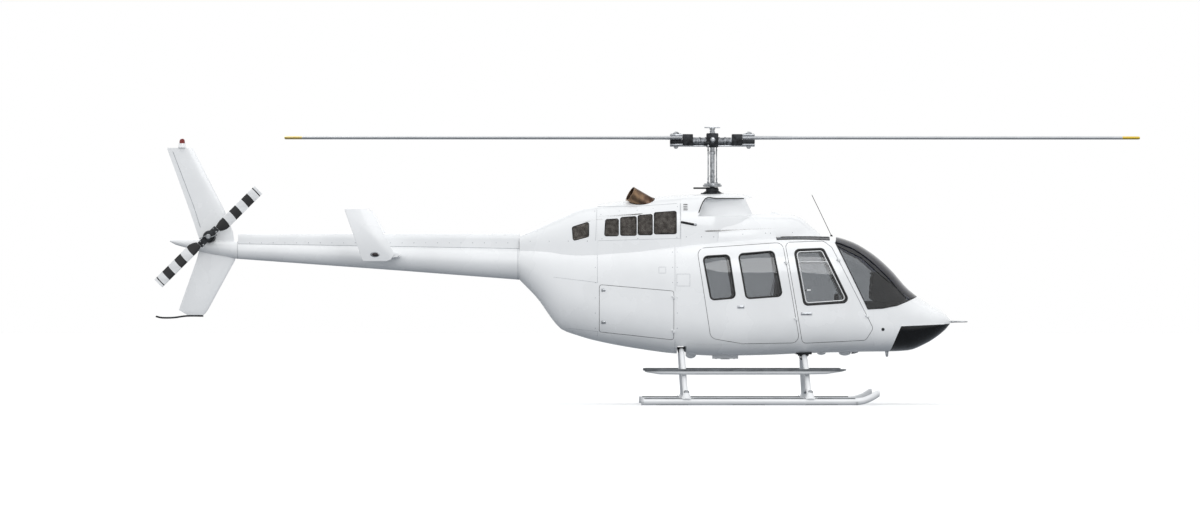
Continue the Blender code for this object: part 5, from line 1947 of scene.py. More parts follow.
    def build_engine_cowls(self) -> None:
        """The aft fairing and the engine cowl with their grilles."""
        fairing = self.seated(self.shell(self.aft, [self.aft_grille]), -1.70, -0.60)
        hand_over(fairing, "aft_fairing_shell", None, stands_for=["aft_fairing"])
        cowl = self.seated(self.shell(self.engine, self.grilles), -0.75, 0.50)
        base, tip = Vector(self.stack_base), Vector(self.stack_tip)
        # The hole's cut faces take the painted shade black, standing for the shade in the gap round
        # each stack.
        hole = bar(base, tip + (tip - base), self.stack_radius + self.stack_clearance, sides=48)
        hole.data.materials.append(DEEP_SHADE.material())
        carve(cowl, Cut.OUT, twin(hole), hole)
        hand_over(cowl, "engine_cowl_shell", None, stands_for=["engine_cowl"])
        wires, rims = [], []
        for form, outlines in ((self.engine, self.grilles), (self.aft, [self.aft_grille])):
            for outline in outlines:
                for side in Side:
                    wires.append(self.mesh_patch(form, outline, side))
                    edge = stepped(rounded(outline, self.grille_radius, 4), 0.03, True)
                    rims.append([form.beside(x, z, side, 0.0005) for x, z in edge])
        hand_over(joined(wires), "cowl_grille_mesh", MESH_METAL, smooth=20.0)
        hand_over(swept(rims, 0.0045, 8, closed=True), "cowl_grille_rims", DARK_METAL)

    def build_stacks(self) -> None:
        """The two exhaust stacks, with a rolled lip and a clamp ring at the root."""
        base, tip = Vector(self.stack_base), Vector(self.stack_tip)
        axis = (tip - base).normalized()
        length = (tip - base).length
        outer = self.stack_radius
        inner = outer - self.stack_wall
        profile = [(0.0, inner), (0.0, outer), (length * 0.45, outer), (length * 0.46, outer + 0.003),
                   (length * 0.48, outer + 0.003), (length * 0.49, outer),
                   (length - 0.012, outer), (length - 0.004, outer + 0.0035),
                   (length, outer + 0.001), (length - 0.001, inner), (length * 0.4, inner)]
        spin = Vector((0.0, 0.0, 1.0)).rotation_difference(axis).to_matrix()
        rings = []
        for along, radius in [*profile, profile[0]]:
            rings.append([tuple(base + spin @ Vector((radius * math.cos(2 * math.pi * k / 48),
                                                      radius * math.sin(2 * math.pi * k / 48),
                                                      along))) for k in range(48)])
        pipe = formed(rings)
        carve(pipe, Cut.OUT, block((0.0, 0.0, 2.225), (2.0, 2.0, 0.4506), 0.0))
        other = twin(pipe)
        hand_over(pipe, "exhaust_pipe_right", HEATED_STEEL, stands_for=["exhaust_stack_right"])
        hand_over(other, "exhaust_pipe_left", HEATED_STEEL, stands_for=["exhaust_stack_left"])

    def build_head(self) -> None:
        """The intake head over the gearbox and the fairing in front of it."""
        head = self.head.solid()
        head.data.materials.append(WHITE_PAINT.material())
        carve(head, Cut.OUT, both_prisms([self.notch], self.neck_half, 1.0),
              prism(self.head_front, -1.0, 1.0))
        # The mouth pockets take the painted shade black, standing for the shade inside the intakes.
        mouths = both_prisms([rounded(self.mouth, 0.02, 3)], self.mouth_near, self.mouth_far)
        mouths.data.materials.append(DEEP_SHADE.material())
        carve(head, Cut.OUT, mouths, self.fairing.solid(-SEAT_GAP, SEAT_GAP))
        hand_over(self.seated(head, 0.30, 1.50), "transmission_cowl_head", None,
                  stands_for=["transmission_cowl"])
        fairing = self.seated(self.fairing.solid(), 0.80, 2.40)
        hand_over(fairing, "forward_fairing_shell", WHITE_PAINT, stands_for=["forward_fairing"])

    def build_details(self) -> None:
        """The intake lip seals, drawn black as the shadow line inside the intake, the drain slot
        drawn as a black strand for its shaded opening, the vent louvre and the blister.
        """
        lip_seal_shadows, slot_shade_paths = [], []
        for side in Side:
            s = side.value
            lip_seal_shadows.append([(0.645, s * 0.400, 2.470), (0.748, s * 0.385, 2.700),
                         (0.900, s * 0.372, 2.706), (1.100, s * 0.330, 2.706),
                         (1.260, s * 0.275, 2.706)])
            slot_shade_paths.append([self.head.beside(0.43, 2.395, side, 0.0),
                          self.head.beside(0.60, 2.362, side, 0.0)])
        # Painted shadow: the lip strands are thick and black so that they draw the shadow line inside
        # the intake along its edges; only part of that is a real seal.
        hand_over(swept([eased(lip, 4) for lip in lip_seal_shadows], 0.007, 8), "intake_lip_seal",
                  SEAL_RUBBER)
        # Painted shade: a matt black strand laid on the cowl's side stands for the shaded opening of
        # the drain slot.
        hand_over(swept(slot_shade_paths, 0.016, 10), "cowl_drain_slot", DEEP_SHADE)
        ends = [ball(self.head.beside(0.618, 2.360, side, 0.0), (0.024, 0.006, 0.018))
                for side in Side]
        hand_over(joined(ends), "cowl_drain_lip", BARE_ALUMINIUM)
        slats = []
        for side in Side:
            for k in range(4):
                x, y, z = self.head.beside(0.490, 2.555 + 0.024 * k, side, 0.0)
                slats.append(block((x, y, z), (0.055, 0.012, 0.008), 0.002, (side.value * 35, 0, 0)))
        hand_over(joined(slats), "cowl_vent_louvre", DARK_METAL)
        x, y, z = self.fairing.above(1.664, -0.12)
        bump = ball((x, 0.0, 2.487), (0.082, 0.060, 0.055), 32, 16)
        hand_over(bump, "fairing_blister", WHITE_PAINT)

    def build(self) -> None:
        """Build every cowl."""
        self.build_engine_cowls()
        self.build_stacks()
        self.build_head()
        self.build_details()


# Tail boom, fins and lamps


@dataclass(frozen=True)
class FoilProfile:
    """A symmetric section: places along the chord, each with its half thickness share."""

    table: Stations = Stations(((0.0, 0.0), (0.015, 0.16), (0.06, 0.30), (0.30, 0.50),
                                (0.65, 0.34), (1.0, 0.05)))
    steps: int = 18

    def around(self) -> list[Flat]:
        """Points round the section, from the leading edge over the top and back.

        Returns:
            Places along the chord, each with its half thickness share.
        """
        upper = []
        for k in range(self.steps + 1):
            along = (k / self.steps) ** 1.7
            upper.append((along, self.table.value(along, 1)))
        return upper + [(along, -half) for along, half in reversed(upper[1:])]


@dataclass
class TailBoom:
    """The tapered boom with the drive-shaft cover over it."""

    boom: tuple[Point, ...] = ((-1.6903, 1.862, 0.2240), (-3.2000, 1.932, 0.1780),
                               (-5.4200, 2.030, 0.1150))
    cover: tuple[Flat, ...] = ((-1.6903, 0.125), (-5.4000, 0.082))
    cover_top_z: float = 2.256
    cover_drop: float = 0.090
    cover_foot_z: float = 2.000
    joints: tuple[float, ...] = (-1.712, -5.405)
    sides: int = 64

    def at(self, x: float) -> Flat:
        """Height of the boom's middle and its radius at a station.

        Args:
            x: The station.

        Returns:
            The height and the radius.
        """
        for (x0, z0, r0), (x1, z1, r1) in zip(self.boom, self.boom[1:]):
            if x >= x1:
                share = min(1.0, max(0.0, (x - x0) / (x1 - x0)))
                return z0 + (z1 - z0) * share, r0 + (r1 - r0) * share
        return self.boom[-1][1], self.boom[-1][2]

    def ring(self, x: float, lift: float = 0.0) -> list[Point]:
        """The boom's section at a station.

        Args:
            x: The station.
            lift: How far it stands off the skin.

        Returns:
            The section's points.
        """
        z, radius = self.at(x)
        return [(x, (radius + lift) * math.cos(2 * math.pi * k / self.sides),
                 z + (radius + lift) * math.sin(2 * math.pi * k / self.sides))
                for k in range(self.sides)]

    def cover_half(self, x: float) -> float:
        """Half width of the cover at a station."""
        (x0, w0), (x1, w1) = self.cover
        return w0 + (w1 - w0) * (x - x0) / (x1 - x0)

    def cover_ring(self, x: float, lift: float = 0.0) -> list[Point]:
        """The cover's arched section at a station.

        Args:
            x: The station.
            lift: How far it stands off the skin.

        Returns:
            The section's points, from the port foot over the top.
        """
        half = self.cover_half(x) + lift
        low = self.cover_top_z - self.cover_drop
        ring = [(x, half, self.cover_foot_z)]
        for k in range(25):
            angle = math.pi * k / 24
            ring.append((x, half * power(math.cos(angle), 0.8),
                         low + (self.cover_drop + lift) * power(math.sin(angle), 0.8)))
        return [*ring, (x, -half, self.cover_foot_z)]

    def build(self) -> None:
        """Build the boom, the cover and their seams."""
        places = [self.boom[0][0] + (self.boom[-1][0] - self.boom[0][0]) * k / 20
                  for k in range(21)]
        hand_over(loft([self.ring(x) for x in places]), "tail_boom_tube", WHITE_PAINT,
                  stands_for=["tail_boom"])
        low, high = self.cover[1][0], self.cover[0][0]
        cover = loft([self.cover_ring(low + (high - low) * k / 16) for k in range(17)])
        hand_over(cover, "shaft_cover_shell", WHITE_PAINT, stands_for=["shaft_cover"])
        seams, studs = [], []
        for side in Side:
            seam = []
            for k in range(41):
                x = low + (high - low) * k / 40
                half = self.cover_half(x)
                z, radius = self.at(x)
                seam.append((x, side.value * (half + 0.0005),
                             z + math.sqrt(radius ** 2 - half ** 2) + 0.001))
            seams.append(seam)
            for k in range(1, 24):
                x = low + (high - low) * k / 24
                half = self.cover_half(x)
                studs.append(((x, side.value * (half - 0.0005), 2.125), (0.0, side.value, 0.0)))
        hand_over(swept(seams, 0.0035, 6), "shaft_cover_seam", GAP_SHADOW)
        rings = [self.ring(x, 0.0004) for x in self.joints]
        hand_over(swept(rings, 0.0028, 6, closed=True), "boom_panel_seams", GAP_SHADOW)
        stud = bar((0, 0, -0.002), (0, 0, 0.003), 0.007, 0.005, 10)
        hand_over(scattered(stud, studs), "shaft_cover_fasteners", BARE_ALUMINIUM)


@dataclass
class TailFeathers:
    """Fin, stabiliser, end plates, tail gearbox, tail skid and lamps."""

    profile: FoilProfile = FoilProfile()
    cone: tuple[Point, ...] = ((-5.4203, 2.030, 0.1150), (-5.7500, 2.070, 0.0950),
                               (-6.0500, 2.112, 0.0620), (-6.2200, 2.138, 0.0400),
                               (-6.3000, 2.150, 0.0100))
    upper_fin: tuple[Point, ...] = ((2.060, -5.440, -5.880), (2.269, -5.470, -5.946),
                                    (2.546, -5.577, -6.040), (3.362, -5.992, -6.337),
                                    (3.377, -6.010, -6.334))
    lower_fin: tuple[Point, ...] = ((2.050, -5.435, -5.910), (1.899, -5.440, -5.950),
                                    (1.240, -5.800, -6.184), (1.190, -5.838, -6.100),
                                    (1.174, -5.860, -6.070))
    fin_thickness: float = 0.12
    skid_path: tuple[Point, ...] = ((-5.860, 0.0, 1.1617), (-6.075, 0.0, 1.1617),
                                    (-6.250, 0.0, 1.140), (-6.400, 0.0, 1.138),
                                    (-6.480, 0.0, 1.154))
    stabiliser: tuple[float, float, float, float] = (-3.262, -3.690, 1.955, 0.965)
    stabiliser_thickness: float = 0.16
    end_plate: Outline = ((-3.979, 2.562), (-3.643, 2.562), (-3.319, 1.967), (-3.371, 1.896),
                          (-3.423, 1.877), (-3.733, 1.877))
    end_plate_half: float = 0.012
    lamp_at: Flat = (-3.575, 1.964)
    gearbox_radius: float = 0.085

    def fin(self, table: Sequence[Point]) -> Object:
        """A fin through rows of height, leading and trailing edge.

        Args:
            table: The rows.

        Returns:
            The fin.
        """
        rings = []
        for z, leading, trailing in table:
            chord = leading - trailing
            rings.append([(leading - chord * along, chord * self.fin_thickness * half, z)
                          for along, half in self.profile.around()])
        return loft(rings)

    def build_fin(self) -> None:
        """The tail cone with both fins, and the trailing strip."""
        rings = []
        for x, z, radius in self.cone:
            rings.append([(x, radius * math.cos(2 * math.pi * k / 48),
                           z + radius * math.sin(2 * math.pi * k / 48)) for k in range(48)])
        fin = carve(loft(rings), Cut.JOIN, self.fin(self.upper_fin), self.fin(self.lower_fin))
        hand_over(fin, "vertical_fin_skin", WHITE_PAINT, stands_for=["vertical_fin"])
        strips = []
        for side in Side:
            strips.append([(-6.262, side.value * 0.0085, 3.330),
                           (-5.985, side.value * 0.0095, 2.600),
                           (-5.900, side.value * 0.0110, 2.330)])
        hand_over(swept(strips, 0.004, 6), "fin_trailing_strip", GAP_SHADOW)

    def build_stabiliser(self) -> None:
        """The stabiliser, its root collars, end plates and their lamps."""
        leading, trailing, level, half_span = self.stabiliser
        chord = leading - trailing
        section = [(leading - chord * along, level + chord * self.stabiliser_thickness * half)
                   for along, half in self.profile.around()]
        wing = loft([[(x, y, z) for x, z in section] for y in (-half_span, 0.0, half_span)])
        hand_over(wing, "stabiliser_skin", WHITE_PAINT, stands_for=["stabiliser"])
        collars = []
        grown_section = [(leading + 0.02 - (chord + 0.04) * along,
                          level + (chord * self.stabiliser_thickness + 0.03) * half)
                         for along, half in self.profile.around()]
        for side in Side:
            y0, y1 = sorted((side.value * 0.150, side.value * 0.205))
            collars.append(loft([[(x, y, z) for x, z in grown_section] for y in (y0, y1)]))
        hand_over(joined(collars), "stabiliser_root_collars", WHITE_PAINT)
        for side in Side:
            middle = side.value * (half_span + SEAT_GAP + self.end_plate_half)
            plate = prism(rounded(self.end_plate, 0.018, 4), middle - self.end_plate_half,
                          middle + self.end_plate_half, edge=0.005)
            hand_over(plate, f"end_plate_panel_{side.word}", WHITE_PAINT,
                      stands_for=[f"end_plate_{side.word}"])
            x, z = self.lamp_at
            face = middle + side.value * self.end_plate_half
            base = ball((x, face, z), (0.062, 0.010, 0.034), 32, 12)
            hand_over(base, f"position_lamp_base_{side.word}", TURNED_STEEL)
            lens = ball((x + 0.004, face + side.value * 0.006, z), (0.044, 0.017, 0.024), 32, 12)
            hand_over(lens, f"position_lamp_lens_{side.word}", DARK_LENS)

    def build_tail_end(self) -> None:
        """The tail gearbox, the tail skid and the beacon."""
        x, _, z = TAIL_HUB
        r = self.gearbox_radius
        box = turned(((-0.235, r * 0.45), (-0.234, r * 0.62), (-0.205, r * 0.66),
                      (-0.200, r * 0.86), (-0.178, r * 0.88), (-0.172, r * 0.70),
                      (-0.120, r * 0.80), (-0.060, r * 0.98), (-0.030, r), (-0.002, r)),
                     (x, 0.0, z), (0.0, 1.0, 0.0), 40)
        studs = bar((0, 0, -0.004), (0, 0, 0.007), 0.006, sides=6)
        places = [((x + r * 0.76 * math.cos(k * math.pi / 4), -0.2005,
                    z + r * 0.76 * math.sin(k * math.pi / 4)), (0.0, -1.0, 0.0))
                  for k in range(8)]
        hand_over(joined([box, scattered(studs, places)]), "tail_gearbox_case", DARK_METAL,
                  stands_for=["tail_gearbox"])
        skid = joined([swept([eased(self.skid_path, 5)], 0.0118, 12),
                       ball(self.skid_path[-1], (0.0100, 0.0110, 0.0110), 16, 8)])
        hand_over(skid, "tail_skid_tube", DARK_METAL, stands_for=["tail_skid"])
        at = (-6.140, 0.0, 0.0)
        base = turned(((3.3785, 0.054), (3.392, 0.055), (3.400, 0.050), (3.437, 0.044),
                       (3.438, 0.036)), at, (0.0, 0.0, 1.0), 40)
        hand_over(base, "beacon_base", WHITE_PAINT, stands_for=["beacon"])
        lens = turned(((3.4375, 0.036), (3.448, 0.037), (3.475, 0.034), (3.490, 0.027),
                       (3.497, 0.016), (3.500, 0.006)), at, (0.0, 0.0, 1.0), 40)
        hand_over(lens, "beacon_dome", RED_LENS)

    def build(self) -> None:
        """Build everything behind the boom."""
        self.build_fin()
        self.build_stabiliser()
        self.build_tail_end()


# Rotors


@dataclass
class MainRotor:
    """Mast, swashplates, teetering hub and two blades."""

    blade_z: float = 3.511
    radius: float = 5.63865
    root: float = 0.400
    chord: float = 0.330
    thickness: float = 0.042
    mast_radius: float = 0.032
    links: tuple[Flat, ...] = ((-0.057, -0.095), (0.057, 0.095))
    foil: FoilProfile = FoilProfile(Stations(((0.0, 0.0), (0.008, 0.12), (0.03, 0.24),
                                              (0.12, 0.44), (0.30, 0.50), (0.60, 0.36),
                                              (1.0, 0.03))))

    def local(self, dx: float, y: float, z: float) -> Point:
        """A point given from the mast's axis."""
        return MAST_AXIS[0] + dx, y, z

    def build_base(self) -> None:
        """The fixed swashplate with its dust boot, lever and control horns."""
        up = (0.0, 0.0, 1.0)
        profile = [(2.741, 0.150), (2.783, 0.153), (2.786, 0.120), (2.792, 0.120), (2.797, 0.104),
                   (2.803, 0.104), (2.808, 0.088), (2.8095, 0.085), (2.838, 0.085), (2.842, 0.078),
                   (2.856, 0.078), (2.8595, 0.074)]
        base = turned(profile, MAST_AXIS, up, 48)
        carve(base, Cut.OUT, bar(self.local(0, 0, 2.80), self.local(0, 0, 2.90),
                                 self.mast_radius + 0.0055, sides=40),
              UpperCowls().head.solid(-SEAT_GAP))
        lever = block(self.local(-0.160, 0.0, 2.8475), (0.180, 0.036, 0.022), 0.004)
        horn = bar(self.local(-0.238, -0.024, 2.8475), self.local(-0.238, 0.024, 2.8475), 0.0115,
                   sides=20, edge=0.002)
        carve(base, Cut.JOIN, lever)
        hand_over(joined([base, horn]), "swashplate_fixed_ring", DARK_METAL,
                  stands_for=["swashplate_base"])

    def build_mast(self) -> None:
        """The mast, the turning swashplate and the pitch links."""
        up = (0.0, 0.0, 1.0)
        r = self.mast_radius
        mast = turned(((2.811, r * 0.96), (2.813, r), (2.990, r), (2.993, r * 1.16),
                       (3.018, r * 1.16), (3.021, r), (3.290, r), (3.296, r * 1.25),
                       (3.330, r * 1.25), (3.336, r * 1.02), (3.3845, r * 1.02)),
                      MAST_AXIS, up, 48)
        ring = turned(((2.8656, 0.106), (2.8675, 0.124), (2.888, 0.125), (2.892, 0.112),
                       (2.908, 0.110), (2.912, 0.060), (2.919, 0.050)), MAST_AXIS, up, 48)
        hand_over(joined([mast, ring]), "rotor_mast_shaft", TURNED_STEEL, "main_rotor",
                  ["rotor_mast"])
        links = []
        for dx, dy in self.links:
            low, high = self.local(dx, dy, 2.905), self.local(dx, dy, 3.4195)
            links += [bar(low, high, 0.0085, sides=20),
                      ball(self.local(dx, dy, 2.922), (0.016, 0.011, 0.018), 20, 10),
                      ball(self.local(dx, dy, 3.400), (0.016, 0.011, 0.018), 20, 10),
                      bar(self.local(dx, dy, 2.950), self.local(dx, dy, 2.985), 0.0125, sides=6,
                          edge=0.001),
                      bar(self.local(dx, dy, 3.335), self.local(dx, dy, 3.370), 0.0125, sides=6,
                          edge=0.001)]
        hand_over(joined(links), "pitch_links", TURNED_STEEL, "main_rotor")

    def build_hub(self) -> None:
        """The yoke, grips, trunnion, blade bolts and top restraint."""
        steel, dark, plates, bolts = [], [], [], []
        dark.append(block(self.local(0, 0, 3.4785), (0.158, 0.148, 0.185), 0.012, segments=3))
        plates.append(block(self.local(0, 0, 3.4035), (1.118, 0.098, 0.0165), 0.004))
        steel.append(block(self.local(0, 0, 3.463), (0.52, 0.052, 0.060), 0.010))
        for side in Side:
            s = side.value
            profile = ((0.072, 0.040), (0.076, 0.057), (0.098, 0.0595), (0.103, 0.052),
                       (0.150, 0.052), (0.156, 0.0595), (0.180, 0.0595), (0.186, 0.053),
                       (0.250, 0.055), (0.256, 0.0595), (0.274, 0.0595))
            steel.append(turned(profile, self.local(0, 0, 3.463), (s, 0.0, 0.0), 40))
            for y in (-0.061, 0.061):
                dark.append(block(self.local(s * 0.325, y, 3.485), (0.138, 0.034, 0.148), 0.008))
            dark.append(block(self.local(s * 0.330, 0.0, 3.450), (0.128, 0.110, 0.060), 0.010))
            plates.append(block(self.local(s * 0.475, 0.0, 3.5473), (0.168, 0.158, 0.0240),
                                0.006))
            dark.append(block(self.local(s * 0.475, 0.0, 3.4595), (0.168, 0.158, 0.0540), 0.008))
            plates.append(block(self.local(s * 0.475, 0.0, 3.4210), (0.172, 0.150, 0.0200),
                                0.005))
            bolts.append(turned(((3.5575, 0.045), (3.574, 0.045), (3.580, 0.040), (3.588, 0.028),
                                 (3.5935, 0.010)), self.local(s * 0.480, 0, 0), (0, 0, 1), 36))
            bolts.append(turned(((3.3680, 0.012), (3.3690, 0.020), (3.3790, 0.022),
                                 (3.3800, 0.030), (3.4000, 0.030)), self.local(s * 0.480, 0, 0),
                                (0, 0, 1), 24))
            for y in (-0.052, 0.052):
                bolts.append(bar(self.local(s * 0.420, y, 3.5585), self.local(s * 0.420, y, 3.566),
                                 0.009, sides=6))
                bolts.append(bar(self.local(s * 0.540, y, 3.5585), self.local(s * 0.540, y, 3.566),
                                 0.009, sides=6))
            bolts.append(turned(((0.0600, 0.034), (0.0760, 0.034), (0.0790, 0.030),
                                 (0.0800, 0.014)), self.local(0.004, 0, 3.482), (0, s, 0), 36))
        for dx, dy in self.links:
            x0, x1 = sorted((dx * 0.7, dx * 1.9))
            y0, y1 = sorted((dy * 0.5, dy * 1.15))
            dark.append(block(self.local((x0 + x1) / 2, (y0 + y1) / 2, 3.440),
                              (x1 - x0, y1 - y0, 0.039), 0.006))
        bolts.append(turned(((3.566, 0.040), (3.574, 0.042), (3.582, 0.036), (3.600, 0.036),
                             (3.604, 0.030), (3.618, 0.030), (3.622, 0.038), (3.640, 0.038),
                             (3.643, 0.026)), MAST_AXIS, (0, 0, 1), 36))
        plates.append(block(self.local(0, 0, 3.6475), (0.208, 0.039, 0.0145), 0.004))
        hand_over(joined(steel), "rotor_grips", BLASTED_STEEL, "main_rotor", ["rotor_hub"])
        hand_over(joined(dark), "rotor_yoke", DARK_METAL, "main_rotor")
        hand_over(joined(plates), "rotor_hub_plates", BARE_ALUMINIUM, "main_rotor")
        hand_over(joined(bolts), "rotor_hub_bolts", TURNED_STEEL, "main_rotor")

    def blade(self) -> Object:
        """The forward blade with stacked root doublers, a trim tab and a tip cap.

        Returns:
            The blade, from the mast's axis.
        """
        def ring(reach: float, chord: float, rise: float) -> list[Point]:
            """The blade's section at a reach.

            Args:
                reach: The distance from the mast's axis.
                chord: The chord there.
                rise: What it adds to the thickness.

            Returns:
                The section's points.
            """
            return [(reach, self.chord * -0.3 + (self.chord - chord) * 0.25 + chord * along,
                     self.blade_z + (self.thickness * chord / self.chord + rise) * half)
                    for along, half in self.foil.around()]

        places = [(self.root, 0.0), (0.9, 0.0), (2.0, 0.0), (3.2, 0.0), (4.4, 0.0), (5.62, 0.0)]
        rings = [ring(reach, self.chord, rise) for reach, rise in places]
        rings.append(ring(self.radius, self.chord * 0.97, -0.004))
        parts = [loft(rings)]
        parts.append(block((0.510, 0.0, self.blade_z), (0.2195, 0.138, 0.0470), 0.004))
        for reach, width, depth in ((1.05, 0.100, 0.0435), (0.86, 0.125, 0.0450)):
            parts.append(block(((self.root + reach) / 2, -0.005, self.blade_z),
                               (reach - self.root, width, depth), 0.002))
        parts.append(block((4.30, self.chord * 0.7 - 0.004, self.blade_z), (0.42, 0.028, 0.0022),
                           0.0005))
        return joined(parts)

    def build_blades(self) -> None:
        """Both blades, the aft one turned half round."""
        for name, turn in (("fore", 0.0), ("aft", 180.0)):
            blade = self.blade()
            blade.location = MAST_AXIS
            settle(blade)
            spun(blade, MAST_AXIS, "Z", turn)
            hand_over(blade, f"main_blade_skin_{name}", BLADE_PAINT, "main_rotor",
                      [f"main_blade_{name}"])

    def build(self) -> None:
        """Build the whole main rotor."""
        self.build_base()
        self.build_mast()
        self.build_hub()
        self.build_blades()


@dataclass
class TailRotor:
    """Two-blade tail rotor with its hub, shaft, pitch links and striped blades."""

    radius: float = 0.900
    chord: float = 0.148
    thickness: float = 0.018
    rest_deg: float = 45.0
    axis_share: float = 0.3
    chord_shares: tuple[Flat, ...] = ((0.160, 0.55), (0.200, 0.80), (0.250, 1.0), (0.895, 1.0))
    foil: FoilProfile = MainRotor.foil

    def hung(self, parts: Sequence[Object], name: str, finish: Finish,
             stands_for: Sequence[str] = ()) -> None:
        """Turn parts made round the origin to the rest angle and hang them on the rotor.

        Args:
            parts: The parts.
            name: The piece's name.
            finish: Its finish.
            stands_for: The CAD nodes that it stands for.
        """
        piece = joined(parts)
        piece.matrix_world = (Matrix.Translation(TAIL_HUB)
                              @ Matrix.Rotation(math.radians(self.rest_deg), 4, "Y"))
        hand_over(settle(piece), name, finish, "tail_rotor", stands_for)

    def build(self) -> None:
        """Build the hub and both blades."""
        hub = [block((0, 0, 0), (0.088, 0.043, 0.316), 0.008, segments=3),
               turned(((0.0100, 0.040), (0.0130, 0.0475), (0.0440, 0.0475), (0.0450, 0.036),
                       (0.0460, 0.024), (0.0645, 0.0235)), (0, 0, 0), (0, 1, 0), 32)]
        self.hung(hub, "tail_rotor_yoke", DARK_METAL, ["tail_rotor_hub"])
        bright = [turned(((0.0100, 0.034), (0.0300, 0.034), (0.0340, 0.026), (0.0540, 0.023)),
                         (0, 0, 0), (0, -1, 0), 32)]
        for s in (-1.0, 1.0):
            bright += [bar((-0.030, -0.026, s * 0.120), (-0.030, 0.022, s * 0.120), 0.010,
                           sides=6),
                       bar((0.030, -0.026, s * 0.120), (0.030, 0.022, s * 0.120), 0.010, sides=6),
                       bar((s * 0.060, -0.012, s * 0.090), (s * 0.026, -0.040, s * 0.012), 0.006,
                           sides=12),
                       ball((s * 0.060, -0.012, s * 0.090), (0.011, 0.011, 0.011), 16, 8)]
        self.hung(bright, "tail_rotor_fittings", TURNED_STEEL)
        for name, flip in (("fore", 1.0), ("aft", -1.0)):
            rings = []
            for reach, share in (*self.chord_shares, (self.radius, 1.0)):
                rings.append([(flip * self.chord * ((along - self.axis_share) * share),
                               self.thickness * half, flip * reach)
                              for along, half in self.foil.around()])
            self.hung([loft(rings)], f"tail_blade_skin_{name}", TAIL_BLADE_PAINT,
                      [f"tail_blade_{name}"])


# Landing gear


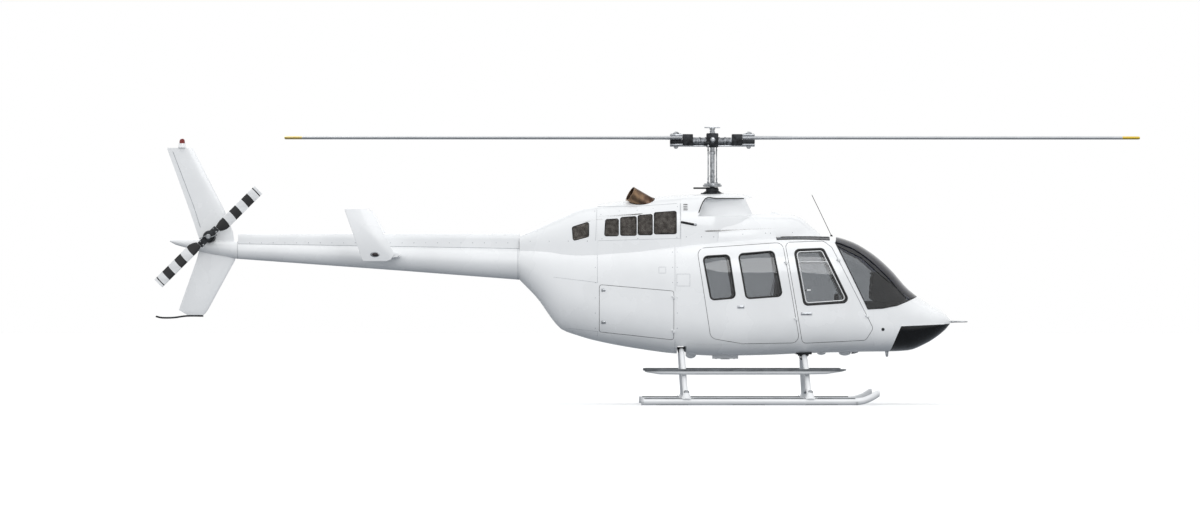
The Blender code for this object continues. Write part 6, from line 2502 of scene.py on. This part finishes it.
@dataclass
class LandingGear:
    """Skids, cross tubes, saddles, belly clamps and the long steps."""

    skid_y: float = 1.070
    skid_radius: float = 0.045
    skid_path: tuple[Flat, ...] = ((-0.070, 0.045), (0.020, 0.045), (1.300, 0.045),
                                   (2.600, 0.045), (2.700, 0.045), (2.800, 0.058),
                                   (2.905, 0.100), (2.990, 0.153))
    # Painted shadow: a grey band along the top of each skid stands for the dark shade line seen
    # there; these give its length, the height of its lower edge and its thickness.
    shade_band_x: Flat = (-0.060, 2.690)
    shade_band_z: float = 0.0780
    grip_depth: float = 0.0012
    tube_radius: float = 0.034
    tubes: tuple[tuple[str, Flat, float], ...] = (("front", (2.051, 2.105), 0.620),
                                                  ("rear", (0.437, 0.490), 0.708))
    step_x: Flat = (-0.050, 2.580)
    step_y: Flat = (0.800, 0.930)
    step_z: Flat = (0.395, 0.466)
    tread_foot: float = 0.436

    def leg(self, xs: Flat, level: float) -> list[Point]:
        """A whole cross tube's path, port to starboard, with smooth bends.

        Args:
            xs: Its places along X at the belly and at the ground.
            level: The height of its middle.

        Returns:
            The path's points.
        """
        half = []
        for y, z in ((0.0, level), (0.300, level), (0.400, level), (0.520, level - 0.025),
                     (0.640, level - 0.100), (0.960, 0.205), (1.035, 0.115), (1.062, 0.075)):
            share = max(0.0, (level - z) / level)
            half.append((xs[0] + (xs[1] - xs[0]) * share, y, z))
        path = list(reversed(half)) + [(x, -y, z) for x, y, z in half[1:]]
        return eased(path, 5)

    def leg_x(self, xs: Flat, level: float, z: float) -> float:
        """Place of a leg along X at a height."""
        return xs[0] + (xs[1] - xs[0]) * (level - z) / level

    def build_tubes(self) -> None:
        """The cross tubes with their saddles and bolts."""
        for word, xs, level in self.tubes:
            parts = [swept([self.leg(xs, level)], self.tube_radius, 20)]
            collars = []
            for side in Side:
                s = side.value
                foot = (xs[1], s * (self.skid_y - 0.004), 0.058)
                top = (xs[1], s * 1.030, 0.150)
                parts.append(carve(bar(foot, top, 0.074, 0.038, 32, 0.003), Cut.OUT,
                                   block((xs[1], s * self.skid_y, -0.08), (0.4, 0.4, 0.2), 0.0)))
                parts.append(block((xs[1], s * self.skid_y, 0.0905), (0.190, 0.062, 0.008),
                                   0.003))
                for dx in (-0.075, -0.045, 0.045, 0.075):
                    collars.append(bar((xs[1] + dx, s * self.skid_y, 0.088),
                                       (xs[1] + dx, s * self.skid_y, 0.101), 0.008, sides=6))
                collars.append(bar((xs[1] - 0.0005, s * 0.998, 0.170),
                                   (xs[1], s * 1.018, 0.146), 0.0385, sides=32, edge=0.003))
            hand_over(joined(parts), f"{word}_cross_tube_leg", GEAR_PAINT,
                      stands_for=[f"{word}_cross_tube"])
            hand_over(joined(collars), f"{word}_saddle_bolts", TURNED_STEEL)

    def build_skids(self) -> None:
        """The skid tubes with end caps and wear shoes."""
        for side in Side:
            path = [(x, y, max(z, self.skid_radius)) for x, y, z in
                    eased([(x, side.value * self.skid_y, z) for x, z in self.skid_path], 5)]
            skid = swept([path], self.skid_radius, 24)
            caps = [ball((-0.068, side.value * self.skid_y, 0.045), (0.0025, 0.043, 0.043)),
                    ball(path[-1], (0.024, 0.0435, 0.0435), 24, 12)]
            hand_over(joined([skid, *caps]), f"skid_tube_{side.word}", GEAR_PAINT,
                      stands_for=[f"skid_{side.word}"])
            shoes = [block((x, side.value * self.skid_y, 0.0035), (0.42, 0.040, 0.006), 0.002)
                     for x in (0.30, 1.30, 2.25)]
            hand_over(joined(shoes), f"skid_wear_shoes_{side.word}", DARK_METAL)
            # Painted shadow: a grey band in the anti-slip finish over the top of the skid tube,
            # standing for the shade line along it.
            low, high = self.shade_band_x
            y = side.value * self.skid_y
            shade_band = bar((low, y, self.skid_radius), (high, y, self.skid_radius),
                       self.skid_radius + self.grip_depth, sides=32)
            carve(shade_band, Cut.KEEP, block(((low + high) / 2, y, self.shade_band_z + 0.1),
                                        (high - low + 0.1, 0.2, 0.2), 0.0))
            hand_over(shade_band, f"skid_grip_strip_{side.word}", STEP_GRIT)

    def build_steps(self) -> None:
        """The steps: a painted beam with a grit tread, tapered ends and clamps on the legs."""
        y0, y1 = self.step_y
        z0, z1 = self.step_z
        x0, x1 = self.step_x
        rings = []
        for x, deep, wide in ((x0, 0.42, 0.50), (x0 + 0.03, 0.60, 0.80), (x0 + 0.20, 0.96, 1.0),
                              (x0 + 0.60, 1.0, 1.0), (x1 - 0.60, 1.0, 1.0), (x1 - 0.26, 0.90, 1.0),
                              (x1 - 0.06, 0.46, 0.70), (x1, 0.22, 0.30)):
            half = (y1 - y0) / 2 * wide
            deep *= z1 - z0
            ring = []
            for k in range(24):
                angle = math.pi * k / 23
                ring.append((x, -(y0 + y1) / 2 + half * power(math.cos(angle), 0.6),
                             z1 - deep * power(math.sin(angle), 0.7)))
            rings.append(ring)
        beam = loft(rings)
        tread = [(x0 + 0.03, -y1 + 0.012), (x1 - 0.08, -y1 + 0.014), (x1 - 0.02, -y1 + 0.050),
                 (x1 - 0.02, -y0 - 0.050), (x1 - 0.08, -y0 - 0.014), (x0 + 0.03, -y0 - 0.012)]
        upper = block(((x0 + x1) / 2, -(y0 + y1) / 2, self.tread_foot + 0.1),
                      (x1 - x0 + 0.2, 0.3, 0.2), 0.0)
        top = carve(copied(beam), Cut.KEEP, copied(upper))
        carve(beam, Cut.OUT, upper)
        plate = joined([prism(tread, z1 - 0.006, z1 + 0.0018, Plane.PLAN, 0.001), top])
        clamps = []
        for _, xs, level in self.tubes:
            x = self.leg_x(xs, level, (z0 + z1) / 2)
            clamps.append(block((x, -y0 + 0.020, (z0 + z1) / 2 - 0.002), (0.108, 0.095, 0.046),
                                0.006))
            clamps.append(bar((x - 0.038, -y0 + 0.010, z0 + 0.004),
                              (x - 0.038, -y0 + 0.010, z1 - 0.002), 0.009, sides=6))
            clamps.append(bar((x + 0.038, -y0 + 0.010, z0 + 0.004),
                              (x + 0.038, -y0 + 0.010, z1 - 0.002), 0.009, sides=6))
        for piece, name, finish, node in ((beam, "step_beam", GEAR_PAINT, "step"),
                                          (plate, "step_tread", STEP_GRIT, ""),
                                          (joined(clamps), "step_clamps", BARE_ALUMINIUM, "")):
            other = twin(piece)
            for item, side in ((piece, Side.RIGHT), (other, Side.LEFT)):
                hand_over(item, f"{name}_{side.word}", finish,
                          stands_for=[f"{node}_{side.word}"] if node else [])

    def build_clamps(self) -> None:
        """The clamps that hold the cross tubes under the belly."""
        parts = []
        for word, xs, level in self.tubes:
            for side in Side:
                y = side.value * (0.270 if word == "front" else 0.240)
                parts.append(bar((xs[0], y - 0.030, level), (xs[0], y + 0.030, level), 0.042,
                                 sides=32, edge=0.004))
                parts.append(block((xs[0], y, level + 0.030), (0.125, 0.052, 0.024), 0.005))
                if word == "front":
                    parts.append(block((xs[0], y, level + 0.050), (0.205, 0.074, 0.030), 0.006))
                for dx in (-0.050, 0.050):
                    parts.append(bar((xs[0] + dx, y, level + 0.010),
                                     (xs[0] + dx, y, level + 0.048), 0.008, sides=6))
        hand_over(joined(parts), "cross_tube_clamps", DARK_METAL)

    def build(self) -> None:
        """Build the whole gear."""
        self.build_tubes()
        self.build_skids()
        self.build_steps()
        self.build_clamps()


# Cabin


@dataclass
class SeatPlace:
    """One seat or bench: its name, node, back foot, middle, width, facing and back height."""

    name: str
    node: str
    x_back: float
    y: float
    width: float
    facing: float
    back_top: float
    pan_depth: float
    places: int = 1


@dataclass
class CabinInterior:
    """Seats with belts, instrument console, flight controls and the trimmed floor."""

    seats: tuple[SeatPlace, ...] = (
        SeatPlace("crew_seat_right", "crew_seat_right", 1.940, -0.300, 0.440, 1.0, 1.860, 0.540),
        SeatPlace("crew_seat_left", "crew_seat_left", 1.940, 0.300, 0.440, 1.0, 1.860, 0.540),
        SeatPlace("middle_bench", "middle_bench", 1.735, 0.0, 1.060, -1.0, 1.740, 0.420, 2),
        SeatPlace("rear_bench", "rear_bench", 0.660, 0.0, 1.020, 1.0, 1.880, 0.460, 3))
    console: Outline = ((2.930, 1.400), (2.955, 1.700), (2.985, 1.742), (3.060, 1.735),
                        (3.200, 1.610), (3.400, 1.400), (3.380, 1.340), (3.000, 1.340))
    console_half: float = 0.300
    floor_z: float = 0.8300
    lean: float = 0.070
    crown_power: int = 5
    seam_power: float = 0.35
    seam_depth: float = 0.20
    rim: float = 0.62
    rise: float = 0.38
    edge_roll: float = 0.07
    draw_in: float = 0.025

    def cushion(self, centre: Point, size: Point, turn: Point, channels: int) -> Object:
        """A crowned cushion with sewn channels, pulled in between its corners.

        Args:
            centre: Its middle.
            size: Its length, width and thickness.
            turn: Its turn in degrees.
            channels: Number of sewn channels across its length.

        Returns:
            The cushion.
        """
        rest()
        bpy.ops.mesh.primitive_cube_add(size=2.0)
        obj = bpy.context.object
        bpy.ops.object.mode_set(mode="EDIT")
        bpy.ops.mesh.select_all(action="SELECT")
        bpy.ops.mesh.subdivide(number_cuts=27)
        bpy.ops.object.mode_set(mode="OBJECT")
        for vertex in obj.data.vertices:
            x, y, z = vertex.co
            crown = (1 - abs(x) ** self.crown_power) * (1 - abs(y) ** self.crown_power)
            seam = abs(math.sin(math.pi * channels * (x + 1) / 2)) ** self.seam_power
            lift = self.rim + self.rise * crown * (1 - self.seam_depth + self.seam_depth * seam)
            round_off = 1 - self.edge_roll * abs(z) ** 3
            vertex.co = (x * round_off * (1 - self.draw_in * (1 - y * y)) * size[0] / 2,
                         y * round_off * (1 - self.draw_in * (1 - x * x)) * size[1] / 2,
                         z * lift * size[2] / 2)
        obj.rotation_euler = [math.radians(angle) for angle in turn]
        obj.location = centre
        return settle(obj)

    def build_seat(self, seat: SeatPlace) -> None:
        """One seat: box, cushions for each place, frame and belts.

        Args:
            seat: What it is.
        """
        f = seat.facing
        share = seat.width / seat.places
        lean_deg = -f * math.degrees(math.atan2(self.lean, seat.back_top - 1.05))
        back_length = (seat.back_top - 1.06) / math.cos(math.radians(lean_deg))
        pads, straps, buckles = [], [], []
        for k in range(seat.places):
            y = seat.y - seat.width / 2 + share * (k + 0.5)
            pads.append(self.cushion((seat.x_back + f * (seat.pan_depth / 2 + 0.045), y, 1.080),
                                     (seat.pan_depth - 0.10, share - 0.012, 0.098),
                                     (0, 0, 0), 4))
            middle = (seat.x_back + f * (0.055 - self.lean / 2), y,
                      1.055 + (seat.back_top - 1.05) / 2)
            pads.append(self.cushion(middle, (back_length - 0.015, share - 0.012, 0.105),
                                     (0, 90 + lean_deg, 0), 5))
            for dy in (-0.080, 0.080):
                top = Vector((seat.x_back + f * (0.118 - self.lean), y + dy * 0.7,
                              seat.back_top - 0.04))
                low = Vector((seat.x_back + f * 0.150, y + dy, 1.150))
                straps.append(self.strap([top, top.lerp(low, 0.5) + Vector((f * 0.012, 0, 0)),
                                          low], 0.044))
            lap = [Vector((seat.x_back + f * 0.125, y - share / 2 + 0.03, 1.120)),
                   Vector((seat.x_back + f * 0.190, y - 0.05, 1.155)),
                   Vector((seat.x_back + f * 0.190, y + 0.05, 1.155)),
                   Vector((seat.x_back + f * 0.125, y + share / 2 - 0.03, 1.120))]
            straps.append(self.strap(lap, 0.044, upright=False))
            buckles.append(block((seat.x_back + f * 0.190, y, 1.160), (0.050, 0.068, 0.016),
                                 0.004))
        for k, pad in enumerate(pads):
            part = "back" if k % 2 else "pan"
            piece = hand_over(pad, f"{seat.name}_{part}_cushion_{k // 2 + 1}", HIDE,
                              stands_for=[seat.node] if k == 0 else [], smooth=60.0)
        hand_over(joined(straps), f"{seat.name}_belts", WEBBING)
        hand_over(joined(buckles), f"{seat.name}_buckles", BARE_ALUMINIUM)
        x_stand = seat.x_back + f * (seat.pan_depth / 2 - 0.005)
        stand = block((x_stand, seat.y, (self.floor_z + 1.030) / 2 + 0.001),
                      (seat.pan_depth - 0.115, seat.width - 0.064, 1.030 - self.floor_z - 0.002),
                      0.010)
        board = block((seat.x_back + f * (0.006 - self.lean / 2), seat.y,
                       (1.05 + seat.back_top) / 2), (0.010, seat.width - 0.004, back_length),
                      0.003, (0, lean_deg, 0))
        hand_over(joined([stand, board]), f"{seat.name}_frame", TRIM_PANEL)

    def strap(self, points: Sequence[Vector], width: float, upright: bool = True) -> Object:
        """A flat strap along points.

        Args:
            points: The points it passes.
            width: Its width.
            upright: Whether its width runs along Y, and else along X.

        Returns:
            The strap.
        """
        across = Vector((0.0, width / 2, 0.0)) if upright else Vector((width / 2, 0.0, 0.0))
        path = [Vector(p) for p in eased([tuple(p) for p in points], 6)]
        band = formed([[tuple(p - across), tuple(p), tuple(p + across)] for p in path],
                      wrap=False)
        wall = band.modifiers.new("thickness", "SOLIDIFY")
        wall.thickness = 0.0022
        wall.offset = 0.0
        return apply_modifiers(band)

    def build_console(self) -> None:
        """The panel under its glareshield, the pedestal, and the dials and switches."""
        body = prism(rounded(self.console, 0.012, 3), -self.console_half, self.console_half)
        pedestal = carve(block((3.080, 0.0, 1.0955), (0.440, 0.220, 0.529), 0.0), Cut.KEEP,
                         HULL.solid(2.70, 3.40, HULL.wall + SEAT_GAP))
        carve(body, Cut.JOIN, pedestal)
        softened(body, 0.004)
        hand_over(body, "instrument_console_body", CRINKLE, stands_for=["instrument_console"])
        hood = prism(rounded(((2.925, 1.705), (2.960, 1.744), (3.064, 1.738), (3.100, 1.702),
                              (3.060, 1.722), (2.975, 1.728)), 0.006, 2),
                     -self.console_half - 0.004, self.console_half + 0.004)
        hand_over(hood, "glareshield_lip", SEAL_RUBBER)
        normal = Vector((-0.9966, 0.0, 0.083))
        rings, faces, marks = [], [], []
        for row, (z, radius, ys) in enumerate((
                (1.645, 0.036, (-0.235, -0.145, -0.055, 0.055, 0.145, 0.235)),
                (1.555, 0.036, (-0.235, -0.145, -0.055, 0.055, 0.145, 0.235)),
                (1.475, 0.026, (-0.235, -0.165, -0.095, 0.095, 0.165, 0.235)))):
            for k, y in enumerate(ys):
                at = Vector((2.930 + (z - 1.400) * 0.0833, y, z))
                rings.append(turned(((-0.002, radius + 0.004), (0.005, radius + 0.004),
                                     (0.007, radius), (0.003, radius - 0.002)),
                                    tuple(at), tuple(normal), 28))
                faces.append(bar(tuple(at + normal * 0.002), tuple(at + normal * 0.0042),
                                 radius - 0.0015, sides=28))
                for tick in range(12):
                    angle = tick * math.pi / 6
                    spoke = Vector((0.0, math.cos(angle), math.sin(angle)))
                    marks.append(block(tuple(at + normal * 0.0046 + spoke * (radius - 0.008)),
                                       (0.0008, 0.0020, 0.0060), 0.0,
                                       (90 - math.degrees(angle), 0, 0)))
                angle = 1.1 * k + 2.3 * row
                hand = Vector((0.0, math.cos(angle), math.sin(angle)))
                marks.append(block(tuple(at + normal * 0.0048 + hand * radius * 0.30),
                                   (0.0008, 0.0024, radius * 0.62), 0.0,
                                   (90 - math.degrees(angle), 0, 0)))
        hand_over(joined(rings), "dial_bezels", CRINKLE)
        hand_over(joined(faces), "dial_faces", DIAL_FACE)
        hand_over(joined(marks), "dial_marks", DIAL_MARK)
        keys = [block((2.857, y, z), (0.008, 0.014, 0.008), 0.0015)
                for z in (1.05, 1.10, 1.15, 1.20, 1.25) for y in (-0.075, -0.04, 0.0, 0.04, 0.075)]
        hand_over(joined(keys), "pedestal_keys", TRIM_PANEL)

    def build_controls(self) -> None:
        """Cyclic sticks, collective levers and pedals for both seats."""
        rods, grips = [], []
        for side in Side:
            y = side.value * 0.300
            stick = eased([(2.560, y, 0.835), (2.600, y, 0.980), (2.570, y, 1.150),
                           (2.500, y, 1.290), (2.490, y, 1.380)], 6)
            rods.append(swept([stick], 0.0115, 12))
            grips.append(ball((2.489, y, 1.400), (0.021, 0.021, 0.058), 24, 14))
            grips.append(turned(((0.835, 0.050), (0.850, 0.046), (0.870, 0.030), (0.900, 0.018)),
                                (2.562, y, 0.0), (0.08, 0.0, 1.0), 24))
            lever = [(2.020, y - 0.235, 0.900), (2.300, y - 0.235, 1.080),
                     (2.420, y - 0.235, 1.150)]
            rods.append(swept([lever], 0.013, 12))
            grips.append(bar(lever[1], lever[2], 0.019, sides=20, edge=0.003))
            for dy in (-0.090, 0.090):
                rods.append(swept([[(2.990, y + dy, 0.835), (2.930, y + dy, 0.960),
                                    (2.915, y + dy, 0.990)]], 0.009, 10))
                grips.append(block((2.912, y + dy, 1.005), (0.014, 0.085, 0.085), 0.006,
                                   (0, -20, 0)))
        hand_over(joined(rods), "flight_control_rods", BARE_ALUMINIUM)
        hand_over(joined(grips), "flight_control_grips", SEAL_RUBBER)

    def build_trim(self) -> None:
        """New finishes for the floor, the bulkhead and the engine block."""
        for node, finish in (("cabin_floor", CARPET), ("aft_bulkhead", TRIM_PANEL),
                             ("engine_block", ENGINE_METAL)):
            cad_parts[node].data.materials[0] = finish.material()

    def build(self) -> None:
        """Build the whole interior."""
        for seat in self.seats:
            self.build_seat(seat)
        self.build_console()
        self.build_controls()
        self.build_trim()


# Small fittings


@dataclass
class Fittings:
    """Panel seams, fasteners, aerials, ports, the pitot tube and what hangs under the belly."""

    seam: float = 0.0018
    seam_lift: float = 0.0002
    hull_step: float = 0.05
    cowl_step: float = 0.04
    hull_lines: tuple[Outline, ...] = (
        ((-0.668, 2.060), (-0.668, 1.600)), ((-0.668, 0.955), (-0.668, 0.860)),
        ((0.348, 2.100), (0.348, 1.490)), ((0.348, 0.850), (0.348, 0.700)),
        ((-1.244, 1.672), (-0.660, 1.600)), ((-1.081, 1.003), (-0.655, 0.957)),
        ((0.372, 1.711), (0.543, 1.711), (0.543, 1.554), (0.372, 1.554), (0.372, 1.711)),
        ((0.137, 1.803), (0.228, 1.803), (0.228, 1.724), (0.137, 1.724), (0.137, 1.803)))
    aft_lines: tuple[Outline, ...] = (((-0.690, 2.150), (-0.675, 2.560)),)
    engine_lines: tuple[Outline, ...] = (
        ((-0.661, 2.600), (-0.200, 2.600), (0.380, 2.640)), ((-0.655, 2.150), (0.420, 2.180)),
        ((0.420, 2.180), (0.420, 2.640)))
    head_lines: tuple[Outline, ...] = (((0.429, 2.640), (0.429, 2.170)),)
    fairing_lines: tuple[Outline, ...] = (((0.920, 2.180), (0.925, 2.440)),)
    fastener: float = 0.0065

    def build_seams(self) -> None:
        """Panel seams of the fuselage sides and the cowls."""
        paths = []
        cowls = UpperCowls()
        for side in Side:
            paths += [HULL.ribbon(line, side, self.seam_lift, self.hull_step, closed=False)
                      for line in self.hull_lines]
            for form, lines in ((cowls.aft, self.aft_lines), (cowls.engine, self.engine_lines),
                                (cowls.head, self.head_lines),
                                (cowls.fairing, self.fairing_lines)):
                paths += [[form.beside(x, z, side, self.seam_lift)
                           for x, z in stepped(line, self.cowl_step)] for line in lines]
        hand_over(swept(paths, self.seam, 6), "panel_seams", GAP_SHADOW)

    def build_fasteners(self) -> None:
        """Quarter-turn fasteners along the cowl edges and screws beside the aft fuselage's panel
        seams.
        """
        cowls = UpperCowls()
        places = []
        for side in Side:
            def add(form: CowlForm, x: float, z: float) -> None:
                """Place a fastener square to a cowl's side.

                Args:
                    form: The cowl's form.
                    x: Its place along X.
                    z: Its height.
                """
                at = Vector(form.beside(x, z, side))
                above = Vector(form.beside(x, z + 0.01, side))
                ahead = Vector(form.beside(x + 0.01, z, side))
                normal = (ahead - at).cross(above - at).normalized()
                normal *= math.copysign(1.0, normal.y * side.value)
                places.append((tuple(at), tuple(normal)))

            for x, z in ((-0.608, 2.175), (-0.136, 2.180), (0.376, 2.195), (-0.621, 2.493),
                         (-0.380, 2.540), (-0.145, 2.550), (0.065, 2.575), (0.385, 2.600)):
                add(cowls.engine, x, z)
            add(cowls.aft, -0.700, 2.540)
            for x in (-1.55, -1.30, -1.05, -0.80):
                add(cowls.aft, x, 2.145)
            for x, z in ((1.243, 2.235), (1.545, 2.250), (1.610, 2.250), (1.900, 2.260)):
                add(cowls.fairing, x, z)
            for x in (0.50, 0.70, 0.86):
                add(cowls.head, x, 2.200)
            for z in (1.00, 1.20, 1.40, 1.60, 1.80, 2.00):
                for x in (-0.695, 0.318, 0.378):
                    if x == 0.318 and side is Side.RIGHT and z < 1.6:
                        continue
                    places.append((HULL.beside(x, z, side), HULL.outward(x, z, side)))
        stud = turned(((-0.002, self.fastener), (0.0006, self.fastener), (0.0016, 0.004)),
                      (0, 0, 0), (0, 0, 1), 10)
        hand_over(scattered(stud, places), "cowl_fasteners", BARE_ALUMINIUM)

    def build_aerials(self) -> None:
        """The roof whip, the belly aerial, the pitot tube and the static ports."""
        whip = joined([bar((2.432, 0.0, 2.195), (2.418, 0.0, 2.232), 0.020, 0.012, 20, 0.003),
                       swept([eased([(2.421, 0.0, 2.225), (2.300, 0.0, 2.480),
                                     (2.166, 0.0, 2.757)], 6)], 0.0040, 8)])
        hand_over(whip, "roof_whip_aerial", SEAL_RUBBER)
        fin = prism(rounded(((3.127, 0.700), (3.179, 0.700), (3.172, 0.622), (3.142, 0.622)),
                            0.008, 3), -0.004, 0.004, edge=0.002)
        hand_over(fin, "belly_blade_aerial", BARE_ALUMINIUM)
        probe = turned(((3.9995, 0.013), (4.040, 0.0125), (4.050, 0.0105), (4.180, 0.0095),
                        (4.210, 0.0075), (4.2215, 0.0050)), (0.0, 0.0, 1.085), (1.0, 0.0, 0.0), 24)
        hand_over(probe, "pitot_probe", TURNED_STEEL, stands_for=["pitot_tube"])
        ports = []
        for side in Side:
            at = HULL.beside(3.076, 0.985, side, -0.001)
            out = Vector(HULL.outward(3.076, 0.985, side))
            ports.append(bar(at, tuple(Vector(at) + out * 0.0035), 0.022, 0.020, 28, 0.001))
        hand_over(joined(ports), "static_ports", DARK_METAL)

    def build_belly(self) -> None:
        """Landing lamp, fairings and plate bolts under the belly."""
        parts = [ball((2.600, 0.0, 0.676), (0.080, 0.060, 0.038), 32, 16),
                 ball((2.290, 0.0, 0.680), (0.060, 0.060, 0.034), 32, 16),
                 ball((0.570, 0.140, 0.650), (0.070, 0.045, 0.050), 32, 16)]
        hand_over(joined(parts), "belly_fairings", GEAR_PAINT)
        lamp = turned(((-0.004, 0.045), (0.010, 0.050), (0.020, 0.046), (0.024, 0.020)),
                      (2.730, 0.0, 0.690), (0.25, 0.0, -1.0), 32)
        hand_over(lamp, "landing_lamp_lens", CLEAR_LENS)
        hook = joined([block((1.020, 0.0, 0.5945), (0.120, 0.050, 0.010), 0.003),
                       bar((0.900, 0.090, 0.5935), (0.900, 0.090, 0.600), 0.012, sides=6),
                       bar((1.140, 0.090, 0.5935), (1.140, 0.090, 0.600), 0.012, sides=6),
                       bar((0.900, -0.090, 0.5935), (0.900, -0.090, 0.600), 0.012, sides=6),
                       bar((1.140, -0.090, 0.5935), (1.140, -0.090, 0.600), 0.012, sides=6)])
        hand_over(hook, "belly_plate_bolts", DARK_METAL)

    def build(self) -> None:
        """Build every fitting."""
        self.build_seams()
        self.build_fasteners()
        self.build_aerials()
        self.build_belly()


# Studio


@dataclass
class Studio:
    """A plain pale floor, soft light and the camera at the photograph's angle."""

    camera_place: Point = (-1.40, -93.0, 1.25)
    camera_target: Point = (-0.630, 0.0, 1.853)
    lens_mm: float = 211.5
    floor_half: float = 260.0
    floor_colour: str = "f4f5f6"
    sky_high: str = "ffffff"
    sky_low: str = "878c92"
    sky_strength: float = 1.0
    sky_stops: Flat = (0.38, 0.49)
    floor_drop: float = 0.001
    floor_roughness: float = 0.9
    floor_specular: float = 0.1
    lamp_target: Point = (0.0, 0.0, 1.5)
    sun_height: float = 30.0
    view_end: float = 600.0
    lamps: tuple[tuple[Point, float, float], ...] = (
        ((5.0, -30.0, 16.0), 16.0, 2200.0), ((-12.0, 24.0, 18.0), 18.0, 1600.0))
    sun_strength: float = 0.55
    sun_angle_deg: float = 100.0

    def build_floor(self) -> None:
        """The floor, marked as part of the stage."""
        rest()
        bpy.ops.mesh.primitive_plane_add(size=2 * self.floor_half,
                                         location=(0.0, 0.0, -self.floor_drop))
        floor = settle(bpy.context.object)
        floor.name = "studio_floor"
        made = bpy.data.materials.new("studio_floor_paint")
        made.use_nodes = True
        shader = made.node_tree.nodes["Principled BSDF"]
        shader.inputs["Base Color"].default_value = linear(self.floor_colour)
        shader.inputs["Roughness"].default_value = self.floor_roughness
        shader.inputs["Specular IOR Level"].default_value = self.floor_specular
        floor.data.materials.append(made)
        floor.visible_diffuse = False
        floor.visible_glossy = False

    def build_sky(self) -> None:
        """An even white surround that darkens below the floor line, so that undersides shade."""
        world = bpy.data.worlds.new("studio_surround")
        bpy.context.scene.world = world
        world.use_nodes = True
        tree = world.node_tree
        place = add_node(tree, "ShaderNodeTexCoord")
        split = add_node(tree, "ShaderNodeSeparateXYZ", links={0: place.outputs["Generated"]})
        share = add_node(tree, "ShaderNodeMapRange", {"From Min": -1.0, "From Max": 1.0},
                         {"Value": split.outputs["Z"]})
        ramp = add_node(tree, "ShaderNodeValToRGB", links={"Fac": share.outputs["Result"]})
        colours = (self.sky_low, self.sky_high)
        for stop, position, colour in zip(ramp.color_ramp.elements, self.sky_stops, colours):
            stop.position = position
            stop.color = linear(colour)
        tree.links.new(ramp.outputs["Color"], tree.nodes["Background"].inputs["Color"])
        tree.nodes["Background"].inputs["Strength"].default_value = self.sky_strength

    def build_lamps(self) -> None:
        """Large soft lamps, each aimed at the middle of the machine."""
        for place, size, power_w in self.lamps:
            rest()
            bpy.ops.object.light_add(type="AREA", location=place)
            lamp = bpy.context.object
            lamp.data.shape = "DISK"
            lamp.data.size = size
            lamp.data.energy = power_w
            aim = Vector(self.lamp_target) - Vector(place)
            lamp.rotation_euler = aim.to_track_quat("-Z", "Y").to_euler()
        rest()
        bpy.ops.object.light_add(type="SUN", location=(0.0, 0.0, self.sun_height))
        sun = bpy.context.object
        sun.data.energy = self.sun_strength
        sun.data.angle = math.radians(self.sun_angle_deg)

    def build_camera(self) -> None:
        """The camera, far off with a long lens as in the photograph."""
        rest()
        bpy.ops.object.camera_add(location=self.camera_place)
        camera = bpy.context.object
        aim = Vector(self.camera_target) - Vector(self.camera_place)
        camera.rotation_euler = aim.to_track_quat("-Z", "Y").to_euler()
        camera.data.lens = self.lens_mm
        camera.data.clip_end = self.view_end
        bpy.context.scene.camera = camera
        bpy.context.scene.view_settings.view_transform = "Standard"

    def build(self) -> None:
        """Set up the whole studio."""
        self.build_floor()
        self.build_sky()
        self.build_lamps()
        self.build_camera()


def main() -> None:
    """Build each sub-assembly in turn, then the studio."""
    logging.basicConfig(level=logging.INFO, format="%(message)s")
    assemblies = (FuselageShells(OPENINGS), CabinDoors(OPENINGS), Glazing(OPENINGS), UpperCowls(),
                  TailBoom(), TailFeathers(), MainRotor(), TailRotor(), LandingGear(),
                  CabinInterior(), Fittings(), Studio())
    for assembly in assemblies:
        LOG.info("Building %s", type(assembly).__name__)
        assembly.build()


if __name__ == "__main__":
    main()
